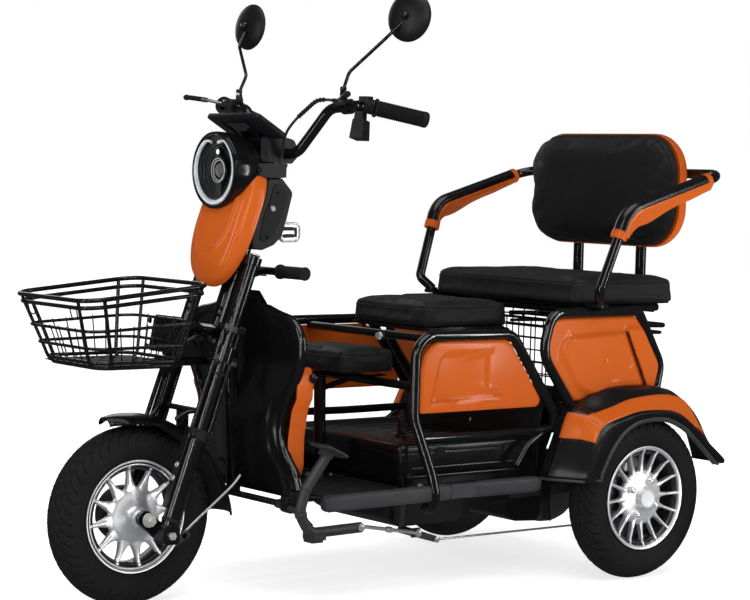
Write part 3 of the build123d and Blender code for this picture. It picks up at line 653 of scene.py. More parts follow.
    def merge(self, other):
        o = len(self.v)
        self.v.extend(other.v)
        self.f.extend([i + o for i in f] for f in other.f)
        self.m.extend(other.m)
        return self

    def obj(self, name, mats, body, replaces=(), slot=None, bevel=0.0, bevel_seg=2, angle=32, weld=0.0, solidify=0.0,
            subsurf=0, fix_normals=True, bevel_angle=32):
        me = bpy.data.meshes.new(name)
        co = np.array(self.v, float)
        co[:, 0] -= XC
        co /= 1000.0
        me.from_pydata([tuple(c) for c in co], [], self.f)
        mats = mats if isinstance(mats, (list, tuple)) else [mats]
        for m in mats:
            me.materials.append(MATS[m])
        me.polygons.foreach_set("material_index", self.m)
        me.validate()
        if fix_normals or weld:
            bm = bmesh.new()
            bm.from_mesh(me)
            if weld:
                bmesh.ops.remove_doubles(bm, verts=bm.verts, dist=weld / 1000.0)
            if fix_normals:
                bmesh.ops.recalc_face_normals(bm, faces=bm.faces)
            bm.to_mesh(me)
            bm.free()
        me.polygons.foreach_set("use_smooth", [True] * len(me.polygons))
        me.set_sharp_from_angle(angle=math.radians(angle))
        me.update()
        o = bpy.data.objects.new(name, me)
        scene.collection.objects.link(o)
        if solidify:
            s = o.modifiers.new("thickness", "SOLIDIFY")
            s.thickness = solidify / 1000.0
            s.offset = -1
            s.use_even_offset = True
        if bevel:
            b = o.modifiers.new("soft_edges", "BEVEL")
            b.width = bevel / 1000.0
            b.segments = bevel_seg
            b.limit_method = "ANGLE"
            b.angle_limit = math.radians(bevel_angle)
            b.harden_normals = False
            b.use_clamp_overlap = True
        if subsurf:
            s = o.modifiers.new("smooth", "SUBSURF")
            s.levels = subsurf
            s.render_levels = subsurf
        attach(o, body)
        if replaces:
            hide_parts(*([replaces] if isinstance(replaces, str) else replaces))
        return o


def circle2(r, n=32, c=(0, 0), start=0.0):
    return [(c[0] + r * math.cos(start + 2 * math.pi * i / n), c[1] + r * math.sin(start + 2 * math.pi * i / n)) for i in range(n)]


def round_rect(w, h, r, n=6, c=(0, 0)):
    out = []
    for sx, sy, a0 in ((1, 1, 0), (-1, 1, 90), (-1, -1, 180), (1, -1, 270)):
        for i in range(n + 1):
            a = math.radians(a0 + 90 * i / n)
            out.append((c[0] + sx * (w / 2 - r) + r * math.cos(a), c[1] + sy * (h / 2 - r) + r * math.sin(a)))
    return out


def round_poly(pts, radii, seg=6):
    """A closed 2-D outline with rounded corners."""
    m = len(pts)
    out = []
    for i in range(m):
        a, b, c = (Vector((*pts[(i + k) % m], 0)) for k in (-1, 0, 1))
        u, v = (a - b).normalized(), (c - b).normalized()
        turn = math.pi - u.angle(v)
        r = radii[i] if isinstance(radii, (list, tuple)) else radii
        if turn < 0.02 or r <= 0:
            out.append((b.x, b.y))
            continue
        t = min(r * math.tan(turn / 2), 0.48 * min((a - b).length, (c - b).length))
        r = t / math.tan(turn / 2)
        centre = b + (u + v).normalized() * (r / math.cos(turn / 2))
        e0, e1 = b + u * t - centre, b + v * t - centre
        k = max(2, int(seg * turn / (math.pi / 2)) + 1)
        for j in range(k + 1):
            w = j / k
            q = centre + (e0 * math.sin((1 - w) * turn) + e1 * math.sin(w * turn)) / math.sin(turn)
            out.append((q.x, q.y))
    return out


def smooth01(x):
    x = max(0.0, min(1.0, x))
    return x * x * (3 - 2 * x)


def hex_bolt(g, c, axis, r=5.0, h=4.0, washer=True, mat_index=0):
    c, ax = V(c), V(axis).normalized()
    if washer:
        g.lathe([(0.01, 0), (r * 1.55, 0), (r * 1.55, 1.0), (0.01, 1.0)], c, ax, n=20, mat_index=mat_index)
    ref = V(0, 0, 1) if abs(ax.z) < 0.9 else V(1, 0, 0)
    e1 = (ref - ax * ref.dot(ax)).normalized()
    e2 = ax.cross(e1)
    g.prism(circle2(r, 6), c + ax * (1.0 if washer else 0), e1, e2, ax, h, mat_index)
    return g


def dome_bolt(g, c, axis, r=5.0, h=3.2, mat_index=0):
    prof = [(0.01, 0), (r, 0), (r, h * 0.3), (r * 0.85, h * 0.72), (r * 0.5, h * 0.96), (r * 0.42, h), (r * 0.38, h * 0.6), (0.01, h * 0.6)]
    g.lathe(prof, c, axis, n=18, mat_index=mat_index)
    return g

# ------------------------------------------------------------------------------------------------ tyres
def tyre_section(n, bead=30.5):
    """Half outline from bead to crown, mirrored: (radius, y) with the arc length across, for n points."""
    k = (bead - 30.5) / 8.0
    half = [(113.5, bead), (119.0, 33.6 + 6.6 * k), (127.0, 36.8 + 3.4 * k), (137.0, 38.7), (147.0, 39.0), (156.5, 37.9), (165.0, 34.6), (172.0, 28.6),
            (177.2, 20.8), (180.6, 11.6), (182.6, 4.0)]
    pts = [V(y, 0, r) for r, y in half] + [V(-y, 0, r) for r, y in reversed(half)]
    line = catmull(pts, 12)
    length = [0.0]
    for a, b in zip(line, line[1:]):
        length.append(length[-1] + (b - a).length)
    total = length[-1]
    out = []
    k = 0
    for i in range(n):
        s = total * i / (n - 1)
        while k < len(line) - 2 and length[k + 1] < s:
            k += 1
        w = (s - length[k]) / max(1e-9, length[k + 1] - length[k])
        q = line[k].lerp(line[k + 1], w)
        out.append((q.z, q.x))
    return out


def build_tyre(name, node, body, cx, cy, phase, bead=30.5):
    nu, nv = ((528, 64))
    sec = tyre_section(nv, bead)
    r = np.array([a for a, b in sec])
    y = np.array([b for a, b in sec])
    dr = np.gradient(r)
    dy = np.gradient(y)
    ln = np.hypot(dr, dy)
    nr, ny = -dy / ln, dr / ln
    flip = np.sign(nr[nv // 2])
    nr, ny = nr * flip, ny * flip
    th = np.arange(nu) * 2 * math.pi / nu + phase
    T, R = np.meshgrid(th, r, indexing="ij")
    Y = np.broadcast_to(y, T.shape)
    NR = np.broadcast_to(nr, T.shape)
    NY = np.broadcast_to(ny, T.shape)
    arc = T * 175.0
    ay = np.abs(Y)
    onto = np.clip((R - 158.0) / 6.0, 0, 1)

    def groove(d, w, soft=1.0):
        return np.clip((w / 2 + soft - np.abs(d)) / (2 * soft), 0, 1)

    pitch = 2 * math.pi * 175.0 / 44
    side = np.where(Y >= 0, 1.0, -1.0)
    # slanted lugs that run from near the middle to the shoulder, staggered left to right
    u = arc + side * pitch * 0.25 + 0.95 * ay + 0.010 * ay * ay
    d1 = (u + pitch / 2) % pitch - pitch / 2
    g1 = groove(d1, 4.6) * np.clip((ay - 6.0) / 2.0, 0, 1) * np.clip((R - 150.0) / 5.0, 0, 1)
    # short sipes between them on the shoulder
    d2 = (u + pitch) % pitch - pitch / 2
    g2 = groove(d2, 2.6) * np.clip((ay - 19.0) / 2.0, 0, 1) * np.clip((R - 157.0) / 4.0, 0, 1) * 0.6
    # two wavy grooves along the tread
    wav = 2.4 * np.sin(arc * 2 * math.pi / pitch)
    g3 = groove(ay - 8.5 - wav * 0.6, 3.6) * onto
    g4 = groove(ay - 21.5 - wav * 0.5, 3.0) * onto * 0.8
    depth = 3.2 * np.maximum.reduce([g1, g2, g3, g4])
    # rings moulded into the side wall
    ring = 0.55 * np.exp(-((R - 151.0) / 1.1) ** 2) + 0.5 * np.exp(-((R - 122.5) / 1.2) ** 2) + 0.35 * np.exp(-((R - 126.0) / 0.9) ** 2)
    tick = 0.4 * (np.sin(T * 150) > 0.2) * np.clip(1 - np.abs(R - 137.0) / 2.2, 0, 1) * 0.0
    off = -depth + ring * (ay < 38.4) + tick
    R2, Y2 = R + NR * off, Y + NY * off
    X = cx + R2 * np.cos(T)
    Z = 183.0 + R2 * np.sin(T)
    Yw = cy + Y2
    co = np.stack([(X - XC) / 1000, Yw / 1000, Z / 1000], axis=-1).reshape(-1, 3)
    i = np.arange(nu)
    j = np.arange(nv - 1)
    I, J = np.meshgrid(i, j, indexing="ij")
    a = I * nv + J
    b = ((I + 1) % nu) * nv + J
    quads = np.stack([a, a + 1, b + 1, b], axis=-1).reshape(-1, 4)
    # inner face between the beads closes the tyre on the rim
    jn = i * nv
    k = ((i + 1) % nu) * nv
    inner = np.stack([jn + nv - 1, jn, k, k + nv - 1], axis=-1)
    faces = np.concatenate([quads, inner])
    me = bpy.data.meshes.new(name)
    me.vertices.add(len(co))
    me.vertices.foreach_set("co", co.ravel())
    me.loops.add(faces.size)
    me.loops.foreach_set("vertex_index", faces.ravel())
    me.polygons.add(len(faces))
    me.polygons.foreach_set("loop_start", np.arange(0, faces.size, 4))
    me.update(calc_edges=True)
    me.validate()
    bm = bmesh.new()
    bm.from_mesh(me)
    bmesh.ops.recalc_face_normals(bm, faces=bm.faces)
    bm.to_mesh(me)
    bm.free()
    me.polygons.foreach_set("use_smooth", [True] * len(me.polygons))
    me.set_sharp_from_angle(angle=math.radians(38))
    me.materials.append(MATS["tyre"])
    o = bpy.data.objects.new(name, me)
    scene.collection.objects.link(o)
    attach(o, body)
    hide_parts(node)
    return o


build_tyre("tyre_front", "front_tyre", "front_wheel", 1120.0, 0.0, 0.0, 22.5)
build_tyre("tyre_rear_left", "rear_tyre_left", "rear_wheel_left", 0.0, 316.0, 0.3)
build_tyre("tyre_rear_right", "rear_tyre_right", "rear_wheel_right", 0.0, -316.0, 0.9)


# ------------------------------------------------------------------------------------------------ rims
def spoke(g, c, s, ang, prof, y_face, thick, mat_index=0):
    """One tapered spoke. prof is (r, half width, face y, thickness) along its length; c is the wheel centre, s the side."""
    rad = V(math.cos(ang), 0, math.sin(ang))
    tan = V(-math.sin(ang), 0, math.cos(ang))
    rows = []
    for r, w, yf, th in prof:
        e = min(2.2, w * 0.5)
        sec = [(-w, yf - th), (-w, yf - e * 0.8), (-w + e, yf), (0, yf + 0.9), (w - e, yf), (w, yf - e * 0.8), (w, yf - th)]
        rows.append([V(c) + rad * r + tan * a + V(0, s * b, 0) for a, b in sec])
    g.grid(rows, mat_index, close_v=True)
    m = len(rows[0])
    base = len(g.v) - len(rows) * m
    g.f.append([base + k for k in range(m)])
    g.f.append([base + (len(rows) - 1) * m + k for k in range(m - 1, -1, -1)])
    g.m.extend([mat_index, mat_index])


def front_rim():
    c = (1120.0, 0.0, 183.0)
    g = Geo()
    # black barrel with a bright rolled edge each side
    g.lathe([(97.5, -22), (103, -18), (103, 18), (97.5, 22), (95.0, 17), (94.0, 0), (95.0, -17)], c, (0, 1, 0), n=112, mat_index=1)
    for s in (1, -1):
        g.lathe([(103, s * 18), (106, s * 21), (110.4, s * 22.4), (110.8, s * 24.0), (107.0, s * 23.4), (103.6, s * 22.4), (100.6, s * 20.4), (97.4, s * 17)],
                c, (0, 1, 0), n=128, mat_index=1)
        g.lathe([(110.4, s * 22.0), (113.6, s * 23.6), (115.4, s * 25.6), (115.8, s * 27.4), (114.8, s * 28.6), (113.2, s * 28.4), (111.4, s * 26.6), (110.6, s * 24.8)],
                c, (0, 1, 0), n=128, mat_index=0)
        g.lathe([(104.6, s * 22.9), (106.2, s * 23.4), (107.6, s * 24.4), (106.6, s * 25.2), (104.8, s * 24.4), (103.6, s * 23.4)], c, (0, 1, 0), n=128, mat_index=0)
    # one broad dish carries the spokes on the left; the right face is its plain back
    g.lathe([(8.2, -40), (8.2, 47.5), (14.0, 47.5), (16.2, 45.5), (17.2, 38), (19.6, 33.5), (26, 29.6), (36, 26.2), (46, 23.6), (56, 21.4), (60.5, 18.8), (61.0, 15), (58, 10.5),
             (40, 9.0), (26, 2), (24, -14), (24, -40), (16, -46), (8.2, -46)], c, (0, 1, 0), n=84, mat_index=0)
    for k in range(12):
        ang = math.radians(82 + 30 * k)
        spoke(g, c, 1, ang, [(52, 13.5, 21.9, 12.5), (60, 10.8, 20.9, 12), (70, 7.4, 20.0, 11), (82, 4.9, 19.6, 10), (94, 4.6, 20.0, 9.5), (103.5, 6.2, 21.6, 9.5)], 0, 0)
    o = g.obj("rim_front", ["alloy", "wheel_black"], "front_wheel", "front_rim", "rim", bevel=0.9, bevel_seg=2, bevel_angle=40)
    d = Geo()
    # brake drum behind the dish
    d.lathe([(24, -44), (52, -44), (56, -40), (57, -34), (57, -14), (52, -8), (26, -8), (24, -12)], c, (0, 1, 0), n=80, mat_index=0)
    for r in (57.6,):
        for y in (-32, -26, -20):
            d.lathe([(56.5, y - 1.4), (r, y - 1), (r, y + 1), (56.5, y + 1.4)], c, (0, 1, 0), n=80, mat_index=0)
    d.obj("drum_front", "cast_black", "front_wheel", slot="rim", angle=34)
    # valve stem
    v = Geo()
    a = math.radians(262)
    rad = V(math.cos(a), 0, math.sin(a))
    v.tube([V(c) + rad * 96 + V(0, 6, 0), V(c) + rad * 84 + V(0, 8, 0), V(c) + rad * 78 + V(0, 12, 0)], [3.2, 2.8, 2.8], n=12)
    v.obj("valve_front", "rubber", "front_wheel", slot="rubber")
    return o


def rear_rim(sgn, name, node, body):
    c = (0.0, sgn * 316.0, 183.0)
    s = sgn
    g = Geo()
    g.lathe([(97.5, -s * 28), (103, -s * 24), (103, s * 24), (97.5, s * 28), (95.5, s * 20), (94.5, 0), (95.5, -s * 20)], c, (0, 1, 0), n=112, mat_index=1)
    for q in (1, -1):
        g.lathe([(103, q * 24), (106, q * 29), (108.4, q * 30.6), (108.6, q * 33.0), (105.6, q * 32.2), (102.6, q * 30.8), (99.6, q * 28.0), (97.0, q * 22)],
                c, (0, 1, 0), n=128, mat_index=1)
        g.lathe([(107.0, q * 30.0), (113.0, q * 31.6), (115.4, q * 33.6), (115.8, q * 35.6), (114.6, q * 36.8), (112.0, q * 36.4), (109.0, q * 35.0), (107.4, q * 33.4)],
                c, (0, 1, 0), n=128, mat_index=0)
    # dish with a raised middle
    g.lathe([(10.4, -s * 10), (10.4, s * 30), (22, s * 30), (24.6, s * 29.5), (30, s * 27.6), (48, s * 26.4), (57, s * 25.0), (60.5, s * 22), (60.5, s * 13), (54, s * 9), (26, s * 6),
             (26, -s * 10)], c, (0, 1, 0), n=72, mat_index=0)
    # dark inner web behind the spokes
    g.lathe([(26, s * 4), (60, s * 2), (88, -s * 1), (95.4, -s * 5), (95.4, -s * 8), (88, -s * 4.5), (60, -s * 1.5), (26, s * 0.5)], c, (0, 1, 0), n=72, mat_index=1)
    # hub cap
    g.lathe([(0.01, s * 20), (23.2, s * 20), (23.2, s * 40.5), (22.4, s * 43.2), (20.6, s * 44.6), (18.2, s * 44.6), (17.4, s * 43.4), (0.01, s * 43.2)],
            c, (0, 1, 0), n=72, mat_index=0)
    for q in range(16):
        a = 2 * math.pi * q / 16
        p = V(c) + V(math.cos(a) * 23.2, s * 33, math.sin(a) * 23.2)
        R = Matrix.Rotation(-a, 3, "Y")
        g.box(p, (1.6, 13, 2.2), R, 0)
    for k in range(16):
        ang = math.radians(88 + 22.5 * k)
        spoke(g, c, s, ang, [(52, 8.4, 25.6, 13), (60, 6.0, 25.2, 13), (68, 3.9, 25.8, 12), (74, 3.0, 26.4, 12), (84, 2.9, 27.6, 11), (98.0, 3.1, 29.6, 10), (108.0, 4.8, 33.4, 9)], 0, 0)
    # four lug nuts in shallow seats
    for k in range(4):
        a = math.radians(28 + 90 * k)
        p = V(c) + V(math.cos(a) * 41.5, s * 26.6, math.sin(a) * 41.5)
        g.lathe([(12.2, -s * 2), (12.2, s * 0.6), (10.6, s * 1.2), (10.2, -s * 1.0), (7.0, -s * 1.2)], p, (0, 1, 0), n=28, mat_index=0, closed=False)
        g.prism(circle2(8.6, 6, start=0.3 * k), p, (1, 0, 0), (0, 0, 1), (0, s, 0), 7.0, 2)
        g.lathe([(0.01, s * 7), (8.0, s * 7), (6.6, s * 10.4), (4.2, s * 12.2), (0.01, s * 12.6)], p, (0, 1, 0), n=20, mat_index=2)
    o = g.obj(name, ["alloy", "wheel_black", "chrome"], body, node, "rim", bevel=0.5, bevel_seg=2, bevel_angle=40)
    v = Geo()
    a = math.radians(245)
    rad = V(math.cos(a), 0, math.sin(a))
    v.tube([V(c) + rad * 96 + V(0, s * 6, 0), V(c) + rad * 86 + V(0, s * 10, 0), V(c) + rad * 80 + V(0, s * 18, 0)], [3.2, 2.8, 2.8], n=12)
    v.tube([V(c) + rad * 80 + V(0, s * 18, 0), V(c) + rad * 76 + V(0, s * 23, 0)], 3.3, n=12)
    v.obj(name.replace("rim", "valve"), "rubber", body, slot="rubber")
    return o


front_rim()
rear_rim(1, "rim_rear_left", "rear_rim_left", "rear_wheel_left")
rear_rim(-1, "rim_rear_right", "rear_rim_right", "rear_wheel_right")
# ------------------------------------------------------------------------------------------------ soft goods
from mathutils import noise as mnoise
from mathutils.kdtree import KDTree


def mesh_object(name, verts, faces, material):
    me = bpy.data.meshes.new(name)
    me.from_pydata([tuple(P(v)) for v in verts], [], faces)
    me.validate()
    bm = bmesh.new()
    bm.from_mesh(me)
    bmesh.ops.recalc_face_normals(bm, faces=bm.faces)
    bm.to_mesh(me)
    bm.free()
    me.materials.append(MATS[material])
    o = bpy.data.objects.new(name, me)
    scene.collection.objects.link(o)
    return o


def apply_modifiers(o):
    dg = bpy.context.evaluated_depsgraph_get()
    dg.update()
    me = bpy.data.meshes.new_from_object(o.evaluated_get(dg))
    o.modifiers.clear()
    old = o.data
    o.data = me
    bpy.data.meshes.remove(old)
    return o


def puff(o, voxel, pressure, cap, pinned, frames=20):
    """Remesh, inflate as cloth, cap the movement, apply, and subdivide once."""
    r = o.modifiers.new("voxels", "REMESH")
    r.mode = "VOXEL"
    r.voxel_size = voxel / 1000.0
    apply_modifiers(o)
    me = o.data
    n = len(me.vertices)
    before = np.empty(n * 3)
    me.vertices.foreach_get("co", before)
    before = before.reshape(-1, 3)
    vg = o.vertex_groups.new(name="held")
    for i in range(n):
        w = pinned(before[i] * 1000.0 + np.array([XC, 0, 0]))
        if w > 0:
            vg.add([i], w, "REPLACE")
    c = o.modifiers.new("cloth", "CLOTH")
    s = c.settings
    s.quality = 5
    s.mass = 0.3
    s.tension_stiffness = 15
    s.compression_stiffness = 15
    s.shear_stiffness = 8
    s.bending_stiffness = 1.5
    s.use_pressure = True
    s.uniform_pressure_force = pressure
    s.vertex_group_mass = "held"
    s.effector_weights.gravity = 0
    c.collision_settings.use_collision = False
    c.collision_settings.use_self_collision = False
    c.point_cache.frame_start = 1
    c.point_cache.frame_end = frames
    for f in range(1, frames + 1):
        scene.frame_set(f)
    dg = bpy.context.evaluated_depsgraph_get()
    ev = o.evaluated_get(dg).to_mesh()
    after = np.empty(n * 3)
    ev.vertices.foreach_get("co", after)
    after = after.reshape(-1, 3)
    o.evaluated_get(dg).to_mesh_clear()
    o.modifiers.clear()
    o.vertex_groups.clear()
    scene.frame_set(1)
    d = after - before
    ln = np.linalg.norm(d, axis=1)
    k = np.where(ln > 1e-9, np.tanh(ln / (cap / 1000.0)) * (cap / 1000.0) / np.maximum(ln, 1e-9), 0)
    co = before + d * k[:, None]
    me.vertices.foreach_set("co", co.ravel())
    me.update()
    sub = o.modifiers.new("fine", "SUBSURF")
    sub.levels = 1
    sub.render_levels = 1
    apply_modifiers(o)
    return o


def get_mm(o):
    n = len(o.data.vertices)
    co = np.empty(n * 3)
    o.data.vertices.foreach_get("co", co)
    return co.reshape(-1, 3) * 1000.0 + np.array([XC, 0, 0])


def set_mm(o, co):
    o.data.vertices.foreach_set("co", ((co - np.array([XC, 0, 0])) / 1000.0).ravel())
    o.data.update()


def normals(o):
    n = len(o.data.vertices)
    nm = np.empty(n * 3)
    o.data.vertices.foreach_get("normal", nm)
    return nm.reshape(-1, 3)


def groove(o, lines, depth, width, lip=0.0):
    """Press seam lines into a finished pad, with a small swell each side."""
    pts = [p for ln in lines for p in ln]
    kd = KDTree(len(pts))
    for i, p in enumerate(pts):
        kd.insert(V(p), i)
    kd.balance()
    co, nm = get_mm(o), normals(o)
    off = np.zeros(len(co))
    for i, p in enumerate(co):
        d = kd.find(Vector(p))[2]
        if d < width * 5:
            off[i] = -depth * math.exp(-(d / width) ** 2) + lip * math.exp(-((d - width * 2.2) / width) ** 2)
    set_mm(o, co + nm * off[:, None])


def ripple(o, amp, scale, mask=None, axis_scale=(1, 1, 1)):
    co, nm = get_mm(o), normals(o)
    off = np.zeros(len(co))
    for i, p in enumerate(co):
        k = 1.0 if mask is None else mask(p)
        if k:
            q = Vector((p[0] * axis_scale[0], p[1] * axis_scale[1], p[2] * axis_scale[2])) / scale
            off[i] = k * amp * (mnoise.noise(q) + 0.5 * mnoise.noise(q * 2.3 + Vector((7, 3, 1))))
    set_mm(o, co + nm * off[:, None])


def onto(o, pts, lift=0.0):
    """The points moved onto the pad's surface."""
    dg = bpy.context.evaluated_depsgraph_get()
    bm = bmesh.new()
    bm.from_mesh(o.data)
    tree = BVHTree.FromBMesh(bm)
    out = []
    for p in pts:
        loc, nor, _, _ = tree.find_nearest(P(p))
        q = loc + nor * (lift / 1000.0)
        out.append(V(q.x * 1000 + XC, q.y * 1000, q.z * 1000))
    bm.free()
    return out


def stitches(g, path, pitch, length, r, mat_index=0):
    acc = 0.0
    pts = path + [path[0]]
    cum = [0.0]
    for a, b in zip(pts, pts[1:]):
        cum.append(cum[-1] + (b - a).length)
    total = cum[-1]
    n = int(total / pitch)
    k = 0

    def at(s):
        nonlocal k
        s %= total
        if cum[k] > s:
            k = 0
        while k < len(cum) - 2 and cum[k + 1] < s:
            k += 1
        w = (s - cum[k]) / max(1e-9, cum[k + 1] - cum[k])
        return pts[k].lerp(pts[k + 1], w)

    for i in range(n):
        s = total * i / n
        a, m, b = at(s), at(s + length / 2), at(s + length)
        g.tube([a, m, b], [r * 0.6, r, r * 0.6], n=6, mat_index=mat_index)
    return g


def slab(x0, x1, y0, y1, z0, z1, rc, re_top, re_bot, shrink):
    """Closed rounded slab as rows of outlines, smaller all round by shrink except at its base."""
    cx, cy = (x0 + x1) / 2, (y0 + y1) / 2
    w, d = x1 - x0 - 2 * shrink, y1 - y0 - 2 * shrink
    zt = z1 - shrink
    rows = []
    prof = []
    for k in range(7):
        a = math.radians(90 * k / 6)
        prof.append((re_bot * (1 - math.sin(a)), z0 + re_bot * (1 - math.cos(a))))
    for k in range(9):
        a = math.radians(90 * k / 8)
        prof.append((re_top * (1 - math.cos(a)), zt - re_top + re_top * math.sin(a)))
    for i, z in prof:
        rows.append([V(x, y, z) for x, y in round_rect(w - 2 * i, d - 2 * i, max(rc - shrink - i, 3), 8, (cx, cy))])
    v, f = [], []
    m = len(rows[0])
    for r in rows:
        v.extend(r)
    for a in range(len(rows) - 1):
        for b in range(m):
            f.append([a * m + b, a * m + (b + 1) % m, (a + 1) * m + (b + 1) % m, (a + 1) * m + b])
    f.append(list(range(m - 1, -1, -1)))
    f.append([(len(rows) - 1) * m + b for b in range(m)])
    return v, f


def seat_pad(name, node, body, dims, rc, voxel, cap, pressure=4.0, seam_drop=7.0, crown=0.0, shrink=4.0, side_line=True):
    x0, x1, y0, y1, z0, z1 = dims
    v, f = slab(x0, x1, y0, y1, z0 + 0.4, z1, rc, 11.0, 7.0, shrink)
    o = mesh_object(name, v, f, "leather")
    puff(o, voxel, pressure, cap, lambda p: 1.0 if p[2] < z0 + 5 else 0.0)
    co = get_mm(o)
    # bring it back to the pad's own size, with a light crown left on top
    cx, cy = (x0 + x1) / 2, (y0 + y1) / 2
    for ax, (lo, hi) in enumerate(((x0, x1), (y0, y1))):
        a, b = co[:, ax].min(), co[:, ax].max()
        co[:, ax] = lo + (co[:, ax] - a) * (hi - lo) / (b - a)
    top = co[:, 2].max()
    tgt = z1 + crown
    up = np.clip((co[:, 2] - z0) / (top - z0), 0, 1)
    co[:, 2] = np.where(co[:, 2] > z0, z0 + up * (tgt - z0), co[:, 2])
    # the sides draw in a little between the corners
    u = (co[:, 0] - cx) / ((x1 - x0) / 2)
    w = (co[:, 1] - cy) / ((y1 - y0) / 2)
    h = np.clip((co[:, 2] - z0) / (z1 - z0), 0, 1)
    draw = 2.2 * np.sin(np.pi * h)
    co[:, 0] -= np.sign(u) * np.clip(np.abs(u) - 0.86, 0, 1) / 0.14 * draw * (1 - w ** 2)
    co[:, 1] -= np.sign(w) * np.clip(np.abs(w) - 0.9, 0, 1) / 0.1 * draw * (1 - u ** 2)
    set_mm(o, co)
    ripple(o, 0.9, 46.0, lambda p: 1.0 if p[2] > z0 + 6 else 0.0)
    ripple(o, 0.55, 15.0, lambda p: smooth01((p[2] - z0 - 4) / 12) * (1 - smooth01((p[2] - z1 + 22) / 12)), (1, 1, 0.35))
    # seam round the top edge and one just above the base
    ring = [V(x, y, z1 - seam_drop) for x, y in round_rect(x1 - x0 + 4, y1 - y0 + 4, rc + 2, 14, (cx, cy))]
    dense = []
    for a, b in zip(ring, ring[1:] + ring[:1]):
        k = max(1, int((b - a).length / 3.0))
        dense += [a.lerp(b, j / k) for j in range(k)]
    top_seam = onto(o, dense)
    groove(o, [top_seam], 1.7, 2.3, 0.5)
    low = onto(o, [V(p.x, p.y, z0 + 8) for p in dense])
    groove(o, [low], 0.9, 2.4, 0.2)
    # sewn corners: a short seam down each rounded corner
    corners = []
    for sx, sy in ((1, 1), (1, -1), (-1, 1), (-1, -1)):
        q = rc * (1 - math.sqrt(0.5))
        px, py = (x1 if sx > 0 else x0) - sx * q, (y1 if sy > 0 else y0) - sy * q
        corners.append(onto(o, [V(px + sx * 6, py + sy * 6, z0 + 6 + (z1 - seam_drop - z0 - 6) * j / 24) for j in range(25)]))
    if side_line:
        groove(o, corners, 1.0, 1.8, 0.25)
    me = o.data
    # painted light: the sides below the top seam take the lighter, bluer copy of the vinyl
    me.materials.append(MATS["leather_side"])
    nv = normals(o)
    cm = get_mm(o)
    for p in me.polygons:
        p.use_smooth = True
        c = p.center
        if c.z * 1000 < z1 - seam_drop - 0.2 and abs(p.normal.z) < 0.85:
            p.material_index = 1
    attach(o, body)
    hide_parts(node)
    # welt and stitching
    g = Geo()
    welt = onto(o, [p + V(0, 0, 0.6) for p in top_seam], 0.2)
    g.tube(welt, 1.25, n=8, closed=True, mat_index=0)
    up1 = onto(o, [V(cx + (p.x - cx) * (1 - 5.5 / ((x1 - x0) / 2)), cy + (p.y - cy) * (1 - 5.5 / ((y1 - y0) / 2)), z1 + 8) for p in dense], 0.1)
    stitches(g, up1, 5.2, 3.4, 0.5, 1)
    # the welt takes the lighter vinyl copy: painted highlight along the top edge
    g.obj(name + "_welt", ["leather_side", "strip"], body, slot="seat_cover", angle=60)
    return o


seat_pad("cushion_rear", "rear_seat_cushion", "frame", (-182, 132, -256, 256, 609, 668), 38, 7.0, 7, crown=2.0)
seat_pad("cushion_driver", "driver_seat_cushion", "driver_seat", (222, 466, -142, 142, 556, 612), 30, 6.0, 7, crown=1.5)
seat_pad("cushion_child", "child_seat_cushion", "frame", (521, 673, -113, 113, 462, 514), 20, 5.0, 6, crown=1.0, shrink=3.0)


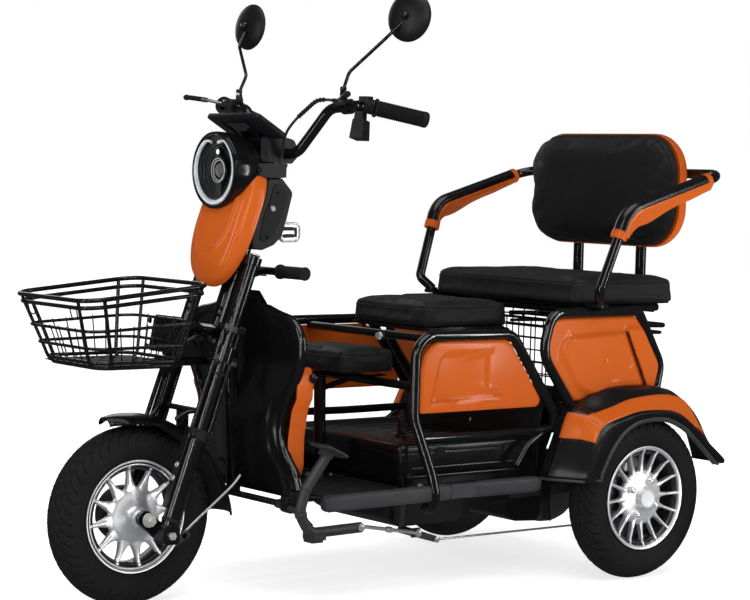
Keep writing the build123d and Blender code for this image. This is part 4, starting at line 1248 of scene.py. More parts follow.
def backrest():
    cz, w, h, r = 863.0, 474.0, 258.0, 88.0
    rows = []
    x_back, x_front = -193.5, -149.0
    prof = [(9.0, x_back), (3.0, x_back + 2), (0.8, x_back + 6), (0.0, x_back + 12), (0.6, x_front - 22), (2.6, x_front - 14), (6.6, x_front - 7),
            (12.0, x_front - 2.5), (20.0, x_front)]
    for i, x in prof:
        rows.append([V(x, y, z) for y, z in round_rect(w - 2 * i - 6, h - 2 * i - 6, r - i, 12, (0, cz))])
    v, f = [], []
    m = len(rows[0])
    for q in rows:
        v.extend(q)
    for a in range(len(rows) - 1):
        for b in range(m):
            f.append([a * m + b, a * m + (b + 1) % m, (a + 1) * m + (b + 1) % m, (a + 1) * m + b])
    f.append(list(range(m - 1, -1, -1)))
    f.append([(len(rows) - 1) * m + b for b in range(m)])
    o = mesh_object("cushion_backrest", v, f, "leather")
    puff(o, 7.0, 4.0, 11, lambda p: 1.0 if p[0] < x_back + 5 else 0.0)
    co = get_mm(o)
    for ax, (lo, hi) in ((1, (-237, 237)), (2, (cz - 129, cz + 129))):
        a, b = co[:, ax].min(), co[:, ax].max()
        co[:, ax] = lo + (co[:, ax] - a) * (hi - lo) / (b - a)
    top = co[:, 0].max()
    co[:, 0] = np.where(co[:, 0] > x_back, x_back + (co[:, 0] - x_back) * (-139.0 - x_back) / (top - x_back), co[:, 0])
    set_mm(o, co)
    ripple(o, 1.1, 70.0, lambda p: 1.0 if p[0] > x_back + 8 else 0.0)
    ripple(o, 0.4, 16.0, lambda p: 1.0 if -185 < p[0] < -155 else 0.0)
    ring = [V(-168.0, y, z) for y, z in round_rect(w + 6, h + 6, r + 3, 20, (0, cz))]
    dense = []
    for a, b in zip(ring, ring[1:] + ring[:1]):
        k = max(1, int((b - a).length / 3.0))
        dense += [a.lerp(b, j / k) for j in range(k)]
    seam = onto(o, dense)
    groove(o, [seam], 1.5, 2.3, 0.4)
    for p in o.data.polygons:
        p.use_smooth = True
    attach(o, "frame")
    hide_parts("backrest_cushion")
    g = Geo()
    g.tube(onto(o, seam, 0.2), 1.3, n=8, closed=True)
    # the welt takes the lighter vinyl copy: painted highlight along the seam
    g.obj("cushion_backrest_welt", "leather_side", "frame", slot="seat_cover", angle=60)

    # moulded shell behind it: a lip round the cushion, a rounded back and a pressed panel
    g = Geo()
    W, H, R = 486.0, 264.0, 92.0
    prof = [(6.5, -195.0), (4.0, -191.2), (1.4, -190.6), (0.0, -192.0), (0.0, -203.0), (1.4, -210.0), (5.0, -216.5), (11.0, -221.5), (19.0, -224.6), (30.0, -225.6),
            (44.0, -225.9), (47.0, -225.2), (50.0, -221.6), (54.0, -220.8), (76.0, -220.6), (78.5, -221.6), (80.0, -223.2), (84.0, -223.6)]
    rows = []
    for i, x in prof:
        rows.append([V(x, y, z) for y, z in round_rect(W - 2 * i, H - 2 * i, max(R - i, 10), 14, (0, cz))])
    g.grid(rows, close_v=True)
    m = len(rows[0])
    base = len(g.v) - m
    g.f.append([base + k for k in range(m)])
    g.m.append(0)
    front = len(g.v) - m * len(rows)
    g.f.append([front + k for k in range(m)])
    g.m.append(0)
    for y in (-150, -50, 50, 150):
        g.box((-224.2, y, cz), (2.4, 5, 66), None, 0, (1, 0.8))
    g.obj("shell_backrest", "orange", "frame", "backrest_shell", "orange_plastic", angle=30, bevel=0.5)
    b = Geo()
    for y in (-106, 106):
        for z in (800, 905):
            dome_bolt(b, (-225.6, y, z), (-1, 0, 0), 6.0, 3.0)
    b.obj("shell_backrest_screws", "bolt", "frame", slot="steel")


backrest()


# ------------------------------------------------------------------------------------------------ armrest pads
def armrest_pad(s):
    A = V(60, 327, 815)
    B = V(-238, 329, 904)
    L = V(121, 311, 640)
    d_ab = (B - A).normalized()
    d_low = (A - L).normalized()
    path = resample(rounded_path([A - d_low * 62, A, A + d_ab * 262], 62, 4.0), 4.2)
    n = len(path)
    cum = [0.0]
    for a, b in zip(path, path[1:]):
        cum.append(cum[-1] + (b - a).length)
    total = cum[-1]
    rows_b, rows_o = [], []
    for i, p in enumerate(path):
        t = (path[min(i + 1, n - 1)] - path[max(i - 1, 0)]).normalized()
        down = (V(0.15, 0, -1) - t * V(0.15, 0, -1).dot(t))
        side_v = t.cross(V(0, 0, 1))
        lat = V(0, 1, 0) - t * t.y
        lat.normalize()
        dn = t.cross(lat)
        if dn.z > 0:
            dn = -dn
        u = cum[i] / total
        fin = 9.0 + 13.0 * math.exp(-((u - 0.30) / 0.20) ** 2) - 4.5 * smooth01((u - 0.72) / 0.28) - 7.0 * smooth01((0.14 - u) / 0.14)
        # black upper sleeve: a little more than the top half
        rb = 16.6
        sec = []
        for k in range(17):
            a = math.radians(-18 + 216 * k / 16)
            sec.append((math.cos(a) * rb, -math.sin(a) * (rb + 0.6)))
        sec += [(-11.5, 4.4), (0, 13.0), (11.5, 4.4)]
        rows_b.append([p + lat * a + dn * b for a, b in sec])
        # orange lower channel with its fin on the outer side
        so = [(16.9, 1.0), (17.6, 3.2), (17.6, 9.0), (16.0, 13.0 + fin * 0.35), (13.5, 14.0 + fin * 0.8), (10.5, 15.5 + fin), (6.5, 16.4 + fin), (1.0, 15.6 + fin * 0.6),
              (-7.0, 15.6 + fin * 0.15), (-13.0, 12.6), (-16.6, 8.6), (-17.6, 3.2), (-16.9, 1.0), (-12, 3.0), (0, 11.5), (12, 3.0)]
        rows_o.append([p + lat * a + dn * b for a, b in so])

    def closed_rows(rows, mi, lo, hi):
        g = Geo()
        rr = rows[lo:hi]
        g.grid(rr, mi, close_v=True)
        m = len(rr[0])
        g.f.append([k for k in range(m)])
        g.f.append([(len(rr) - 1) * m + k for k in range(m - 1, -1, -1)])
        g.m.extend([mi, mi])
        return g

    gb = closed_rows(rows_b, 0, 3, n - 1)
    go = closed_rows(rows_o, 0, 2, n - 2)
    # end caps: collars that close over the tube
    for i0, i1, r in ((0, 4, 18.6), (n - 4, n - 1, 18.0)):
        a, b = path[i0], path[i1]
        ax = (b - a).normalized()
        h = (b - a).length
        go.lathe([(12.9, 0), (r - 1.2, 0), (r, 1.4), (r, h - 1.4), (r - 1.2, h), (12.9, h)], a, ax, n=40)
        go.lathe([(12.9, h + 0.3), (r - 0.6, h + 0.3), (r - 0.6, h + 1.8), (12.9, h + 1.8)] if i0 == 0 else
                 [(12.9, -1.8), (r - 0.6, -1.8), (r - 0.6, -0.3), (12.9, -0.3)], a, ax, n=40)
    if s < 0:
        gb, go = gb.mirrored(), go.mirrored()
    tag = "left" if s > 0 else "right"
    gb.obj("armrest_sleeve_" + tag, "black_plastic", "frame", "armrest_pads", "rubber", angle=40)
    go.obj("armrest_fin_" + tag, "orange", "frame", "armrest_pads", "orange_plastic", angle=34, bevel=0.4)


armrest_pad(1)
armrest_pad(-1)
# ------------------------------------------------------------------------------------------------ side panels
def relief_panel(name, node, outline, y_face, thick, height, step, material="orange", edge=5.0, sgn=1, fold=None):
    """A moulded side panel: a fine grid inside an outline, its relief given by height(x, z), closed at the back."""
    m = len(outline)
    xs = [p[0] for p in outline]
    zs = [p[1] for p in outline]
    x0, x1, z0, z1 = min(xs), max(xs), min(zs), max(zs)

    def inside(x, z):
        c = False
        j = m - 1
        for i in range(m):
            xi, zi = outline[i]
            xj, zj = outline[j]
            if (zi > z) != (zj > z) and x < (xj - xi) * (z - zi) / (zj - zi) + xi:
                c = not c
            j = i
        return c

    def edge_dist(x, z):
        best = 1e9
        for i in range(m):
            ax, az = outline[i]
            bx, bz = outline[(i + 1) % m]
            dx, dz = bx - ax, bz - az
            t = max(0.0, min(1.0, ((x - ax) * dx + (z - az) * dz) / max(1e-9, dx * dx + dz * dz)))
            best = min(best, math.hypot(x - ax - dx * t, z - az - dz * t))
        return best

    from mathutils.geometry import delaunay_2d_cdt
    pts = [Vector(p) for p in outline]
    st = step * 1.0
    nx, nz = int((x1 - x0) / st), int((z1 - z0) / st)
    for i in range(nx + 1):
        for k in range(nz + 1):
            x, z = x0 + (x1 - x0) * i / nx, z0 + (z1 - z0) * k / nz
            if inside(x, z) and edge_dist(x, z) > st * 0.6:
                pts.append(Vector((x, z)))
    v, e, f, _, _, _ = delaunay_2d_cdt(pts, [(i, (i + 1) % m) for i in range(m)], [], 1, 1e-4)
    g = Geo()
    front, back = [], []
    for q in v:
        d = edge_dist(q.x, q.y)
        r = 0.0
        if d < edge:
            r = -edge * 0.75 * (1 - math.sqrt(max(0.0, 1 - (1 - d / edge) ** 2)))
        front.append(V(q.x, sgn * (y_face + r + height(q.x, q.y)), q.y))
        back.append(V(q.x, sgn * (y_face - thick - edge * 0.2), q.y))
    g.add(front, [list(t) for t in f])
    # rim: down to the back plane, then a plain back
    rim = list(range(m))
    o = len(g.v)
    g.add([V(x, sgn * (y_face - thick), z) for x, z in outline], [])
    for i in range(m):
        g.f.append([rim[i], rim[(i + 1) % m], o + (i + 1) % m, o + i])
        g.m.append(0)
    g.f.append([o + i for i in range(m)])
    g.m.append(0)
    return g


def poly_dist(x, z, poly):
    """Signed distance to a closed outline, positive inside."""
    best = 1e9
    c = False
    m = len(poly)
    for i in range(m):
        ax, az = poly[i]
        bx, bz = poly[(i + 1) % m]
        dx, dz = bx - ax, bz - az
        t = max(0.0, min(1.0, ((x - ax) * dx + (z - az) * dz) / max(1e-9, dx * dx + dz * dz)))
        best = min(best, math.hypot(x - ax - dx * t, z - az - dz * t))
        if (az > z) != (bz > z) and x < (bx - ax) * (z - az) / (bz - az) + ax:
            c = not c
    return best if c else -best


def seg_dist(x, z, a, b):
    dx, dz = b[0] - a[0], b[1] - a[1]
    t = max(0.0, min(1.0, ((x - a[0]) * dx + (z - a[1]) * dz) / max(1e-9, dx * dx + dz * dz)))
    return math.hypot(x - a[0] - dx * t, z - a[1] - dz * t), t


def front_panels():
    # outline set inside the hoop
    out = round_poly([(573, 388), (573, 480), (562, 515), (535, 537), (336, 537), (322, 529), (219, 388)], [10, 40, 34, 30, 16, 14, 14], 6)
    sunk = round_poly([(546, 407), (521, 500), (506, 513), (388, 515), (388, 434), (346, 422), (352, 416)], [6, 14, 12, 6, 8, 6, 4], 5)

    def h(x, z):
        d = poly_dist(x, z, sunk)
        r = -7.5 * smooth01((d + 1.0) / 5.5) * (0.62 + 0.38 * smooth01((x - 380) / 120.0))
        # the flat rear half leans in towards the back
        if x < 388:
            r -= 1.6 * smooth01((388 - x) / 160.0)
        # two raised slanting creases
        for a, b in (((458, 497), (384, 515)), ((424, 444), (350, 424))):
            dd, t = seg_dist(x, z, a, b)
            r += 3.4 * math.exp(-(dd / 4.4) ** 2) * smooth01(t * 1.6 + 0.1)
        # soft crown over the whole panel
        r += 1.6 * math.sin(math.pi * max(0.0, min(1.0, (z - 388) / 150.0)))
        return r

    for s, tag in ((1, "left"), (-1, "right")):
        g = relief_panel("p", "", out, 254.5, 8.5, h, 5.0, edge=4.5, sgn=s)
        g.obj("panel_front_" + tag, "orange", "frame", "front_side_panels", "orange_plastic", angle=48)
        b = Geo()
        for x, z in ((560, 402), (300, 402), (540, 526), (340, 526)):
            dome_bolt(b, (x, s * 245.4, z), (0, -s, 0), 4.5, 2.4)
        b.obj("panel_front_clips_" + tag, "black_satin", "frame", slot="black_plastic")


def rear_panels():
    out = round_poly([(150, 398), (238, 503), (217, 581), (-33, 581), (-105, 470), (-84, 392)], [16, 30, 34, 14, 26, 12], 6)
    box_ = round_poly([(203, 504), (190, 534), (164, 546), (3, 552), (-70, 406), (100, 404), (150, 424)], [16, 12, 14, 3, 3, 18, 26], 5)
    slot_ = round_poly([(68, 492), (-4, 494), (-16, 470), (62, 468)], 4, 3)

    def h(x, z):
        d = poly_dist(x, z, box_)
        r = 9.6 * smooth01((d + 0.5) / 13.0)
        # groove line between the raised box and the plain rear strip; its dark look is painted shade, a black strip
        # laid along it below
        dd, t = seg_dist(x, z, (-2, 548), (-74, 406))
        # small pressed rectangle and a lower crease
        ds = poly_dist(x, z, slot_)
        r -= 1.5 * math.exp(-(ds / 2.4) ** 2) + 0.8 * smooth01(ds / 4.0)
        dd, t = seg_dist(x, z, (52, 438), (-44, 440))
        r += 2.0 * math.exp(-(dd / 3.4) ** 2) * smooth01(t * 3)
        dd, t = seg_dist(x, z, (168, 546), (196, 492))
        r += 1.0 * math.exp(-(dd / 6.0) ** 2)
        # behind the groove the plain strip stands level with the box
        side = (x + 2) * (-142.0) - (z - 548) * (-72.0)
        if side > 0 and x < 40:
            r = 7.6 * smooth01((dd - 1.0) / 4.0) * smooth01((562 - z) / 14.0) * smooth01((z - 394) / 12.0)
        return r

    for s, tag in ((1, "left"), (-1, "right")):
        g = relief_panel("p", "", out, 273.4, 10.0, h, 4.2, edge=4.5, sgn=s)
        g.obj("panel_rear_" + tag, "orange", "frame", "rear_side_panels", "orange_plastic", angle=48)
        k = Geo()
        # painted shade: a black strip laid along the groove where it lies in shadow
        k.tube([(0, s * 279.2, 547), (-73, s * 279.2, 404)], 2.8, n=8, squash=(2.9, 1.5, (0, 1, 0)))
        k.obj("panel_rear_groove_" + tag, "black_satin", "frame", slot="black_plastic", angle=40)
        b = Geo()
        for x, z in ((196, 566), (-20, 566), (-80, 410), (140, 404)):
            dome_bolt(b, (x, s * 264.6, z), (0, -s, 0), 4.5, 2.4)
        b.obj("panel_rear_clips_" + tag, "black_satin", "frame", slot="black_plastic")


front_panels()
rear_panels()


# ------------------------------------------------------------------------------------------------ rear fenders
FA = [(234, 229.8), (234, 250), (205, 316), (181, 372), (150, 392), (92, 417), (40, 427), (-44, 427.5), (-100, 420), (-150, 402), (-200, 345), (-238, 262), (-240, 247)]
FB = [(212, 229.8), (212, 250), (183, 316), (161, 368), (128, 378), (85, 388), (30, 402), (-44, 408), (-100, 405), (-146, 388), (-196, 338), (-237, 262), (-239, 247)]
FC = [(196, 229.8), (196, 250), (166, 312), (146, 350), (118, 362), (80, 371), (30, 380), (-35, 380), (-85, 373), (-128, 352), (-178, 312), (-236, 262), (-239, 247)]
FD = [(189, 229.8), (189, 250), (160, 306), (141, 338), (114, 354), (76, 364), (28, 374), (-35, 375), (-84, 368), (-126, 345), (-176, 305), (-235, 260), (-239, 247)]
ARCH = [(146, 229.8), (145, 243), (138, 257), (115, 296), (79, 334), (30, 356), (-46, 358), (-106, 336), (-150, 303), (-196, 264), (-212, 250), (-222, 247)]


def dens(line, n):
    """n points along a corner line, corners softened a little, spread evenly between the same corners."""
    pts = catmull([(x, 0, z) for x, z in line], 10)
    seg = []
    k = len(line) - 1
    per = [int(round(n * w)) for w in (0.03, 0.09, 0.10, 0.08, 0.11, 0.10, 0.15, 0.10, 0.08, 0.11, 0.05)]
    out = []
    for i in range(k):
        w = max(2, int(round(n / k)))
        for j in range(w):
            q = pts[min(len(pts) - 1, int(round((i + j / w) * 10)))]
            t = (i + j / w) * 10
            a = int(t)
            fr = t - a
            q = pts[a].lerp(pts[min(a + 1, len(pts) - 1)], fr)
            out.append((q.x, q.z))
    out.append(line[-1])
    return out


def lerp2(a, b, t):
    return [(p[0] + (q[0] - p[0]) * t, p[1] + (q[1] - p[1]) * t) for p, q in zip(a, b)]


def fender(s):
    n = 120
    A, B, C, D = (dens(l, n) for l in (FA, FB, FC, FD))
    # stations across the width: y, outline
    st = [(262.0, A), (276.0, A), (286.0, A), (290.0, lerp2(A, B, 0.02)), (294.0, lerp2(A, B, 0.10)), (306.0, lerp2(A, B, 0.44)), (318.0, lerp2(A, B, 0.80)), (325.0, B),
          (332.0, lerp2(B, C, 0.26)), (340.0, lerp2(B, C, 0.56)), (348.0, lerp2(B, C, 0.86)), (352.0, C), (356.0, lerp2(C, D, 0.33)), (360.0, lerp2(C, D, 0.72)),
          (362.6, lerp2(C, D, 0.93)), (363.6, D)]
    m = len(A)
    g = Geo()
    rows = []
    for y, o in st:
        rows.append([V(x, s * y, z) for x, z in o])
    # outer edge turns under the arch
    arch = dens_arch(m, D)
    for y, k in ((363.8, 0.06), (363.0, 0.5), (361.4, 0.9), (359.0, 1.0), (357.0, 1.0)):
        rows.append([V(d[0] + (a[0] - d[0]) * k, s * y, d[1] + (a[1] - d[1]) * k) for d, a in zip(D, arch)])
    g.grid(rows)
    return rows


def dens_arch(m, D):
    """The arch line matched point by point to the outer outline, by angle about the wheel centre."""
    pts = catmull([(x, 0, z) for x, z in ARCH], 8)
    line = resample(pts, 4.0)
    out = []
    for x, z in D:
        a = math.atan2(z - 190.0, x + 30.0)
        best = min(line, key=lambda q: abs(math.atan2(q.z - 190.0, q.x + 30.0) - a))
        out.append((best.x, best.z))
    # even out the ends so that no two points cross
    out[0] = (ARCH[0][0], ARCH[0][1])
    out[-1] = (ARCH[-1][0], ARCH[-1][1])
    sm = [V(x, 0, z) for x, z in out]
    for _ in range(3):
        sm = [sm[0]] + [(sm[i - 1] + sm[i] * 2 + sm[i + 1]) / 4 for i in range(1, len(sm) - 1)] + [sm[-1]]
    return [(q.x, q.z) for q in sm]


def fender_piece(s, tag):
    rows = fender(s)
    ny, m = len(rows), len(rows[0])
    pos = np.array([[tuple(p) for p in r] for r in rows])
    # outer skin through the rows
    g = Geo()
    verts, faces, mi = [], [], []
    for r in rows:
        verts.extend(r)
    for i in range(ny - 1):
        for j in range(m - 1):
            faces.append([i * m + j, i * m + j + 1, (i + 1) * m + j + 1, (i + 1) * m + j])
    g.add(verts, faces)
    # underside, set in by the wall thickness
    c = V(-10, s * 300, 190)
    under = []
    for i, r in enumerate(rows):
        q = []
        for j, p in enumerate(r):
            a, b = r[max(0, j - 1)], r[min(m - 1, j + 1)]
            t = (b - a).normalized()
            if 0 < i < ny - 1:
                w = (rows[i + 1][j] - rows[i - 1][j])
            elif i == 0:
                w = rows[1][j] - rows[0][j]
            else:
                w = rows[-1][j] - rows[-2][j]
            nrm = t.cross(w)
            if nrm.length < 1e-6:
                nrm = V(0, s, 0)
            nrm.normalize()
            if nrm.dot(p - c) < 0:
                nrm = -nrm
            if i >= ny - 4:
                nrm = V(0, s, 0)
            q.append(p - nrm * 2.6)
        under.append(q)
    o = len(g.v)
    uv = []
    for r in under:
        uv.extend(r)
    uf = []
    for i in range(ny - 1):
        for j in range(m - 1):
            uf.append([i * m + j, (i + 1) * m + j, (i + 1) * m + j + 1, i * m + j + 1])
    g.add(uv, uf, 1)
    # close the four edges
    for i in range(ny - 1):
        for j in (0, m - 1):
            g.f.append([i * m + j, (i + 1) * m + j, o + (i + 1) * m + j, o + i * m + j])
            g.m.append(0)
    for j in range(m - 1):
        for i in (0, ny - 1):
            g.f.append([i * m + j, i * m + j + 1, o + i * m + j + 1, o + i * m + j])
            g.m.append(0)
    g.obj("fender_rear_" + tag, ["black_plastic", "black_matt"], "frame", "rear_fenders", "black_plastic", angle=28)

    # orange band laid over the shell, 1.5 mm proud, with rolled edges
    def at(j, yq):
        ys = [abs(rows[i][j].y) for i in range(13)]
        for i in range(12):
            if ys[i] <= yq <= ys[i + 1]:
                w = (yq - ys[i]) / max(1e-9, ys[i + 1] - ys[i])
                return rows[i][j].lerp(rows[i + 1][j], w)
        return rows[12][j]

    gb = Geo()
    centre = V(-10, s * 300, 190)

    def strip(j_from, j_to, y_of, nb):
        secs = []
        for j in range(j_from, j_to + 1):
            ty, ly = y_of(j)
            sec = []
            for q in range(nb + 1):
                w = q / nb
                y = ty + (ly - ty) * w
                p = at(j, y)
                a, b = at(max(0, j - 1), y), at(min(m - 1, j + 1), y)
                t = (b - a).normalized()
                cr = at(j, min(y + 1, 363.5)) - at(j, max(y - 1, 262.1))
                nrm = t.cross(cr)
                nrm = nrm.normalized() if nrm.length > 1e-6 else V(0, s, 0)
                if nrm.dot(p - centre) < 0:
                    nrm = -nrm
                e = min(w, 1 - w) * nb
                bulge = 0.4 + 2.0 * smooth01(e / 1.6)
                sec.append(p + nrm * bulge)
            secs.append(sec)
        o1 = len(gb.v)
        gb.grid(secs)
        o2 = len(gb.v)
        gb.grid([[p + (centre - p).normalized() * 3.0 for p in sec] for sec in secs], flip=True)
        nn, mm = len(secs), nb + 1
        for i2 in range(nn - 1):
            for q in (0, mm - 1):
                gb.f.append([o1 + i2 * mm + q, o1 + (i2 + 1) * mm + q, o2 + (i2 + 1) * mm + q, o2 + i2 * mm + q])
                gb.m.append(0)
        for q in range(mm - 1):
            for i2 in (0, nn - 1):
                gb.f.append([o1 + i2 * mm + q, o1 + i2 * mm + q + 1, o2 + i2 * mm + q + 1, o2 + i2 * mm + q])
                gb.m.append(0)

    bz = [(o_[0], o_[1]) for o_ in dens(FB, 120)]
    front = [j for j in range(m) if bz[j][0] > 150]
    jl = min(j for j in front if bz[j][1] > 316)
    jh = max(j for j in front if bz[j][1] < 371)
    strip(jl, jh, lambda j: (283.0, 356.5), 24)
    end = max(j for j in range(m) if bz[j][1] > 330 and bz[j][0] < 0)

    def yband(j):
        k = smooth01((end - j + 1) / 10.0)
        back = smooth01((-140 - bz[j][0]) / 70.0)
        ty, ly = 325.0 + 9.0 * back, 356.5 - 5.0 * back
        mid = (ty + ly) / 2
        return mid + (ty - mid) * k, mid + (ly - mid) * k

    strip(jh - 2, end, yband, 14)
    gb.obj("fender_band_" + tag, "orange", "frame", "rear_fenders", "orange_plastic", angle=40)

    # rolled bead round the arch
    gr = Geo()
    line = resample(catmull([(x, s * 359.9, z) for x, z in ARCH], 8), 4.0)
    gr.tube(line, 3.9, n=14)
    inner = [V(p.x - (p.x + 30) * 0.022, s * 358.0, p.z - (p.z - 190) * 0.022) for p in line]
    gr.tube(inner[2:-2], 3.4, n=10)
    gr.tube(resample(rounded_path([(236, s * 262, 232.5), (234, s * 290, 232.5), (213, s * 325, 232.5), (197, s * 351, 232.5), (188, s * 359, 233), (150, s * 360.0, 233)], [20, 20, 12, 6], 3.0), 4.0), 3.2, n=10)
    gr.obj("fender_bead_" + tag, "strip", "frame", slot="black_plastic", angle=60)
    gs = Geo()
    for x, z in ((-60, 392), (60, 392)):
        hex_bolt(gs, (x, s * 261.6, z), (0, -s, 0), 4.6, 3.6)
    gs.obj("fender_bolts_" + tag, "bolt", "frame", slot="steel")


fender_piece(1, "left")
fender_piece(-1, "right")
# ------------------------------------------------------------------------------------------------ baskets
def front_basket():
    z0, z1 = 499.0, 646.0

    def size(z):
        t = (z - 497.0) / 151.0
        return 214 + 84 * t, 232 + 80 * t, 1162 + 8 * t, 30 + 6 * t

    def lean(p):
        # the basket leans a little forward: its rim drops towards the front
        k = smooth01((p[2] - 500.0) / 146.0) if p[2] < 646 else 1.0
        return V(p[0], p[1], p[2] - k * (30.0 * (p[0] - 1021.0) / 298.0 - 13.0))

    def ring(z, grow=0.0, rr=14):
        w, d, cx, r = size(z)
        return [lean((x, y, z)) for x, y in round_rect(w + 2 * grow, d + 2 * grow, r + grow + rr, 10, (cx, 0))]

    g = Geo()
    g.tube(ring(644.6, -4.6), 4.7, n=12, closed=True)
    g.tube(ring(629.0, -4.4), 4.3, n=12, closed=True)
    g.tube(ring(575.0, -3.0, 10), 3.3, n=10, closed=True)
    g.tube(ring(535.0, -3.0, 10), 3.3, n=10, closed=True)
    g.tube(ring(504.0, -7.0), 3.8, n=10, closed=True)
    g.tube(ring(494.4, -14.0), 4.8, n=12, closed=True)

    def u_wire(axis, k, r, top=645.0, bow=0.0):
        """One wire down a side, across the floor and up the other side, at offset k of the half size."""
        wt, dt, ct, _ = size(top)
        wb, db, cb, _ = size(500.0)
        if axis == "y":
            xt, xb = ct + k * (wt / 2 - 5), cb + k * (wb / 2 - 12)
            pts = [(xt, dt / 2 - 5.5, top), (xb, db / 2 - 6, 494), (xb, -db / 2 + 6, 494), (xt, -dt / 2 + 5.5, top)]
        else:
            yt, yb = k * (dt / 2 - 5), k * (db / 2 - 12)
            pts = [(ct + wt / 2 - 5.5, yt, top), (cb + wb / 2 - 6, yb, 494), (cb - wb / 2 + 6, yb, 494), (ct - wt / 2 + 5.5, yt, top)]
        g.tube([lean(q) for q in resample(rounded_path(pts, 24, 4.0), 6.0)], r, n=8)

    for k in (-0.74, 0.74):
        u_wire("y", k, 4.0, top=640.0)
        u_wire("x", k, 3.6, top=640.0)
    for k in (-0.5, -0.25, 0.0, 0.25, 0.5):
        u_wire("y", k, 1.4, top=580.0)
        u_wire("x", k, 1.4, top=580.0)
    # floor wires
    wb, db, cb, _ = size(500.0)
    for k in range(-9, 10):
        y = k * 11.0
        g.tube([(cb - wb / 2 + 8, y, 497.0), (cb + wb / 2 - 8, y, 497.0)], 1.3, n=6)
    for k in range(-4, 5):
        x = cb + k * 22.0
        g.tube([(x, -db / 2 + 10, 494.8), (x, db / 2 - 10, 494.8)], 1.5, n=6)
    # looped hook wire at the front near corner
    g.tube(rounded_path([(1307, 96, 614), (1301, 94, 590), (1301, 72, 590), (1307, 70, 614)], 8, 3.0), 1.4, n=8)
    g.tube(rounded_path([(1307, -70, 614), (1301, -72, 590), (1301, -94, 590), (1307, -96, 614)], 8, 3.0), 1.4, n=8)
    g.obj("basket_front_wires", "wire", "steering", "front_basket", "black_frame", angle=60)
    # plate at the back, with its slots, and the stays to the fork
    b = Geo()
    wt, dt, ct, _ = size(585.0)
    w2, d2, c2, _ = size(515.0)
    top, bot = V(ct - wt / 2 - 3, 0, 586), V(c2 - w2 / 2 - 3, 0, 512)
    ez = (top - bot).normalized()
    ex = V(0, 1, 0)
    nrm = ez.cross(ex)
    h = (top - bot).length
    b.prism(round_rect(112, h, 8, 5, (0, h / 2)), bot, ex, ez, nrm, 2.6)
    for y in (-34, 34):
        b.prism(round_rect(18, h * 0.72, 6, 4, (y, h / 2)), bot - nrm * 2.4, ex, ez, nrm, 2.0)
    b.prism(round_rect(30, h * 0.5, 6, 4, (0, h / 2)), bot - nrm * 2.4, ex, ez, nrm, 2.0)
    o = b.obj("basket_back_plate", "black_satin", "steering", slot="black_frame", bevel=0.6)
    s = Geo()
    for y in (-1, 1):
        s.tube([(1040, y * 46, 574), (1000, y * 40, 566), (938, y * 31, 548)], 3.6, n=10)
        s.tube([(1046, y * 46, 520), (1008, y * 52, 545), (938, y * 31, 556)], 3.0, n=10)
        hex_bolt(s, (1049, y * 46, 574), (1, 0, 0.1), 4.4, 3.4)
        hex_bolt(s, (1055, y * 46, 520), (1, 0, 0.1), 4.4, 3.4)
    s.box((934, 0, 552), (12, 86, 26), Matrix.Rotation(RAKE, 3, "Y"))
    s.obj("basket_stays", "black_gloss", "steering", slot="black_frame", angle=45, bevel=0.5)


def cargo_basket():
    g = Geo()

    def ring(z, r, grow=0.0):
        g.tube([V(x, y, z) for x, y in round_rect(236 + 2 * grow, 460 + 2 * grow, 14, 4, (30, 0))], r, n=8, closed=True)

    ring(570.5, 3.2)
    ring(556.0, 2.0)
    for z in (528, 500, 472, 444, 416):
        ring(z, 1.7)
    ring(388.5, 2.6)
    for i in range(6):
        x = -70 + i * 40
        g.tube(rounded_path([(x, 231, 571), (x, 231, 388), (x, -231, 388), (x, -231, 571)], 8, 4), 1.7, n=6)
    for i in range(11):
        y = -205 + i * 41
        g.tube(rounded_path([(149, y, 571), (149, y, 387.5), (-89, y, 387.5), (-89, y, 571)], 8, 4), 1.7, n=6)
    for i in range(10):
        y = -205 + i * 41 + 20.5
        g.tube([(-86, y, 389.5), (146, y, 389.5)], 1.4, n=6)
    g.tube(rounded_path([(-88, 215, 556), (-192, 215, 553), (-192, -215, 553), (-88, -215, 556)], 24, 4), 5.6, n=16)
    g.tube(rounded_path([(-88, 211, 538), (-188, 211, 536), (-188, -211, 536), (-88, -211, 538)], 24, 4), 3.8, n=12)
    for s in (-1, 1):
        g.tube([(-189, s * 150, 537), (-192, s * 150, 552)], 3.2, n=10)
        g.tube([(-130, s * 212, 538), (-130, s * 215, 554)], 3.2, n=10)
    g.obj("basket_cargo_wires", "wire", "frame", "cargo_basket", "black_frame", angle=60)


front_basket()
cargo_basket()


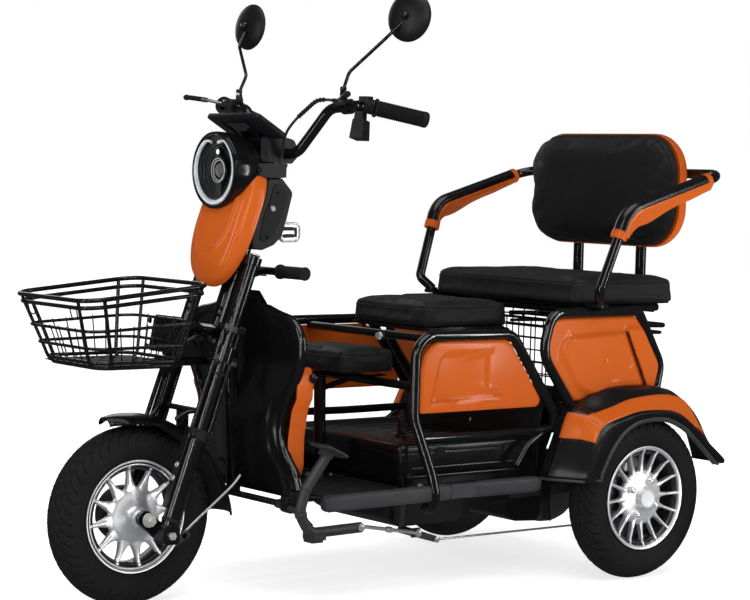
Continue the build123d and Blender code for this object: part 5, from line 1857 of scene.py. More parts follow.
# ------------------------------------------------------------------------------------------------ lamp, cowl and switch box
def lamp():
    c = (0, 0, 885)
    ax = (1, 0, 0)
    g = Geo()
    prof = [(20, 845), (50, 844.4), (55, 846), (62, 853), (67, 862.5), (70, 865), (72.5, 868), (76.6, 884), (78.6, 900), (79.6, 918), (80, 926), (79.2, 927.6), (78.0, 928),
            (78.0, 929.2), (79.4, 930), (79.6, 931.4), (78.8, 933.2), (76.8, 934.0), (74.4, 933.6), (72.6, 932.0), (71.8, 929), (71.8, 925), (20, 900)]
    g.lathe([(r, h) for r, h in prof], c, ax, n=144)
    g.obj("lamp_drum", "lamp_black", "steering", "headlamp", "black_plastic", angle=26)
    # bowl and projector
    b = Geo()
    bowl = [(71.8, 927.4), (62.0, 927.0), (60.8, 924.0), (55, 919), (46, 915), (36, 912.4), (28.5, 911.6), (28.5, 908), (71.8, 908)]
    b.lathe(bowl, c, ax, n=120)
    for r, x in ((57, 921.2), (51, 917.6), (45, 915.0), (39, 913.4)):
        b.lathe([(r, x - 1), (r + 0.5, x + 1.5), (r + 1.5, x + 1.5), (r + 2.0, x - 1)], c, ax, n=96)
    b.lathe([(28.6, 908), (28.6, 918.4), (27.6, 920.4), (25.2, 921), (23.4, 920.2), (22.4, 917.6), (21.8, 913), (21.8, 908)], c, ax, n=72)
    for k in (-1, 1):
        b.prism(round_poly([(-7, 26), (7, 26), (10, 58), (-10, 58)], 3, 3), (914.5, 0, 885), (0, 1, 0), (0, 0, k), (1, 0, 0), 3.4)
    b.obj("lamp_bowl", "lamp_bowl", "steering", slot="lamp", angle=24)
    rg = Geo()
    for r, x, w in ((24.6, 920.6, 0.9), (20.6, 918.6, 1.0), (13.0, 916.6, 0.8)):
        rg.lathe([(r - w, x - 1.4), (r - w * 0.7, x + 0.8), (r + w * 0.7, x + 0.8), (r + w, x - 1.4)], c, ax, n=80)
    rg.obj("lamp_reflector_rings", "steel", "steering", slot="lamp", angle=40)
    p = Geo()
    p.lathe([(0.01, 924.5), (4, 924.2), (8, 923.2), (12, 921.0), (15.6, 917.6), (17.6, 914), (18.2, 910), (0.01, 910)], c, ax, n=56)
    p.obj("lamp_projector", "display", "steering", slot="lamp", angle=50)
    # small lit square above the projector
    s = Geo()
    s.lathe([(0.01, 924.6), (2.2, 924.3), (4.0, 923.4), (5.0, 922.0), (5.2, 920.0), (0.01, 920.0)], (0, 0, 885 + 38), ax, n=32)
    s.obj("lamp_upper_point", "led", "steering", slot="lamp", angle=50)
    s = Geo()
    s.lathe([(5.3, 918), (5.3, 922.6), (6.2, 923.6), (7.8, 923.6), (8.8, 922.4), (9.2, 918)], (0, 0, 885 + 38), ax, n=32)
    s.obj("lamp_upper_frame", "lamp_black", "steering", slot="lamp", angle=40)
    # light guide: a horseshoe, wide at the bottom, its ends turned in at the top
    d = Geo()
    rows = []
    n = 150
    for i in range(n + 1):
        t = i / n
        a = math.radians(103 + 334 * t)
        low = (1 - math.sin(a)) / 2
        wid = 4.6 + 5.2 * low ** 2.0
        rin = 71.2 - wid
        end = max(0.0, (abs(t - 0.5) - 0.44) / 0.06)
        rin2, rout = rin - 11.0 * end ** 1.4, 71.2 - 9.0 * end ** 1.4
        sec = []
        for r, x in ((rin2, 927.6), (rin2 + 0.7, 932.2), (rin2 + 1.6, 933.2), (rout - 1.4, 934.2), (rout - 0.3, 933.2), (rout, 927.6)):
            sec.append(V(x, math.cos(a) * r, 885 + math.sin(a) * r))
        rows.append(sec)
    d.grid(rows, close_v=True)
    m = 6
    d.f.append(list(range(m)))
    d.f.append([n * m + k for k in range(m)])
    d.m.extend([0, 0])
    # fine teeth in the lower half of the guide
    for i in range(60):
        a = math.radians(190 + 160 * i / 59)
        low = (1 - math.sin(a)) / 2
        wid = 4.6 + 5.2 * low ** 2.0
        r = 71.2 - wid / 2
        d.box((934.0, math.cos(a) * r, 885 + math.sin(a) * r), (0.8, wid * 0.6, 0.8), Matrix.Rotation(a, 3, "X"))
    d.obj("lamp_light_guide", "drl", "steering", slot="lamp", angle=50)
    # clear outer lens
    e = Geo()
    lens = [(0.01, 937.4), (20, 937.2), (40, 936.7), (56, 936.0), (71.4, 935.0), (71.4, 934.6), (56, 935.6), (40, 936.3), (20, 936.8), (0.01, 937.0)]
    e.lathe(lens, c, ax, n=96)
    e.obj("lamp_cover_lens", "cover_glass", "steering", slot="lamp", angle=60)
    # bracket and side bolts
    k = Geo()
    for y in (-1, 1):
        k.prism(round_poly([(800, 872), (868, 872), (880, 887), (868, 902), (800, 902)], 8, 4), (0, y * 70.5 - (1.5 if y > 0 else -1.5), 0), (1, 0, 0), (0, 0, 1), (0, y, 0), 3.0)
        dome_bolt(k, (868, y * 73.5, 887), (0, y, 0), 6.0, 3.6)
    k.box((798, 0, 887), (5, 136, 28))
    k.prism(round_poly([(842, 904), (842, 958), (812, 964), (756, 952), (744, 920), (762, 902)], [8, 14, 14, 14, 12, 8], 5), (0, 40, 0), (1, 0, 0), (0, 0, 1), (0, -1, 0), 80.0)
    k.obj("lamp_bracket", "box_black", "steering", slot="black_frame", bevel=0.7)


lamp()

COWL_O = V(axis_x(760), 0, 760) + FWD * 45


def cowl_point(a, b, d):
    return COWL_O + SIDE * a + UP * b + FWD * d


def cowl():
    def outline(k, n=18):
        pts = []
        for i in range(n + 1):                       # half arc from the side down to the point
            t = i / n
            # quadratic-ish curve through (88,-10), (52,-96), (0,-120)
            a = math.radians(90 * t)
            pts.append((89 * math.cos(a) ** 0.86, -10 - 131 * math.sin(a) ** 1.02))
        right = [(70, 106), (75, 98), (80, 86), (85, 72), (88, 58), (88.6, 40), (88.6, 20), (88.4, 4)] + pts
        left = [(-x, y) for x, y in reversed(right[:-1])]
        loop = right + left
        return loop

    loop = outline(0)
    cx, cy = 0.0, 12.0
    prof = [(1.0, 0.0), (1.0, 13.0), (0.997, 19.0), (0.985, 25.0), (0.962, 30.0), (0.925, 34.5), (0.87, 38.5), (0.80, 41.8), (0.73, 44.4), (0.69, 46.2), (0.66, 48.8), (0.635, 50.3),
            (0.61, 49.9), (0.58, 48.6), (0.54, 48.2), (0.46, 49.2), (0.36, 50.6), (0.24, 51.6), (0.12, 52.0)]
    rows = []
    for s, d in prof:
        row = []
        for a, b in loop:
            # below the top edge the ridge keeps its distance from the sides and runs out towards the top
            sa = s
            sb = s if b < 12 else 1 - (1 - s) * 0.28
            ww = smooth01((b - 20) / 90)
            row.append(cowl_point(cx + (a - cx) * sa, cy + (b - cy) * sb, d - 3.0 * ww * (1 - s)))
        rows.append(row)
    g = Geo()
    g.grid(rows, close_v=True)
    m = len(loop)
    last = (len(rows) - 1) * m
    g.add([cowl_point(0, 14, 52.2)], [])
    ci = len(g.v) - 1
    for j in range(m):
        g.f.append([last + j, last + (j + 1) % m, ci])
        g.m.append(0)
    # back rim and inner face
    inner = []
    for s, d in ((0.965, 0.0), (0.955, 14.0), (0.92, 26.0), (0.83, 35.0), (0.68, 41.0), (0.4, 44.5), (0.12, 46.0)):
        inner.append([cowl_point(cx + (a - cx) * s, cy + (b - cy) * (s if b < 12 else 1 - (1 - s) * 0.5), d) for a, b in loop])
    o = len(g.v)
    # the inner face takes the darker orange copy: painted shade
    g.grid(inner, 1, close_v=True)
    g.add([cowl_point(0, 14, 46.0)], [])
    ci = len(g.v) - 1
    last = o + (len(inner) - 1) * m
    for j in range(m):
        g.f.append([last + j, last + (j + 1) % m, ci])
        g.m.append(1)
        g.f.append([j, (j + 1) % m, o + (j + 1) % m, o + j])
        g.m.append(0)
    ob = g.obj("cowl_nose", ["orange", "orange_painted_shade"], "steering", "nose_cowl", "orange_plastic", angle=50, fix_normals=True, subsurf=1)


cowl()


def switch_box():
    side = [(836, 872), (800, 872), (771, 842), (786, 785), (797, 750), (818, 732), (846, 722), (874, 724), (874, 742), (862, 790), (846, 822), (842, 838)]
    out = round_poly(side, [6, 12, 12, 10, 12, 10, 12, 6, 8, 10, 10, 6], 4)
    g = Geo()
    for lo, hi, k in ((-60, 60, 1.0),):
        g.prism(out, (0, lo, 0), (1, 0, 0), (0, 0, 1), (0, 1, 0), hi - lo)
    g.obj("switch_box", "box_black", "steering", "switch_housing", "matt_black_plastic", bevel=3.2, bevel_seg=3, bevel_angle=50, angle=40)
    d = Geo()
    for s in (-1, 1):
        # seam round the side face, a shallow raised panel and screws
        pan = round_poly([(820, 860), (802, 858), (785, 838), (800, 790), (816, 758), (842, 738), (856, 742), (846, 790), (830, 826)], 8, 4)
        d.prism(pan, (0, s * 60.0 - (0 if s > 0 else 1.4), 0), (1, 0, 0), (0, 0, 1), (0, 1, 0), 1.4)
        dome_bolt(d, (836, s * 61, 748), (0, s, 0), 3.6, 2.0)
        dome_bolt(d, (812, s * 61, 842), (0, s, 0), 3.6, 2.0)
    for k in range(5):
        d.box((783 + k * 4.4 + 2, 0, 836 - k * 16.5), (1.6, 96, 3.2), Matrix.Rotation(math.radians(-15), 3, "Y"))
    d.obj("switch_box_details", "lamp_bowl", "steering", slot="matt_black_plastic", bevel=0.6)
    lk = Geo()
    lk.lathe([(0.01, 60.6), (6.6, 60.6), (6.6, 62.4), (5.8, 63.2), (3.6, 63.4), (3.2, 62.6), (0.01, 62.6)], (824, 0, 808), (0, 1, 0), n=40)
    lk.box((824, 62.9, 808), (1.4, 0.8, 4.6), Matrix.Rotation(math.radians(20), 3, "Y"))
    lk.obj("switch_box_lock", "bolt", "steering", slot="steel", bevel=0.3)
    # chrome bag hook: a D plate with two slots, standing out behind the box
    h = Geo()
    hx0, hx1, hz0, hz1, y = 746, 800, 738, 780, 50.0
    cxh, czh = (hx0 + hx1) / 2, (hz0 + hz1) / 2
    h.prism(round_rect(hx1 - hx0, hz1 - hz0, 14, 6, (cxh, czh)), (0, y - 3, 0), (1, 0, 0), (0, 0, 1), (0, 1, 0), 6.0)
    h.tube([V(x, y + 2.4, z) for x, z in round_rect(hx1 - hx0 - 5, hz1 - hz0 - 5, 12, 6, (cxh, czh))], 2.6, n=10, closed=True)
    h.box((802, y + 1, czh), (12, 9, 24))
    sl = Geo()
    for dx, w, dz, hh in ((4, 30, 7.5, 8.0), (4, 30, -7.5, 8.0), (-15, 7, 0, 22)):
        sl.prism(round_rect(w, hh, 3, 4, (cxh + dx, czh + dz)), (0, y + 2.6, 0), (1, 0, 0), (0, 0, 1), (0, 1, 0), 0.8)
        sl.prism(round_rect(w, hh, 3, 4, (cxh + dx, czh + dz)), (0, y - 3.5, 0), (1, 0, 0), (0, 0, 1), (0, 1, 0), 0.8)
    sl.obj("bag_hook_slots", "black_satin", "steering", slot="black_plastic")
    h.obj("bag_hook", "alloy_bright", "steering", "switch_housing", "steel", bevel=0.8, angle=40)


switch_box()


def dash():
    a = math.radians(30)
    ex, ey, ez = V(0, 1, 0), V(math.cos(a), 0, math.sin(a)), V(-math.sin(a), 0, math.cos(a))
    # ey runs forward and up the plate, ez is its upper face
    o = V(856, 0, 973)
    g = Geo()
    lay = [(176, 78, 6, 0.0), (183, 84, 7, 1.2), (186, 86, 8, 3.0), (187, 87, 9, 8.0), (184, 84, 8, 11.5), (177, 78, 7, 13.0)]
    rows = [[o + ex * p + ey * q + ez * z for p, q in round_rect(w, d, r, 6)] for w, d, r, z in lay]
    g.grid(rows, close_v=True)
    m = len(rows[0])
    g.f.append(list(range(m)))
    g.f.append([(len(rows) - 1) * m + k for k in range(m)])
    g.m.extend([0, 0])
    # ribs underneath
    for p in (-52, 0, 52):
        g.prism(round_rect(5, 56, 2, 3, (p, 0)), o - ez * 3.0, ex, ey, ez, 2.6)
    g.prism(round_rect(132, 4, 1.6, 3, (0, -20)), o - ez * 2.6, ex, ey, ez, 2.2)
    g.obj("dash_plate", "black_satin", "steering", "instrument_panel", "black_plastic", bevel=0.6, angle=34)
    f = Geo()
    f.prism(round_rect(78, 44, 7, 5, (18, 4)), o + ez * 13.6, ex, ey, ez, 1.3)
    f.obj("dash_window", "display", "steering", slot="black_plastic", bevel=0.5)
    k = Geo()
    k.lathe([(0.01, 13.8), (13, 13.8), (13, 16.4), (11.5, 17.6), (7, 17.8), (6.4, 16.4), (0.01, 16.4)], o - ex * 50 + ey * 2, ez, n=36)
    k.obj("dash_key_switch", "bolt", "steering", slot="steel")
    for i, mt in enumerate(("amber_lens", "red_lens", "amber_lens")):
        q = Geo()
        q.lathe([(0.01, 14.6), (3.4, 14.6), (3.2, 16.0), (1.8, 16.6), (0.01, 16.7)], o - ex * (22 - i * 0) + ey * (16 - 14 * i), ez, n=20)
        q.obj("dash_light_%d" % (i + 1), mt, "steering", slot="lamp")
    s = Geo()
    for y in (-24, 24):
        s.tube(rounded_path([(850, y, 975), (838, y, 950), (818, y * 0.8, 912), (806, y * 0.8, 900)], 20, 4), 5.5, n=12)
    s.box((862, 0, 975), (40, 70, 3.5), Matrix.Rotation(-a, 3, "Y"))
    s.obj("dash_bracket", "black_gloss", "steering", slot="black_frame", bevel=0.6)


dash()


# ------------------------------------------------------------------------------------------------ bar, grips, levers, mirrors
def bar_set(s):
    tag = "left" if s > 0 else "right"
    G0, G1 = V(735, 246, 1024), V(616, 300, 998)
    gd = (G1 - G0).normalized()

    def M(g):
        return g if s > 0 else g.mirrored()

    g = Geo()
    # ribbed grip: flange, waves and a domed end
    L = (G1 - G0).length
    prof = [(11.4, 22), (17.6, 22), (19.4, 23.4), (19.4, 27.0), (17.6, 28.4), (15.4, 29.6)]
    x = 31.0
    while x < L - 12:
        prof += [(15.0, x), (16.4, x + 0.9), (16.4, x + 2.2), (15.0, x + 3.1)]
        x += 4.1
    prof += [(15.4, L - 9), (16.6, L - 7), (16.6, L - 1), (15.6, L + 2.2), (12.5, L + 4.6), (7, L + 5.8), (0.01, L + 6.0), (0.01, L - 20), (11.4, L - 20)]
    g.lathe(prof, G0, gd, n=40)
    M(g).obj("grip_" + tag, "rubber", "steering", "hand_grips", "rubber", angle=34)
    # clamp blocks inboard of the grip
    b = Geo()
    c0 = G0 + gd * 4
    for at_, ln, r in ((-2, 12, 17.2), (11, 9, 15.6)):
        b.lathe([(11.2, at_), (r - 1, at_), (r, at_ + 1), (r, at_ + ln - 1), (r - 1, at_ + ln), (11.2, at_ + ln)], G0, gd, n=40)
    b.box(G0 + gd * 6 + V(2, 0, 13), (22, 22, 12), Matrix.Rotation(math.radians(24), 3, "Z"))
    M(b).obj("bar_clamp_" + tag, "black_satin", "steering", slot="black_plastic", bevel=1.2, angle=40)
    # hanging switch pod
    if s > 0:
        p = Geo()
        R = Matrix.Rotation(math.radians(24), 3, "Z") @ Matrix.Rotation(math.radians(-10), 3, "Y")
        p.box((738, 240, 974), (34, 30, 40), R, 0, (0.86, 0.86))
        p.box((738, 240, 1001), (22, 20, 20), R, 0, (0.9, 0.9))
        for k in range(3):
            p.box(V(738, 240, 962 + k * 11) + R @ V(-17.6, 0, 0), (2.4, 18, 6.4), R)
        p.obj("switch_pod_left", "black_satin", "steering", slot="black_plastic", bevel=2.2, bevel_seg=3, angle=40)
        q = Geo()
        q.box(V(738, 240, 984) + R @ V(-18.2, 0, 0), (3, 8, 8), R)
        q.obj("switch_pod_button", "red_lens", "steering", slot="lamp", bevel=0.9)
    else:
        p = Geo()
        p.lathe([(11.2, -20), (18.5, -20), (19.6, -18.5), (19.6, 1), (18.5, 2.5), (11.2, 2.5)], G0, gd, n=40)
        p.box(G0 - gd * 9 + V(-12, 0, 6), (24, 18, 16), Matrix.Rotation(math.radians(24), 3, "Z"))
        M(p).obj("throttle_body", "black_satin", "steering", slot="black_plastic", bevel=1.2, angle=40)
    # lever perch and lever
    bar = rounded_path([(775, 76, 924), (748, 150, 1018), (735, 246, 1024), (616, 300, 998)], [40, 40, 34], 4)
    near = min(range(len(bar) - 1), key=lambda i: (bar[i] - V(741, 200, 1021)).length)
    ax = V(-0.135, 0.99, 0.06).normalized()
    pc = V(741.2, 188, 1020.5)
    h = Geo()
    h.lathe([(11.3, 0), (14.6, 0), (15.6, 1), (15.6, 21), (14.6, 22), (11.3, 22)], pc, ax, n=36)
    h.box(pc + ax * 11 + V(17, 0, 2.5), (24, 19, 12), Matrix.Rotation(math.radians(-8), 3, "Z"))
    h.box(pc + ax * 16 + V(28, 8, 5), (20, 22, 8), Matrix.Rotation(math.radians(40), 3, "Z"))
    h.lathe([(0.01, -6), (6.2, -6), (6.2, 6), (5.2, 7), (0.01, 7)], V(768, 209, 1028), (0.1, 0, 1), n=24)
    # mirror boss on top of the perch
    h.lathe([(0.01, 0), (8.6, 0), (8.6, 9), (7.2, 10.5), (7.2, 14), (0.01, 14)], V(743, 188, 1032), (0.02, 0, 1), n=28)
    M(h).obj("lever_perch_" + tag, "black_satin", "steering", "brake_levers", "black_plastic", bevel=0.9, angle=40)
    hb = Geo()
    for k in (4, 18):
        dome_bolt(hb, pc + ax * k + V(-15.4, 0, 0), (-1, 0, 0), 3.4, 2.4)
    hb.lathe([(0.01, 0), (4.4, 0), (4.4, 2.4), (0.01, 3.2)], V(768.6, 209, 1035), (0.1, 0, 1), n=20)
    M(hb).obj("perch_bolts_" + tag, "bolt", "steering", slot="steel")
    lv = Geo()
    root = catmull([(764, 206, 1029), (776, 222, 1032), (787, 238, 1036), (795, 256, 1038.5)], 6)
    lv.tube(root, 4.6, n=12, squash=(3.6, 5.6, (0, 0, 1)))
    M(lv).obj("lever_blade_" + tag, "alloy_rough", "steering", "brake_levers", "steel", angle=40)
    ls = Geo()
    path = catmull([(789, 244, 1036.8), (798, 264, 1039.5), (808, 284, 1042), (814, 296, 1042.6)], 6)
    rr = [5.4 + 0.5 * math.sin(i * 1.3) * 0 + (1.0 if i > len(path) - 5 else 0) for i in range(len(path))]
    rr[0] = 4.9
    rr[-1] = 4.0
    ls.tube(path, rr, n=16)
    ls.lathe([(0.01, 3.0), (4.0, 1.8), (6.0, -1.4), (6.0, -4.5), (0.01, -5)], path[-1], (path[-1] - path[-3]), n=20)
    M(ls).obj("lever_sleeve_" + tag, "rubber", "steering", slot="rubber", angle=40)
    # mirror
    mc = V(655, 284, 1206)
    mn = (V(-0.93, -0.3, -0.1) if s > 0 else V(-0.985, 0.07, -0.12)).normalized()
    st = rounded_path([(744, 188, 1046), (741, 187, 1062), (728, 185, 1092), (696, 262, 1160), (668, 280, 1194)], [6, 16, 26], 4)
    ms = Geo()
    ms.tube(st, 3.6, n=14)
    ms.lathe([(3.6, 0), (7.4, 0), (7.4, 3), (5.8, 5), (5.8, 9), (7.0, 10.5), (7.0, 15), (5.4, 17), (3.6, 17)], V(744, 188, 1045), (0.0, 0, 1), n=28)
    ms.prism(circle2(7.2, 6), V(744, 188, 1048), (1, 0, 0), (0, 1, 0), (0, 0, 1), 6)
    # ball joint at the disc
    ms.lathe([(0.01, -22), (5, -21), (8.2, -17), (9.2, -12), (0.01, -12)], mc, mn, n=28)
    M(ms).obj("mirror_stem_" + tag, "black_gloss", "steering", "mirrors", "black_frame", angle=50)
    sh = Geo()
    sh.lathe([(0.01, -12.6), (10, -12.4), (20, -11.6), (30, -9.8), (39, -6.8), (46, -2.8), (50, 0.2), (51.4, 2.0), (51.6, 4.2), (50.6, 5.4), (48.8, 5.2), (48.2, 3.4), (0.01, 3.4)], mc, mn, n=72)
    M(sh).obj("mirror_shell_" + tag, "black_satin", "steering", slot="black_plastic", angle=30)
    gl = Geo()
    gl.lathe([(0.01, 3.5), (47.9, 3.5), (47.9, 4.3), (30, 4.7), (0.01, 4.9)], mc, mn, n=72)
    M(gl).obj("mirror_glass_" + tag, "mirror", "steering", slot="steel", angle=60)
    # brake cable with its corrugated sleeve
    cb = Geo()
    path = catmull([(752, 172, 1033), (768, 163, 1034.5), (786, 154, 1031), (801, 141, 1014), (812, 118, 992), (817, 96, 968), (812, 77, 942), (808, 67, 918), (811, 66, 894)], 8)
    cb.tube(path, 2.9, n=12)
    M(cb).obj("cable_" + tag, "cable", "steering", "control_cables", "rubber", angle=60)
    cs = Geo()
    dense = resample(path, 1.6)
    k0, k1 = int(len(dense) * 0.10), int(len(dense) * 0.42)
    cs.tube(dense[k0:k1], [4.9 if (i // 2) % 2 else 3.9 for i in range(k1 - k0)], n=12)
    cs.lathe([(0.01, -6), (4.6, -6), (4.6, 6), (0.01, 6)], V(752, 172, 1033), (path[1] - path[0]), n=18)
    M(cs).obj("cable_sleeve_" + tag, "rubber", "steering", slot="rubber", angle=30)


bar_set(1)
bar_set(-1)


def child_grip():
    g = Geo()
    o = V(axis_x(661), 0, 661)
    g.lathe([(22.3, -9), (27, -9), (28.4, -7.6), (28.4, 7.6), (27, 9), (22.3, 9)], o, UP, n=56)
    for s in (-1, 1):
        g.box(o + V(-6, s * 29, -2), (26, 8, 14), Matrix.Rotation(-RAKE, 3, "Y"))
        dome_bolt(g, o + V(-6, s * 33, -2), (0, s, 0), 4.6, 3.4)
    g.tube([(848, 0, 663), (832, 0, 668), (802, 0, 677)], 8.0, n=20)
    g.tube([(802, -80, 677), (802, 80, 677)], 8.4, n=24)
    g.box((810, 0, 675), (22, 26, 14), Matrix.Rotation(-RAKE, 3, "Y"))
    g.obj("child_grip_bar", "black_gloss", "frame", "child_hand_grip", "black_frame", bevel=0.8, angle=42)
    for s in (-1, 1):
        r = Geo()
        prof = [(8.5, 60), (14.4, 60), (15.6, 61.4), (15.6, 65), (14, 66.4), (12.2, 67.4)]
        x = 70.0
        while x < 146:
            prof += [(12.2, x), (13.2, x + 0.9), (13.2, x + 2.4), (12.2, x + 3.2)]
            x += 4.3
        prof += [(13.6, 147), (14.2, 148), (14.2, 150.6), (13.0, 151.8), (0.01, 152), (0.01, 140), (8.5, 140)]
        r.lathe([(a, s * b) for a, b in prof], (802, 0, 677), (0, 1, 0), n=40)
        r.obj("child_grip_" + ("left" if s > 0 else "right"), "rubber", "frame", "child_hand_grip", "rubber", angle=34)


child_grip()


# ------------------------------------------------------------------------------------------------ fork and front fender
def front_fender():
    cx, cz = 1134.6, 137.9
    a0, a1 = 78.5, 171.8
    n, m = ((84, 20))
    rows = []
    for i in range(n + 1):
        t = i / n
        a = math.radians(a0 + (a1 - a0) * t)
        w = 22 + 24 * smooth01((t * (a1 - a0)) / 8.5) if t * (a1 - a0) < 8.5 else 46.0
        row = []
        for j in range(m + 1):
            u = -1 + 2 * j / m
            y = w * u
            R = 239 + 14.0 * (1 - abs(y / 46.0) ** 2.4)
            if t * (a1 - a0) < 8.5:
                R = 239 + 13.5 * (1 - abs(u) ** 2.6)
            # a raised spine along the middle
            R += 1.2 * math.exp(-(y / 7.0) ** 2) * smooth01((t - 0.03) / 0.06)
            row.append(V(cx + R * math.cos(a), y, cz + R * math.sin(a)))
        # rolled lip on both edges
        e0, e1 = row[0], row[-1]
        rad = V(math.cos(a), 0, math.sin(a))
        row = [e0 - rad * 5.0 + V(0, 1.2, 0), e0 - rad * 2.5] + row + [e1 - rad * 2.5, e1 - rad * 5.0 + V(0, -1.2, 0)]
        rows.append(row)
    g = Geo()
    g.grid(rows)
    g.obj("fender_front", "black_plastic", "steering", "front_fender", "black_plastic", angle=50, solidify=2.0)
    b = Geo()
    xr = leg_x(395)
    b.tube([(xr, -70.5, 395), (xr, 70.5, 395)], 6.0, n=20)
    b.box((996, 0, 372), (4, 42, 44))
    b.box((986, 0, 352.0), (26, 42, 4), Matrix.Rotation(math.radians(-34), 3, "Y"))
    for y in (-13, 13):
        hex_bolt(b, (1000, y, 372), (1, 0, 0), 4.6, 3.6)
    for s in (-1, 1):
        b.tube(rounded_path([(xr, s * 58, 395), (xr + 26, s * 52, 392), (1040, s * 44, 378)], 14, 4), 4.0, n=12)
    b.obj("fender_front_stay", "black_gloss", "steering", "front_fender", "black_frame", bevel=0.5, angle=42)


front_fender()


def fork_details():
    for s in (-1, 1):
        tag = "left" if s > 0 else "right"
        d = UP
        g = Geo()
        o = V(leg_x(345), s * 85, 345)
        # dust boot and seal ring at the top of the lower leg
        g.lathe([(14.6, -6), (19.6, -6), (20.4, -4.8), (20.4, 6), (19.2, 8), (17.6, 9.5), (17.6, 14), (16.4, 16), (14.6, 16)], o, d, n=40)
        o2 = V(leg_x(180), s * 85, 180)
        g.lathe([(18.6, -4), (20.2, -3), (20.2, 3), (18.6, 4)], o2, d, n=40)
        o3 = V(leg_x(470), s * 85, 470)
        g.lathe([(14.2, 0), (17.6, 0), (17.6, 4), (14.2, 4)], o3, d, n=36)
        g.obj("fork_rings_" + tag, "rubber", "steering", slot="rubber", angle=30)
        # clamp bolts and top caps
        b = Geo()
        top = V(leg_x(708), s * 85, 708)
        b.lathe([(0.01, 0), (11.5, 0), (11.5, 2.0), (10, 3.4), (0.01, 3.6)], top + d * 4, d, n=32)
        # axle nut, washer and thread end
        b.lathe([(8.4, 0), (15, 0), (15, 1.8), (8.4, 1.8)], V(1120, s * 76.4, 183), (0, s, 0), n=32)
        b.prism(circle2(12.4, 6, start=0.3), V(1120, s * 78.2, 183), (1, 0, 0), (0, 0, 1), (0, s, 0), 9.5)
        b.lathe([(0.01, 0), (7.6, 0), (7.6, 11), (6.4, 12.4), (0.01, 12.4)], V(1120, s * 78.4, 183), (0, s, 0), n=24)
        b.prism(circle2(8.4, 6), V(leg_x(152), s * 104.2, 152), (1, 0, 0), (0, 0, 1), (0, s, 0), 6)
        b.obj("fork_bolts_" + tag, "steel", "steering", slot="steel", bevel=0.5, angle=34)
        # perforated stay beside the leg, with its round holes shown as bright rivets
        st = Geo()
        p0, p1 = V(leg_x(352) + 22, s * 78, 352), V(leg_x(206) + 20, s * 78, 206)
        ex = (p1 - p0).normalized()
        ey = V(0, s, 0)
        ez = ex.cross(ey)
        L = (p1 - p0).length
        st.prism(round_poly([(0, -9), (L, -9), (L, 9), (0, 9)], 6, 4), p0, ex, ey, ez, 3.2)
        st.obj("fork_stay_" + tag, "black_satin", "steering", slot="black_frame", bevel=0.5)
        # slim guide tubes in front of and behind the upper leg, held by two clamps
        tb = Geo()
        for dx, r in ((23, 5.0), (-23, 5.6)):
            tb.tube([V(leg_x(566) + dx * 0.9, s * 88, 566), V(leg_x(346) + dx, s * 88, 346)], r, n=18)
        tb.obj("fork_guides_" + tag, "black_gloss", "steering", slot="black_frame", angle=50)
        ck = Geo()
        for z, w in ((500, 60), (562, 56), (352, 58)):
            ck.box((leg_x(z), s * 87, z), (w, 24, 13), Matrix.Rotation(-RAKE, 3, "Y"))
            for dx in (-22, 22):
                dome_bolt(ck, (leg_x(z) + dx, s * 99, z), (0, s, 0), 4.6, 3.0)
        ck.obj("fork_clamps_" + tag, "black_plastic", "steering", slot="black_frame", bevel=2.0, bevel_seg=2)
        rv = Geo()
        for k in (0.42, 0.60):
            q = p0.lerp(p1, k)
            dome_bolt(rv, q + ez * (3.2 if ez.x > 0 else 0), ez if ez.x > 0 else -ez, 6.2, 2.6)
        rv.obj("fork_stay_rivets_" + tag, "steel", "steering", slot="steel")
    # drum brake arm and its rod on the left
    r = Geo()
    r.tube(catmull([(1052, 92, 150), (1020, 96, 178), (975, 97, 212), (932, 96, 244), (912, 92, 262)], 8), 2.6, n=12)
    r.obj("front_brake_rod", "steel", "steering", slot="steel")
    q = Geo()
    q.box((1056, 100, 146), (36, 6, 14), Matrix.Rotation(math.radians(30), 3, "Y"))
    q.lathe([(0.01, 0), (7, 0), (7, 7), (0.01, 7)], (1052, 96, 150), (0, 1, 0), n=20)
    q.obj("front_brake_arm", "cast_black", "steering", slot="black_frame", bevel=1.0)


fork_details()
# ------------------------------------------------------------------------------------------------ hoops, floor, tub
def side_hoop(s, tag):
    g = Geo()
    path = rounded_path([(560, s * 262, 190), (560, s * 290, 196), (561, s * 297, 224), (566, s * 290, 262), (586, s * 252, 377), (584, s * 250, 549), (318, s * 250, 549), (190, s * 250, 372), (186, s * 250, 339)],
                        [16, 20, 36, 60, 48, 42, 30], 5)
    g.tube(path, 11.0, n=28)
    g.tube([(577, s * 264, 337), (380, s * 257, 335), (186, s * 250, 337)], 9.0, n=24)
    # flange feet and short gusset tubes
    g.prism(round_rect(46, 34, 8, 5, (556, s * 266)), (0, 0, 234.2), (1, 0, 0), (0, 1, 0), (0, 0, 1), 4.0)
    g.tube(rounded_path([(220, s * 250, 333), (266, s * 250, 305), (297, s * 250, 262)], 30, 4), 7.0, n=18)
    g.tube([(330, s * 250, 543), (344, s * 240, 538)], 6.0, n=14)
    g.obj("hoop_side_" + tag, "black_gloss", "frame", "side_hoops", "black_frame", angle=50, bevel=0.6)
    b = Geo()
    for x in (540, 574):
        hex_bolt(b, (x, s * 262, 238.4), (0, 0, 1), 4.4, 3.4)
    b.lathe([(0.01, 0), (9.5, 0), (9.5, 3.4), (8, 4.6), (4.6, 4.6), (4.0, 3.4), (0.01, 3.4)], V(204, s * 165.4, 196), (0, s, 0), n=30)
    b.obj("hoop_bolts_" + tag, "bolt", "frame", slot="steel", bevel=0.3)


side_hoop(1, "left")
side_hoop(-1, "right")


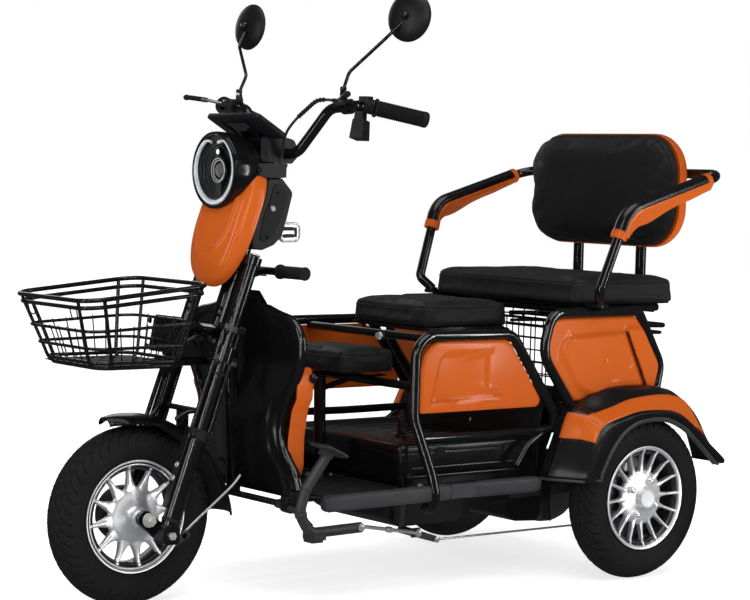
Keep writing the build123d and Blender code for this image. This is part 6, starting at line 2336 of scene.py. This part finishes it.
def floor_piece():
    z = 232.0
    out = [(842, 184), (798, 260), (788, 268), (318, 268), (318, 228), (198, 226), (198, -226), (318, -228), (318, -268), (788, -268), (798, -260), (842, -184)]
    out = round_poly(out, [6, 14, 10, 6, 6, 6, 6, 6, 6, 10, 14, 6], 4)
    g = Geo()
    g.prism(out, (0, 0, 219.5), (1, 0, 0), (0, 1, 0), (0, 0, 1), 9.5)
    g.prism(round_poly([(690, 262), (324, 262), (324, 222), (204, 220), (204, -220), (324, -222), (324, -262), (690, -262)], 8, 4), (0, 0, 210.5), (1, 0, 0), (0, 1, 0), (0, 0, 1), 10)
    g.obj("floor_pan", "black_plastic", "frame", "floorboard", "black_plastic", bevel=2.4, bevel_seg=3, angle=40)
    # ribbed mat: panels of long ribs with a rolled border
    m = Geo()
    border = [V(x, y, 230.6) for x, y in round_poly([(828, 178), (790, 246), (612, 246), (612, -246), (790, -246), (828, -178)], [12, 22, 14, 14, 22, 12], 6)]
    m.tube(border, 2.6, n=10, closed=True, squash=(4.0, 2.2, (0, 0, 1)))
    for k in range(-17, 18):
        y = k * 13.0
        if abs(y) < 22:
            continue
        x1 = 800 if abs(y) < 186 else 800 - (abs(y) - 186) * 0.58
        m.tube(rounded_path([(622, y, 230.4), (x1, y, 230.4)], 0, 8), 2.2, n=6, squash=(2.6, 1.8, (0, 0, 1)))
    for s in (-1, 1):
        for x in (672, 742):
            m.box((x, s * 120, 231.0), (9, 190, 2.8))
    m.obj("floor_mat", "carpet", "frame", slot="rubber", bevel=0.5)
    for s, tag in ((1, "left"), (-1, "right")):
        e = Geo()
        # bumper strip: a deep rounded bar in two lengths, joined by a sleeve
        prof = round_poly([(0, -16.5), (14, -16.5), (18, -11), (18, 12), (13, 16.5), (0, 16.5)], [2, 5, 6, 6, 5, 2], 4)

        def bar(x0, x1, z0, z1):
            secs = []
            L = x1 - x0
            for t, k in ((0.0, 0.55), (5.0 / L, 0.86), (12.0 / L, 1.0), (0.5, 1.0), (1 - 12.0 / L, 1.0), (1 - 5.0 / L, 0.86), (1.0, 0.55)):
                zz = z0 + (z1 - z0) * t
                secs.append([V(x0 + L * t, s * (281.5 + p * (0.75 + 0.25 * k)), zz + q * k) for p, q in prof])
            e.grid(secs, close_v=True)
            mm = len(prof)
            o = len(e.v) - 7 * mm
            e.f.append([o + q for q in range(mm)])
            e.f.append([o + 6 * mm + q for q in range(mm)])
            e.m.extend([0, 0])

        bar(264, 452, 226, 226)
        bar(514, 846, 226, 223)
        e.obj("floor_strip_" + tag, "strip", "frame", slot="rubber", angle=40)
        q = Geo()
        q.box((483, s * 290.5, 226), (70, 19, 30))
        q.obj("floor_strip_sleeve_" + tag, "strip", "frame", slot="rubber", bevel=2.2, bevel_seg=3)
    # under-floor mass: battery tray, splash guard
    u = Geo()
    tray = round_poly([(560, 208), (560, 150), (520, 128), (372, 128), (330, 140), (318, 160), (200, 160), (196, 208)], [4, 14, 18, 18, 12, 12, 8, 4], 4)
    u.prism(tray, (0, -132, 0), (1, 0, 0), (0, 0, 1), (0, 1, 0), 264)
    for x in (360, 410, 460, 510):
        u.box((x, 0, 132), (8, 258, 12))
    u.prism(round_poly([(194, 206), (194, 122), (160, 108), (96, 104), (84, 120), (84, 206)], 10, 4), (0, -104, 0), (1, 0, 0), (0, 0, 1), (0, 1, 0), 208)
    u.obj("under_tray", "black_satin", "frame", slot="black_plastic", bevel=3.0, bevel_seg=3, angle=40)


floor_piece()


def tub():
    g = Geo()
    z0, z1 = 229.0, 319.4
    lay = [(389, 444, 17, z0), (392, 447, 18, z0 + 4), (393.6, 449, 18, 290), (393.6, 449, 18, 299.4), (391, 446.6, 17, 300.6), (391, 446.6, 17, 302.6),
           (394.8, 449.8, 18, 303.6), (394.8, 449.8, 18, 310), (393.5, 448.5, 17, 314.6), (389, 444, 16, 318.2), (382, 437, 14, 319.6), (352, 407, 12, 319.8)]
    rows = [[V(x, y, z) for x, y in round_rect(w, d, r, 8, (397.5, 0))] for w, d, r, z in lay]
    g.grid(rows, close_v=True)
    m = len(rows[0])
    g.f.append(list(range(m)))
    g.f.append([(len(rows) - 1) * m + k for k in range(m)])
    g.m.extend([0, 0])
    g.obj("tub_body", "black_plastic", "frame", "battery_tub", "black_plastic", bevel=0.6, angle=34)
    d = Geo()
    for s in (-1, 1):
        # long shallow ribs in the sides and two latches
        for z in (250, 268):
            d.tube([(226, s * 224.0, z), (568, s * 224.0, z)], 2.0, n=8, squash=(3.2, 1.4, (0, 0, 1)))
        for x in (300, 490):
            d.box((x, s * 224.6, 300), (26, 2.6, 22))
        d.obj
    for k in range(-4, 5):
        d.box((395, k * 42, 320.0), (300, 6, 1.8))
    d.box((594.5, 0, 278), (1.6, 300, 26))
    d.obj("tub_ribs", "black_plastic", "frame", slot="black_plastic", bevel=0.5)
    # inner bulkhead that closes the seat box behind the tub
    w = Geo()
    for s in (-1, 1):
        w.box((212, s * 118, 348), (5, 226, 150), Matrix.Rotation(math.radians(-12), 3, "Y"))
    w.obj("seat_box_bulkhead", "black_satin", "frame", slot="black_plastic", bevel=1.0)
    a = Geo()
    # round inner wheel guards ahead of the rear wheels
    for s in (-1, 1):
        secs = []
        for i in range(25):
            t = math.radians(-14 + 92 * i / 24)
            row = []
            for r, y in ((197, 226), (201, 228), (203, 234), (203, 258), (200, 258), (200, 236), (197, 232)):
                row.append(V(r * math.cos(t), s * y, 183 + r * math.sin(t)))
            secs.append(row)
        a.grid(secs, close_v=True)
    a.obj("wheel_guard_inner", "black_plastic", "frame", slot="black_plastic", angle=40)
    h = Geo()
    h.box((590, 214, 366), (10, 14, 52))
    h.box((590, 214, 338), (16, 20, 8))
    h.lathe([(0.01, 0), (5, 0), (5, 3), (0.01, 3)], (595, 214, 378), (1, 0, 0), n=16)
    h.obj("side_latch", "black_gloss", "frame", slot="black_frame", bevel=0.8)


tub()


def shields():
    g = Geo()
    for s in (-1, 1):
        edge = catmull([(846, s * 84, 602), (846, s * 124, 592), (846, s * 168, 583), (846, s * 194, 563), (846, s * 206, 533), (846, s * 200, 487), (846, s * 179, 452),
                        (846, s * 158, 418), (846, s * 146, 387), (846, s * 142, 361), (846, s * 148, 328), (846, s * 167, 298), (846, s * 194, 270), (846, s * 208, 240)], 7)
        g.tube(edge, 9.8, n=28)
    # pressed sheet with a crease that follows the edge
    half = round_poly([(40, 640), (66, 622), (112, 603), (186, 596), (220, 560), (228, 520), (224, 440), (196, 365), (192, 330), (207, 275), (212, 250), (204, 229)],
                      [4, 8, 20, 30, 30, 60, 90, 60, 40, 40, 12, 4], 5)
    half = [p for p in half if p[0] > 40.5 and p[1] > 229.5]
    sheet = Geo()
    n = 56
    rows = []
    for i in range(n + 1):
        z = 230 + 408 * i / n
        w = float(np.interp(z, [229, 240, 270, 298, 328, 361, 387, 418, 452, 487, 533, 563, 583, 592, 602, 622, 640],
                            [206, 207, 193, 166, 147, 141, 145, 157, 178, 199, 205, 193, 167, 123, 88, 66, 46]))
        row = []
        m = 44
        for j in range(m + 1):
            u = -1 + 2 * j / m
            y = u * w
            edge_d = w - abs(y)
            x = 845.6
            x += 4.0 * smooth01((edge_d - 14) / 16.0)                    # raised field inside the edge
            x -= 3.2 * math.exp(-((edge_d - 34) / 6.0) ** 2)              # crease
            x += 4.2 * math.exp(-(y / 42.0) ** 2) * smooth01((z - 240) / 60) * smooth01((630 - z) / 60)   # centre fold
            x += 1.8 * math.exp(-((abs(y) - 96) / 20.0) ** 2) * smooth01((z - 260) / 60) * smooth01((600 - z) / 60)
            # the middle swells forward over the down tube
            bl = smooth01((z - 228) / 60.0) * smooth01((478 - z) / 130.0)
            reach = 22.0 + 8.0 * smooth01((z - 260) / 80.0)
            x += reach * math.exp(-(y / 92.0) ** 2) * (0.62 + 0.38 * smooth01((z - 228) / 50.0)) * (bl if z > 260 else smooth01((z - 220) / 20.0) * (0.75 + 0.25 * bl)) * smooth01(edge_d / 40.0)
            row.append(V(x, y, z))
        rows.append(row)
    sheet.grid(rows)
    back = [[V(p.x - 2.8, p.y, p.z) for p in r] for r in rows]
    o = len(sheet.v)
    sheet.grid(back, flip=True)
    mm = m + 1
    for i in range(n):
        for j in (0, m):
            sheet.f.append([i * mm + j, (i + 1) * mm + j, o + (i + 1) * mm + j, o + i * mm + j])
            sheet.m.append(0)
    for j in range(m):
        for i in (0, n):
            sheet.f.append([i * mm + j, i * mm + j + 1, o + i * mm + j + 1, o + i * mm + j])
            sheet.m.append(0)
    sheet.obj("shield_sheet", "black_plastic", "frame", "leg_shield", "black_plastic", angle=38)
    g.obj("shield_edge_tube", "black_gloss", "frame", "leg_shield", "black_frame", angle=50)
    d = Geo()
    for s in (-1, 1):
        d.box((858, s * 196, 217), (22, 30, 44))
        d.box((872, s * 198, 214), (12, 22, 30))
    for y in (-24, 24):
        d.tube(rounded_path([(869, y * 0 + (22 if y > 0 else -22), 634), (842, y, 622), (824, y, 606)], 10, 3), 4.0, n=10)
    d.obj("shield_fittings", "black_satin", "frame", slot="black_plastic", bevel=1.6, bevel_seg=2, angle=40)


shields()


def inner_cover():
    """Rider-side orange cover: the moulded dish behind the leg shield, with its folded rim."""
    ish = round_poly([(175, 500), (192, 470), (192, 425), (176, 400), (165, 340), (165, 280), (150, 240)], [14, 18, 16, 40, 60, 20, 6], 6)
    full = ish + [(-y, z) for y, z in reversed(ish)]
    cx, cz = 0.0, 372.0
    g = Geo()
    prof = [(1.0, 844.0), (1.0, 820.0), (0.998, 809.0), (0.985, 803.4), (0.955, 801.0), (0.90, 800.6), (0.865, 801.6), (0.845, 804.2), (0.80, 805.2), (0.72, 804.0), (0.45, 802.6), (0.15, 802.2)]
    rows = [[V(x, cx + (y - cx) * k, cz + (z - cz) * (1 - (1 - k) * (0.82 if k > 0.8 else 1.0))) for y, z in full] for k, x in prof]
    g.grid(rows, close_v=True)
    m = len(full)
    g.add([V(802.2, 0, cz)], [])
    last = (len(rows) - 1) * m
    ci = len(g.v) - 1
    for j in range(m):
        g.f.append([last + j, last + (j + 1) % m, ci])
        g.m.append(0)
    o = len(g.v)
    inn = [[V(x, cx + (y - cx) * k, cz + (z - cz) * k) for y, z in full] for k, x in ((0.982, 844.0), (0.98, 822.0), (0.965, 808.0), (0.9, 804.6), (0.2, 806.0))]
    # the inner face takes the darker orange copy: painted shade
    g.grid(inn, 1, close_v=True, flip=True)
    for j in range(m):
        g.f.append([j, (j + 1) % m, o + (j + 1) % m, o + j])
        g.m.append(0)
    g.obj("cover_inner", ["orange", "orange_painted_shade"], "frame", "inner_shield", "orange_plastic", angle=40, fix_normals=True)
    k = Geo()
    # glove tray lip and charging socket on the rider's side
    k.prism(round_rect(150, 58, 14, 6, (0, 440)), (800.2, 0, 0), (0, 1, 0), (0, 0, 1), (-1, 0, 0), 2.0)
    k.lathe([(0.01, 0), (14, 0), (14, 2.4), (12, 4), (0.01, 4.4)], (800.0, 92, 350), (-1, 0, 0), n=32)
    k.obj("cover_inner_fittings", "black_satin", "frame", slot="black_plastic", bevel=0.8)
    kn = Geo()
    kn.lathe([(0.01, 0), (7, 0), (9.6, 3), (10.2, 8), (8.6, 13), (5, 15.6), (0.01, 16)], V(806, 186, 466), (0, 1, 0), n=32)
    kn.obj("cover_knob", "black_gloss", "frame", slot="orange_plastic", angle=50)


inner_cover()


# ------------------------------------------------------------------------------------------------ foot brake
def foot_brake():
    g = Geo()
    path = rounded_path([(848, 300, 322), (898, 300, 258), (912, 300, 212), (886, 300, 170), (764, 300, 172)], [34, 34, 34], 4)
    g.tube(path, 10.8, n=28)
    # clamp collars and the second bar
    for a, b in ((6, 8), (26, 28)):
        i = int(len(path) * a / 60)
        g.lathe([(10.6, -5), (12.6, -4), (12.6, 4), (10.6, 5)], path[i], (path[i + 1] - path[i]), n=28)
    g.tube(rounded_path([(870, 280, 168), (852, 276, 166), (772, 272, 168)], 14, 4), 8.0, n=20)
    g.box((866, 290, 164), (30, 40, 18))
    g.box((870, 292, 158), (28, 30, 16))
    g.tube([(868, 160, 208), (872, 236, 204), (884, 300, 184)], 6.5, n=20)
    g.lathe([(0.01, -11), (9.6, -11), (10.8, -8), (10.8, 8), (0.01, 8)], path[-1], (-1, 0, 0), n=28)
    g.obj("brake_arm", "cast_black", "frame", "foot_brake", "black_frame", bevel=1.6, bevel_seg=2, angle=42)
    p = Geo()
    R = Matrix.Rotation(math.radians(-25), 3, "Y")
    c = V(842, 300, 333)
    pad = []
    n, m = 12, 10
    for side in (1, -1):
        rows = []
        for i in range(n + 1):
            u = -1 + 2 * i / n
            row = []
            for j in range(m + 1):
                v = -1 + 2 * j / m
                zc = 2.0 * v * v - 1.4 * u * u
                row.append(c + R @ V(u * 28.4 * (1 - 0.06 * v * v), v * 34 * (1 - 0.05 * u * u), zc + side * 2.4))
            rows.append(row)
        o = len(p.v)
        p.grid(rows, flip=(side < 0))
        pad.append(o)
    mm = m + 1
    for i in range(n):
        for j in (0, m):
            p.f.append([pad[0] + i * mm + j, pad[0] + (i + 1) * mm + j, pad[1] + (i + 1) * mm + j, pad[1] + i * mm + j])
            p.m.append(0)
    for j in range(m):
        for i in (0, n):
            p.f.append([pad[0] + i * mm + j, pad[0] + i * mm + j + 1, pad[1] + i * mm + j + 1, pad[1] + i * mm + j])
            p.m.append(0)
    for k in range(-4, 5):
        p.box(c + R @ V(k * 6.0, 0, 3.6), (2.4, 56, 2.6), R)
    p.box(c + R @ V(4, 0, -8), (26, 20, 12), R)
    p.obj("brake_pedal_pad", "cast_black", "frame", "foot_brake", "rubber", bevel=0.7, angle=40)
    r = Geo()
    r.tube([(764, 284, 174), (530, 202, 127)], 4.0, n=16)
    r.tube([(764, 284, 174), (764, 300, 174)], 4.0, n=16)
    q = V(764, 284, 174).lerp(V(530, 202, 127), 0.55)
    r.lathe([(4, -10), (6.4, -9), (6.4, 9), (4, 10)], q, V(234, 82, 47), n=6)
    r.obj("brake_link_rod", "steel", "frame", slot="steel", angle=40)
    v = Geo()
    v.tube([(530, 206, 127), (530, 144, 127)], 7.0, n=20)
    v.prism(round_poly([(-7, -9), (-7, 9), (104, 7), (104, -7)], 5, 4), V(530, 146, 127), V(-98, 0, -30).normalized(), V(-30, 0, 98).normalized(), (0, 1, 0), 6.5)
    v.tube([(530, 150, 127), (530, 150, 184)], 6.0, n=16)
    v.box((530, 198, 127), (22, 7, 20))
    v.obj("brake_bell_crank", "cast_black", "frame", slot="black_frame", bevel=1.2, angle=42)
    b = Geo()
    for c2 in ((530, 207, 127), (764, 311, 174)):
        b.lathe([(0.01, 0), (8.2, 0), (8.2, 2), (5.2, 2.2), (5.2, 5), (3.6, 6), (0.01, 6)], c2, (0, 1, 0), n=28)
    b.lathe([(0.01, 0), (7, 0), (7, 3), (0.01, 4)], (434, 153, 97.5), (0, 1, 0), n=24)
    b.tube([(438, 151, 97), (7.2, 150, 95)], 2.4, n=10)
    b.obj("brake_rod_rear", "steel", "frame", slot="steel", angle=40)


foot_brake()


# ------------------------------------------------------------------------------------------------ rear axle, shocks, lamp
def axle():
    g = Geo()
    g.tube([(0, -226, 183), (0, 226, 183)], 22, n=40)
    g.tube([(0, -341, 183), (0, 341, 183)], 10, n=28)
    for s in (-1, 1):
        g.lathe([(22, 200), (30, 204), (34, 216), (58, 226), (61.5, 232), (61.8, 274), (59, 278.6), (22, 278.6)], (0, 0, 183), (0, s, 0), n=72)
        for k in range(14):
            a = 2 * math.pi * k / 14
            g.box((60.6 * math.cos(a), s * 252, 183 + 60.6 * math.sin(a)), (2.2, 44, 5), Matrix.Rotation(-a, 3, "Y"))
        g.prism(round_poly([(0, 168), (208, 168), (208, 192), (0, 192)], 5, 4), (0, s * 115 if s > 0 else -135, 0), (1, 0, 0), (0, 0, 1), (0, 1, 0), 20)
        g.box((0, s * 150, 201), (44, 28, 22))
        g.box((0, s * 150, 150), (14, 14, 44))
    # housing with bolted rim
    prof = [(0.01, -62), (40, -62), (56, -58), (66, -50), (74, -40), (82, -24), (85.4, -8), (85.8, 0), (85.4, 8), (82, 24), (74, 40), (66, 50), (56, 58), (40, 62), (0.01, 62)]
    g.lathe(prof, (-12, 0, 166), (0, 1, 0), n=96)
    g.lathe([(84, -5), (85.9, -5), (85.9, 5), (84, 5)], (-12, 0, 166), (0, 1, 0), n=96)
    for k in range(10):
        a = 2 * math.pi * k / 10
        hex_bolt(g, (-12 + 79 * math.cos(a), 12, 166 + 79 * math.sin(a)), (0, 1, 0), 4.4, 6)
    for y in (-50, -30, 30, 50):
        r = 86 - abs(y) * 0.42
        g.lathe([(r - 6, y - 1.6), (r, y - 1.4), (r, y + 1.4), (r - 6, y + 1.6)], (-12, 0, 166), (0, 1, 0), n=72)
    g.obj("axle_housing", "cast_black", "frame", "drive_axle", "axle_black", angle=40)
    m = Geo()
    m.lathe([(30, -60), (58, -61), (61.6, -64), (61.8, -108), (58, -111.6), (30, -111.8), (0.01, -111.8)], (-34, 0, 168), (0, 1, 0), n=72)
    for k in range(22):
        a = 2 * math.pi * k / 22
        m.box((-34 + 59.4 * math.cos(a), -86, 168 + 59.4 * math.sin(a)), (4.6, 38, 2.2), Matrix.Rotation(-a, 3, "Y"))
    m.obj("axle_motor", "alloy_rough", "frame", slot="axle_black", angle=40)
    for s, tag in ((1, "left"), (-1, "right")):
        sh = Geo()
        ex, ey = V(1, 0, 0), V(0, 1, 0)
        pts = []
        turns = 7
        for i in range(turns * 24 + 1):
            a = 2 * math.pi * i / 24
            pts.append(V(19.2 * math.cos(a), s * 150 + 19.2 * math.sin(a), 222 + 104 * i / (turns * 24)))
        sh.tube(pts, 3.4, n=8)
        sh.obj("shock_coil_" + tag, "black_gloss", "frame", slot="black_frame", angle=60)
        b = Geo()
        b.lathe([(0.01, 212.4), (10, 212.4), (22.6, 214), (22.6, 219), (14, 221), (13, 275), (10.6, 277), (7, 278), (7, 330), (20, 332), (22.6, 334), (22.6, 339), (10, 341.6), (0.01, 341.6)],
                (0, s * 150, 0), (0, 0, 1), n=48)
        b.obj("shock_body_" + tag, "frame_satin", "frame", "rear_shocks", "black_frame", angle=34)


axle()


def lamp_rear():
    g = Geo()
    g.prism(round_rect(119, 39, 8, 6, (0, 420)), (-96.4, 0, 0), (0, 1, 0), (0, 0, 1), (-1, 0, 0), 13)
    g.obj("tail_lamp_body", "black_satin", "frame", "tail_lamp", "black_plastic", bevel=1.4, bevel_seg=2, angle=40)
    for y0, w, mt in ((0, 56, "red_lens"), (-43.5, 27, "amber_lens"), (43.5, 27, "amber_lens")):
        l_ = Geo()
        rows = []
        for k, d in ((1.0, 109.0), (1.0, 114.0), (0.97, 117.6), (0.9, 119.6), (0.7, 120.4), (0.3, 120.8)):
            rows.append([V(-d, y0 + y * k, 420 + z * (1 - (1 - k) * 1.2 if k > 0.6 else k)) for y, z in round_rect(w, 33, 5, 5)])
        l_.grid(rows, close_v=True)
        mm = len(rows[0])
        l_.f.append([5 * mm + q for q in range(mm)])
        l_.m.append(0)
        for q in range(int(w // 6)):
            yy = y0 - w / 2 + 5 + q * 6
            if abs(yy - y0) < w / 2 - 4:
                l_.box((-118.9, yy, 420), (1.6, 1.6, 24))
        l_.obj("tail_lamp_lens_%s" % ("mid" if y0 == 0 else ("right" if y0 < 0 else "left")), mt, "frame", slot="tail_lens", angle=40, fix_normals=True)
    b = Geo()
    b.box((-88, 0, 420), (18, 66, 24))
    b.tube([(-90, -54, 432), (-90, -54, 458)], 4, n=10)
    b.tube([(-90, 54, 432), (-90, 54, 458)], 4, n=10)
    b.obj("tail_lamp_bracket", "black_satin", "frame", slot="black_frame", bevel=1.0)


lamp_rear()


def seat_frames():
    g = Geo()
    g.prism(round_rect(118, 180, 10, 5, (598, 0)), (0, 0, 451), (1, 0, 0), (0, 1, 0), (0, 0, 1), 5)
    lip = [V(x, y, 454) for x, y in round_rect(122, 182, 10, 5, (597.5, 0))]
    g.tube(lip, 3.4, n=10, closed=True, squash=(1.8, 7.4, (0, 0, 1)))
    g.tube([(641, 0, 232), (646, 0, 453)], 13, n=32)
    g.lathe([(13, 229), (31.6, 229), (31.6, 233.4), (20, 234.6), (16, 240), (13.4, 246)], (641, 0, 0), (0, 0, 1), n=48)
    for s in (-1, 1):
        g.tube([(645, s * 2, 420), (600, s * 64, 451)], 6, n=14)
    g.obj("child_seat_post", "black_gloss", "frame", "child_seat_frame", "black_frame", bevel=0.8, angle=42)
    b = Geo()
    for k in range(4):
        a = math.pi / 4 + k * math.pi / 2
        hex_bolt(b, (641 + 25 * math.cos(a), 25 * math.sin(a), 234), (0, 0, 1), 4.2, 3.2)
    b.obj("child_post_bolts", "bolt", "frame", slot="steel", bevel=0.3)
    c = Geo()
    for s in (1,):
        c.lathe([(0.01, 0), (9, 0), (9, 14), (7.4, 16), (0.01, 16)], (560, s * 100, 540), (0.6, s * 0.4, 0), n=28)
    c.obj("seat_lock_barrel", "bolt", "frame", slot="steel", bevel=0.3)


seat_frames()


def chassis():
    g = Geo()
    for s in (-1, 1):
        prof = round_poly([(880, 207), (880, 214), (195, 214), (120, 372), (-185, 372), (-185, 342), (100, 342), (172, 184), (650, 184), (730, 207)], [2, 2, 14, 14, 3, 3, 12, 12, 10, 10], 4)
        g.prism(prof, (0, 135 if s > 0 else -165, 0), (1, 0, 0), (0, 0, 1), (0, 1, 0), 30)
    g.obj("rails", "frame_satin", "frame", "chassis_rails", "black_frame", bevel=2.0, bevel_seg=2, angle=40)
    c = Geo()
    for x, z, h in ((865, 210.5, 7), (575, 199, 30), (315, 199, 30), (-170, 357, 30), (100, 357, 30)):
        c.box((x, 0, z), (30, 269, h))
    c.obj("cross_members", "frame_satin", "frame", "chassis_cross_members", "black_frame", bevel=2.0, bevel_seg=2, angle=40)


chassis()


def chassis_details():
    g = Geo()
    for s in (-1, 1):
        for x in (575, 420, 315, 100, -170):
            z = 199 if x > 195 else 357
            g.prism(round_rect(34, 22, 4, 4, (x, z)), (0, s * 165.0 - (0 if s > 0 else 2.2), 0), (1, 0, 0), (0, 0, 1), (0, 1, 0), 2.2)
    g.obj("chassis_gussets", "frame_satin", "frame", slot="black_frame", bevel=0.5)
    b = Geo()
    for s in (-1, 1):
        for x in (575, 315, 100, -170):
            z = 199 if x > 195 else 357
            hex_bolt(b, (x, s * 167.2, z), (0, s, 0), 5.0, 3.8)
    b.obj("chassis_bolts", "bolt", "frame", slot="steel", bevel=0.3)
    # head tube rings
    h = Geo()
    for z, r in ((530, 25.5), (668, 25.5)):
        h.lathe([(22.2, -7), (r, -7), (r, 5), (r - 1.4, 7), (22.2, 7)], (axis_x(z), 0, z), UP, n=48)
    h.obj("head_tube_rings", "frame_satin", "frame", slot="black_frame", angle=34)
    # rear plate bracket
    p = Geo()
    p.prism(round_rect(150, 74, 8, 5, (0, 330)), (-187.5, 0, 0), (0, 1, 0), (0, 0, 1), (1, 0, 0), 2.2)
    p.obj("rear_plate_bracket", "frame_satin", "frame", slot="black_frame", bevel=0.5)


chassis_details()

# ------------------------------------------------------------------------------------------------ finish of the CAD nodes
def dress(node, material, smooth=True):
    o = NODES.get(node)
    if o is None:
        return
    o.data.materials.clear()
    o.data.materials.append(MATS[material])
    if smooth:
        for p in o.data.polygons:
            p.use_smooth = True
        o.data.set_sharp_from_angle(angle=math.radians(32))


DRESS = {
    "chassis_rails": "frame_satin", "chassis_cross_members": "frame_satin", "head_tube": "black_gloss", "side_hoops": "black_gloss",
    "rear_hoops": "black_gloss", "seat_cross_tubes": "black_gloss", "child_seat_frame": "black_gloss", "rear_seat_frame": "black_gloss",
    "backrest_posts": "black_gloss", "armrest_tube": "black_gloss", "cargo_basket": "wire", "steering_stem": "black_gloss",
    "handlebar": "black_gloss", "front_basket": "wire", "foot_brake": "cast_black", "rear_shocks": "black_gloss",
    "leg_shield": "black_plastic", "battery_tub": "black_plastic", "rear_fenders": "black_plastic", "switch_housing": "black_satin",
    "instrument_panel": "black_satin", "front_fender": "black_plastic", "mirrors": "black_satin", "floorboard": "carpet",
    "rear_deck": "black_matt", "brake_levers": "black_satin", "inner_shield": "orange", "front_side_panels": "orange",
    "rear_side_panels": "orange", "nose_cowl": "orange", "backrest_shell": "orange", "child_seat_cushion": "leather",
    "driver_seat_cushion": "leather", "rear_seat_cushion": "leather", "backrest_cushion": "leather", "hand_grips": "rubber",
    "armrest_pads": "rubber", "child_hand_grip": "rubber", "control_cables": "cable", "front_axle_links": "black_gloss",
    "headlamp": "lamp_black", "tail_lamp": "red_lens", "drive_axle": "cast_black", "fork_legs": "black_gloss",
    "driver_seat_pan": "frame_satin", "front_tyre": "tyre", "rear_tyre_left": "tyre", "rear_tyre_right": "tyre",
    "front_rim": "alloy", "rear_rim_left": "alloy", "rear_rim_right": "alloy",
}
for node_name, material_name in DRESS.items():
    if node_name in NODES and not NODES[node_name].hide_render:
        dress(node_name, material_name)

# a reflector card that lights the wheels alone
card_set = bpy.data.collections.new("card_receivers")
for o in list(bpy.data.objects):
    if o.name.startswith("rim_") or o.name.startswith("drum_"):
        card_set.objects.link(o)
for nm, loc, aim, w, h, power in (("rim_card", (-2.4, 3.2, 0.10), (0.1, 0.2, 0.2), 2.0, 1.1, 8.5), ("rim_card_front", (-1.1, 3.5, 0.0), (0.5, 0.1, 0.25), 1.8, 1.4, 30.0), ("rim_card_low", (0.6, 3.6, -0.6), (0.1, 0.2, 0.2), 2.4, 0.5, 7.0),
                                  ("rim_card_far", (-2.4, -3.2, 0.10), (0.1, -0.2, 0.2), 2.2, 1.2, 13.0)):
    card = area(nm, loc, aim, w, h, power)
    card.light_linking.receiver_collection = card_set

# two slim strips that draw the highlights along the black tubes
tube_set = bpy.data.collections.new("tube_receivers")
for o in list(bpy.data.objects):
    if o.type == "MESH" and o.name.startswith(("fork_", "hoop_side", "rear_hoops", "armrest_tube", "handlebar", "steering_stem", "shield_edge")):
        tube_set.objects.link(o)
for nm, loc, w, h, power in (("tube_strip_front", (3.4, 1.9, 0.9), 0.05, 2.6, 26.0), ("tube_strip_rear", (-2.0, 3.0, 1.2), 0.06, 2.4, 24.0)):
    strip = area(nm, loc, (0.1, 0, 0.6), w, h, power)
    strip.light_linking.receiver_collection = tube_set
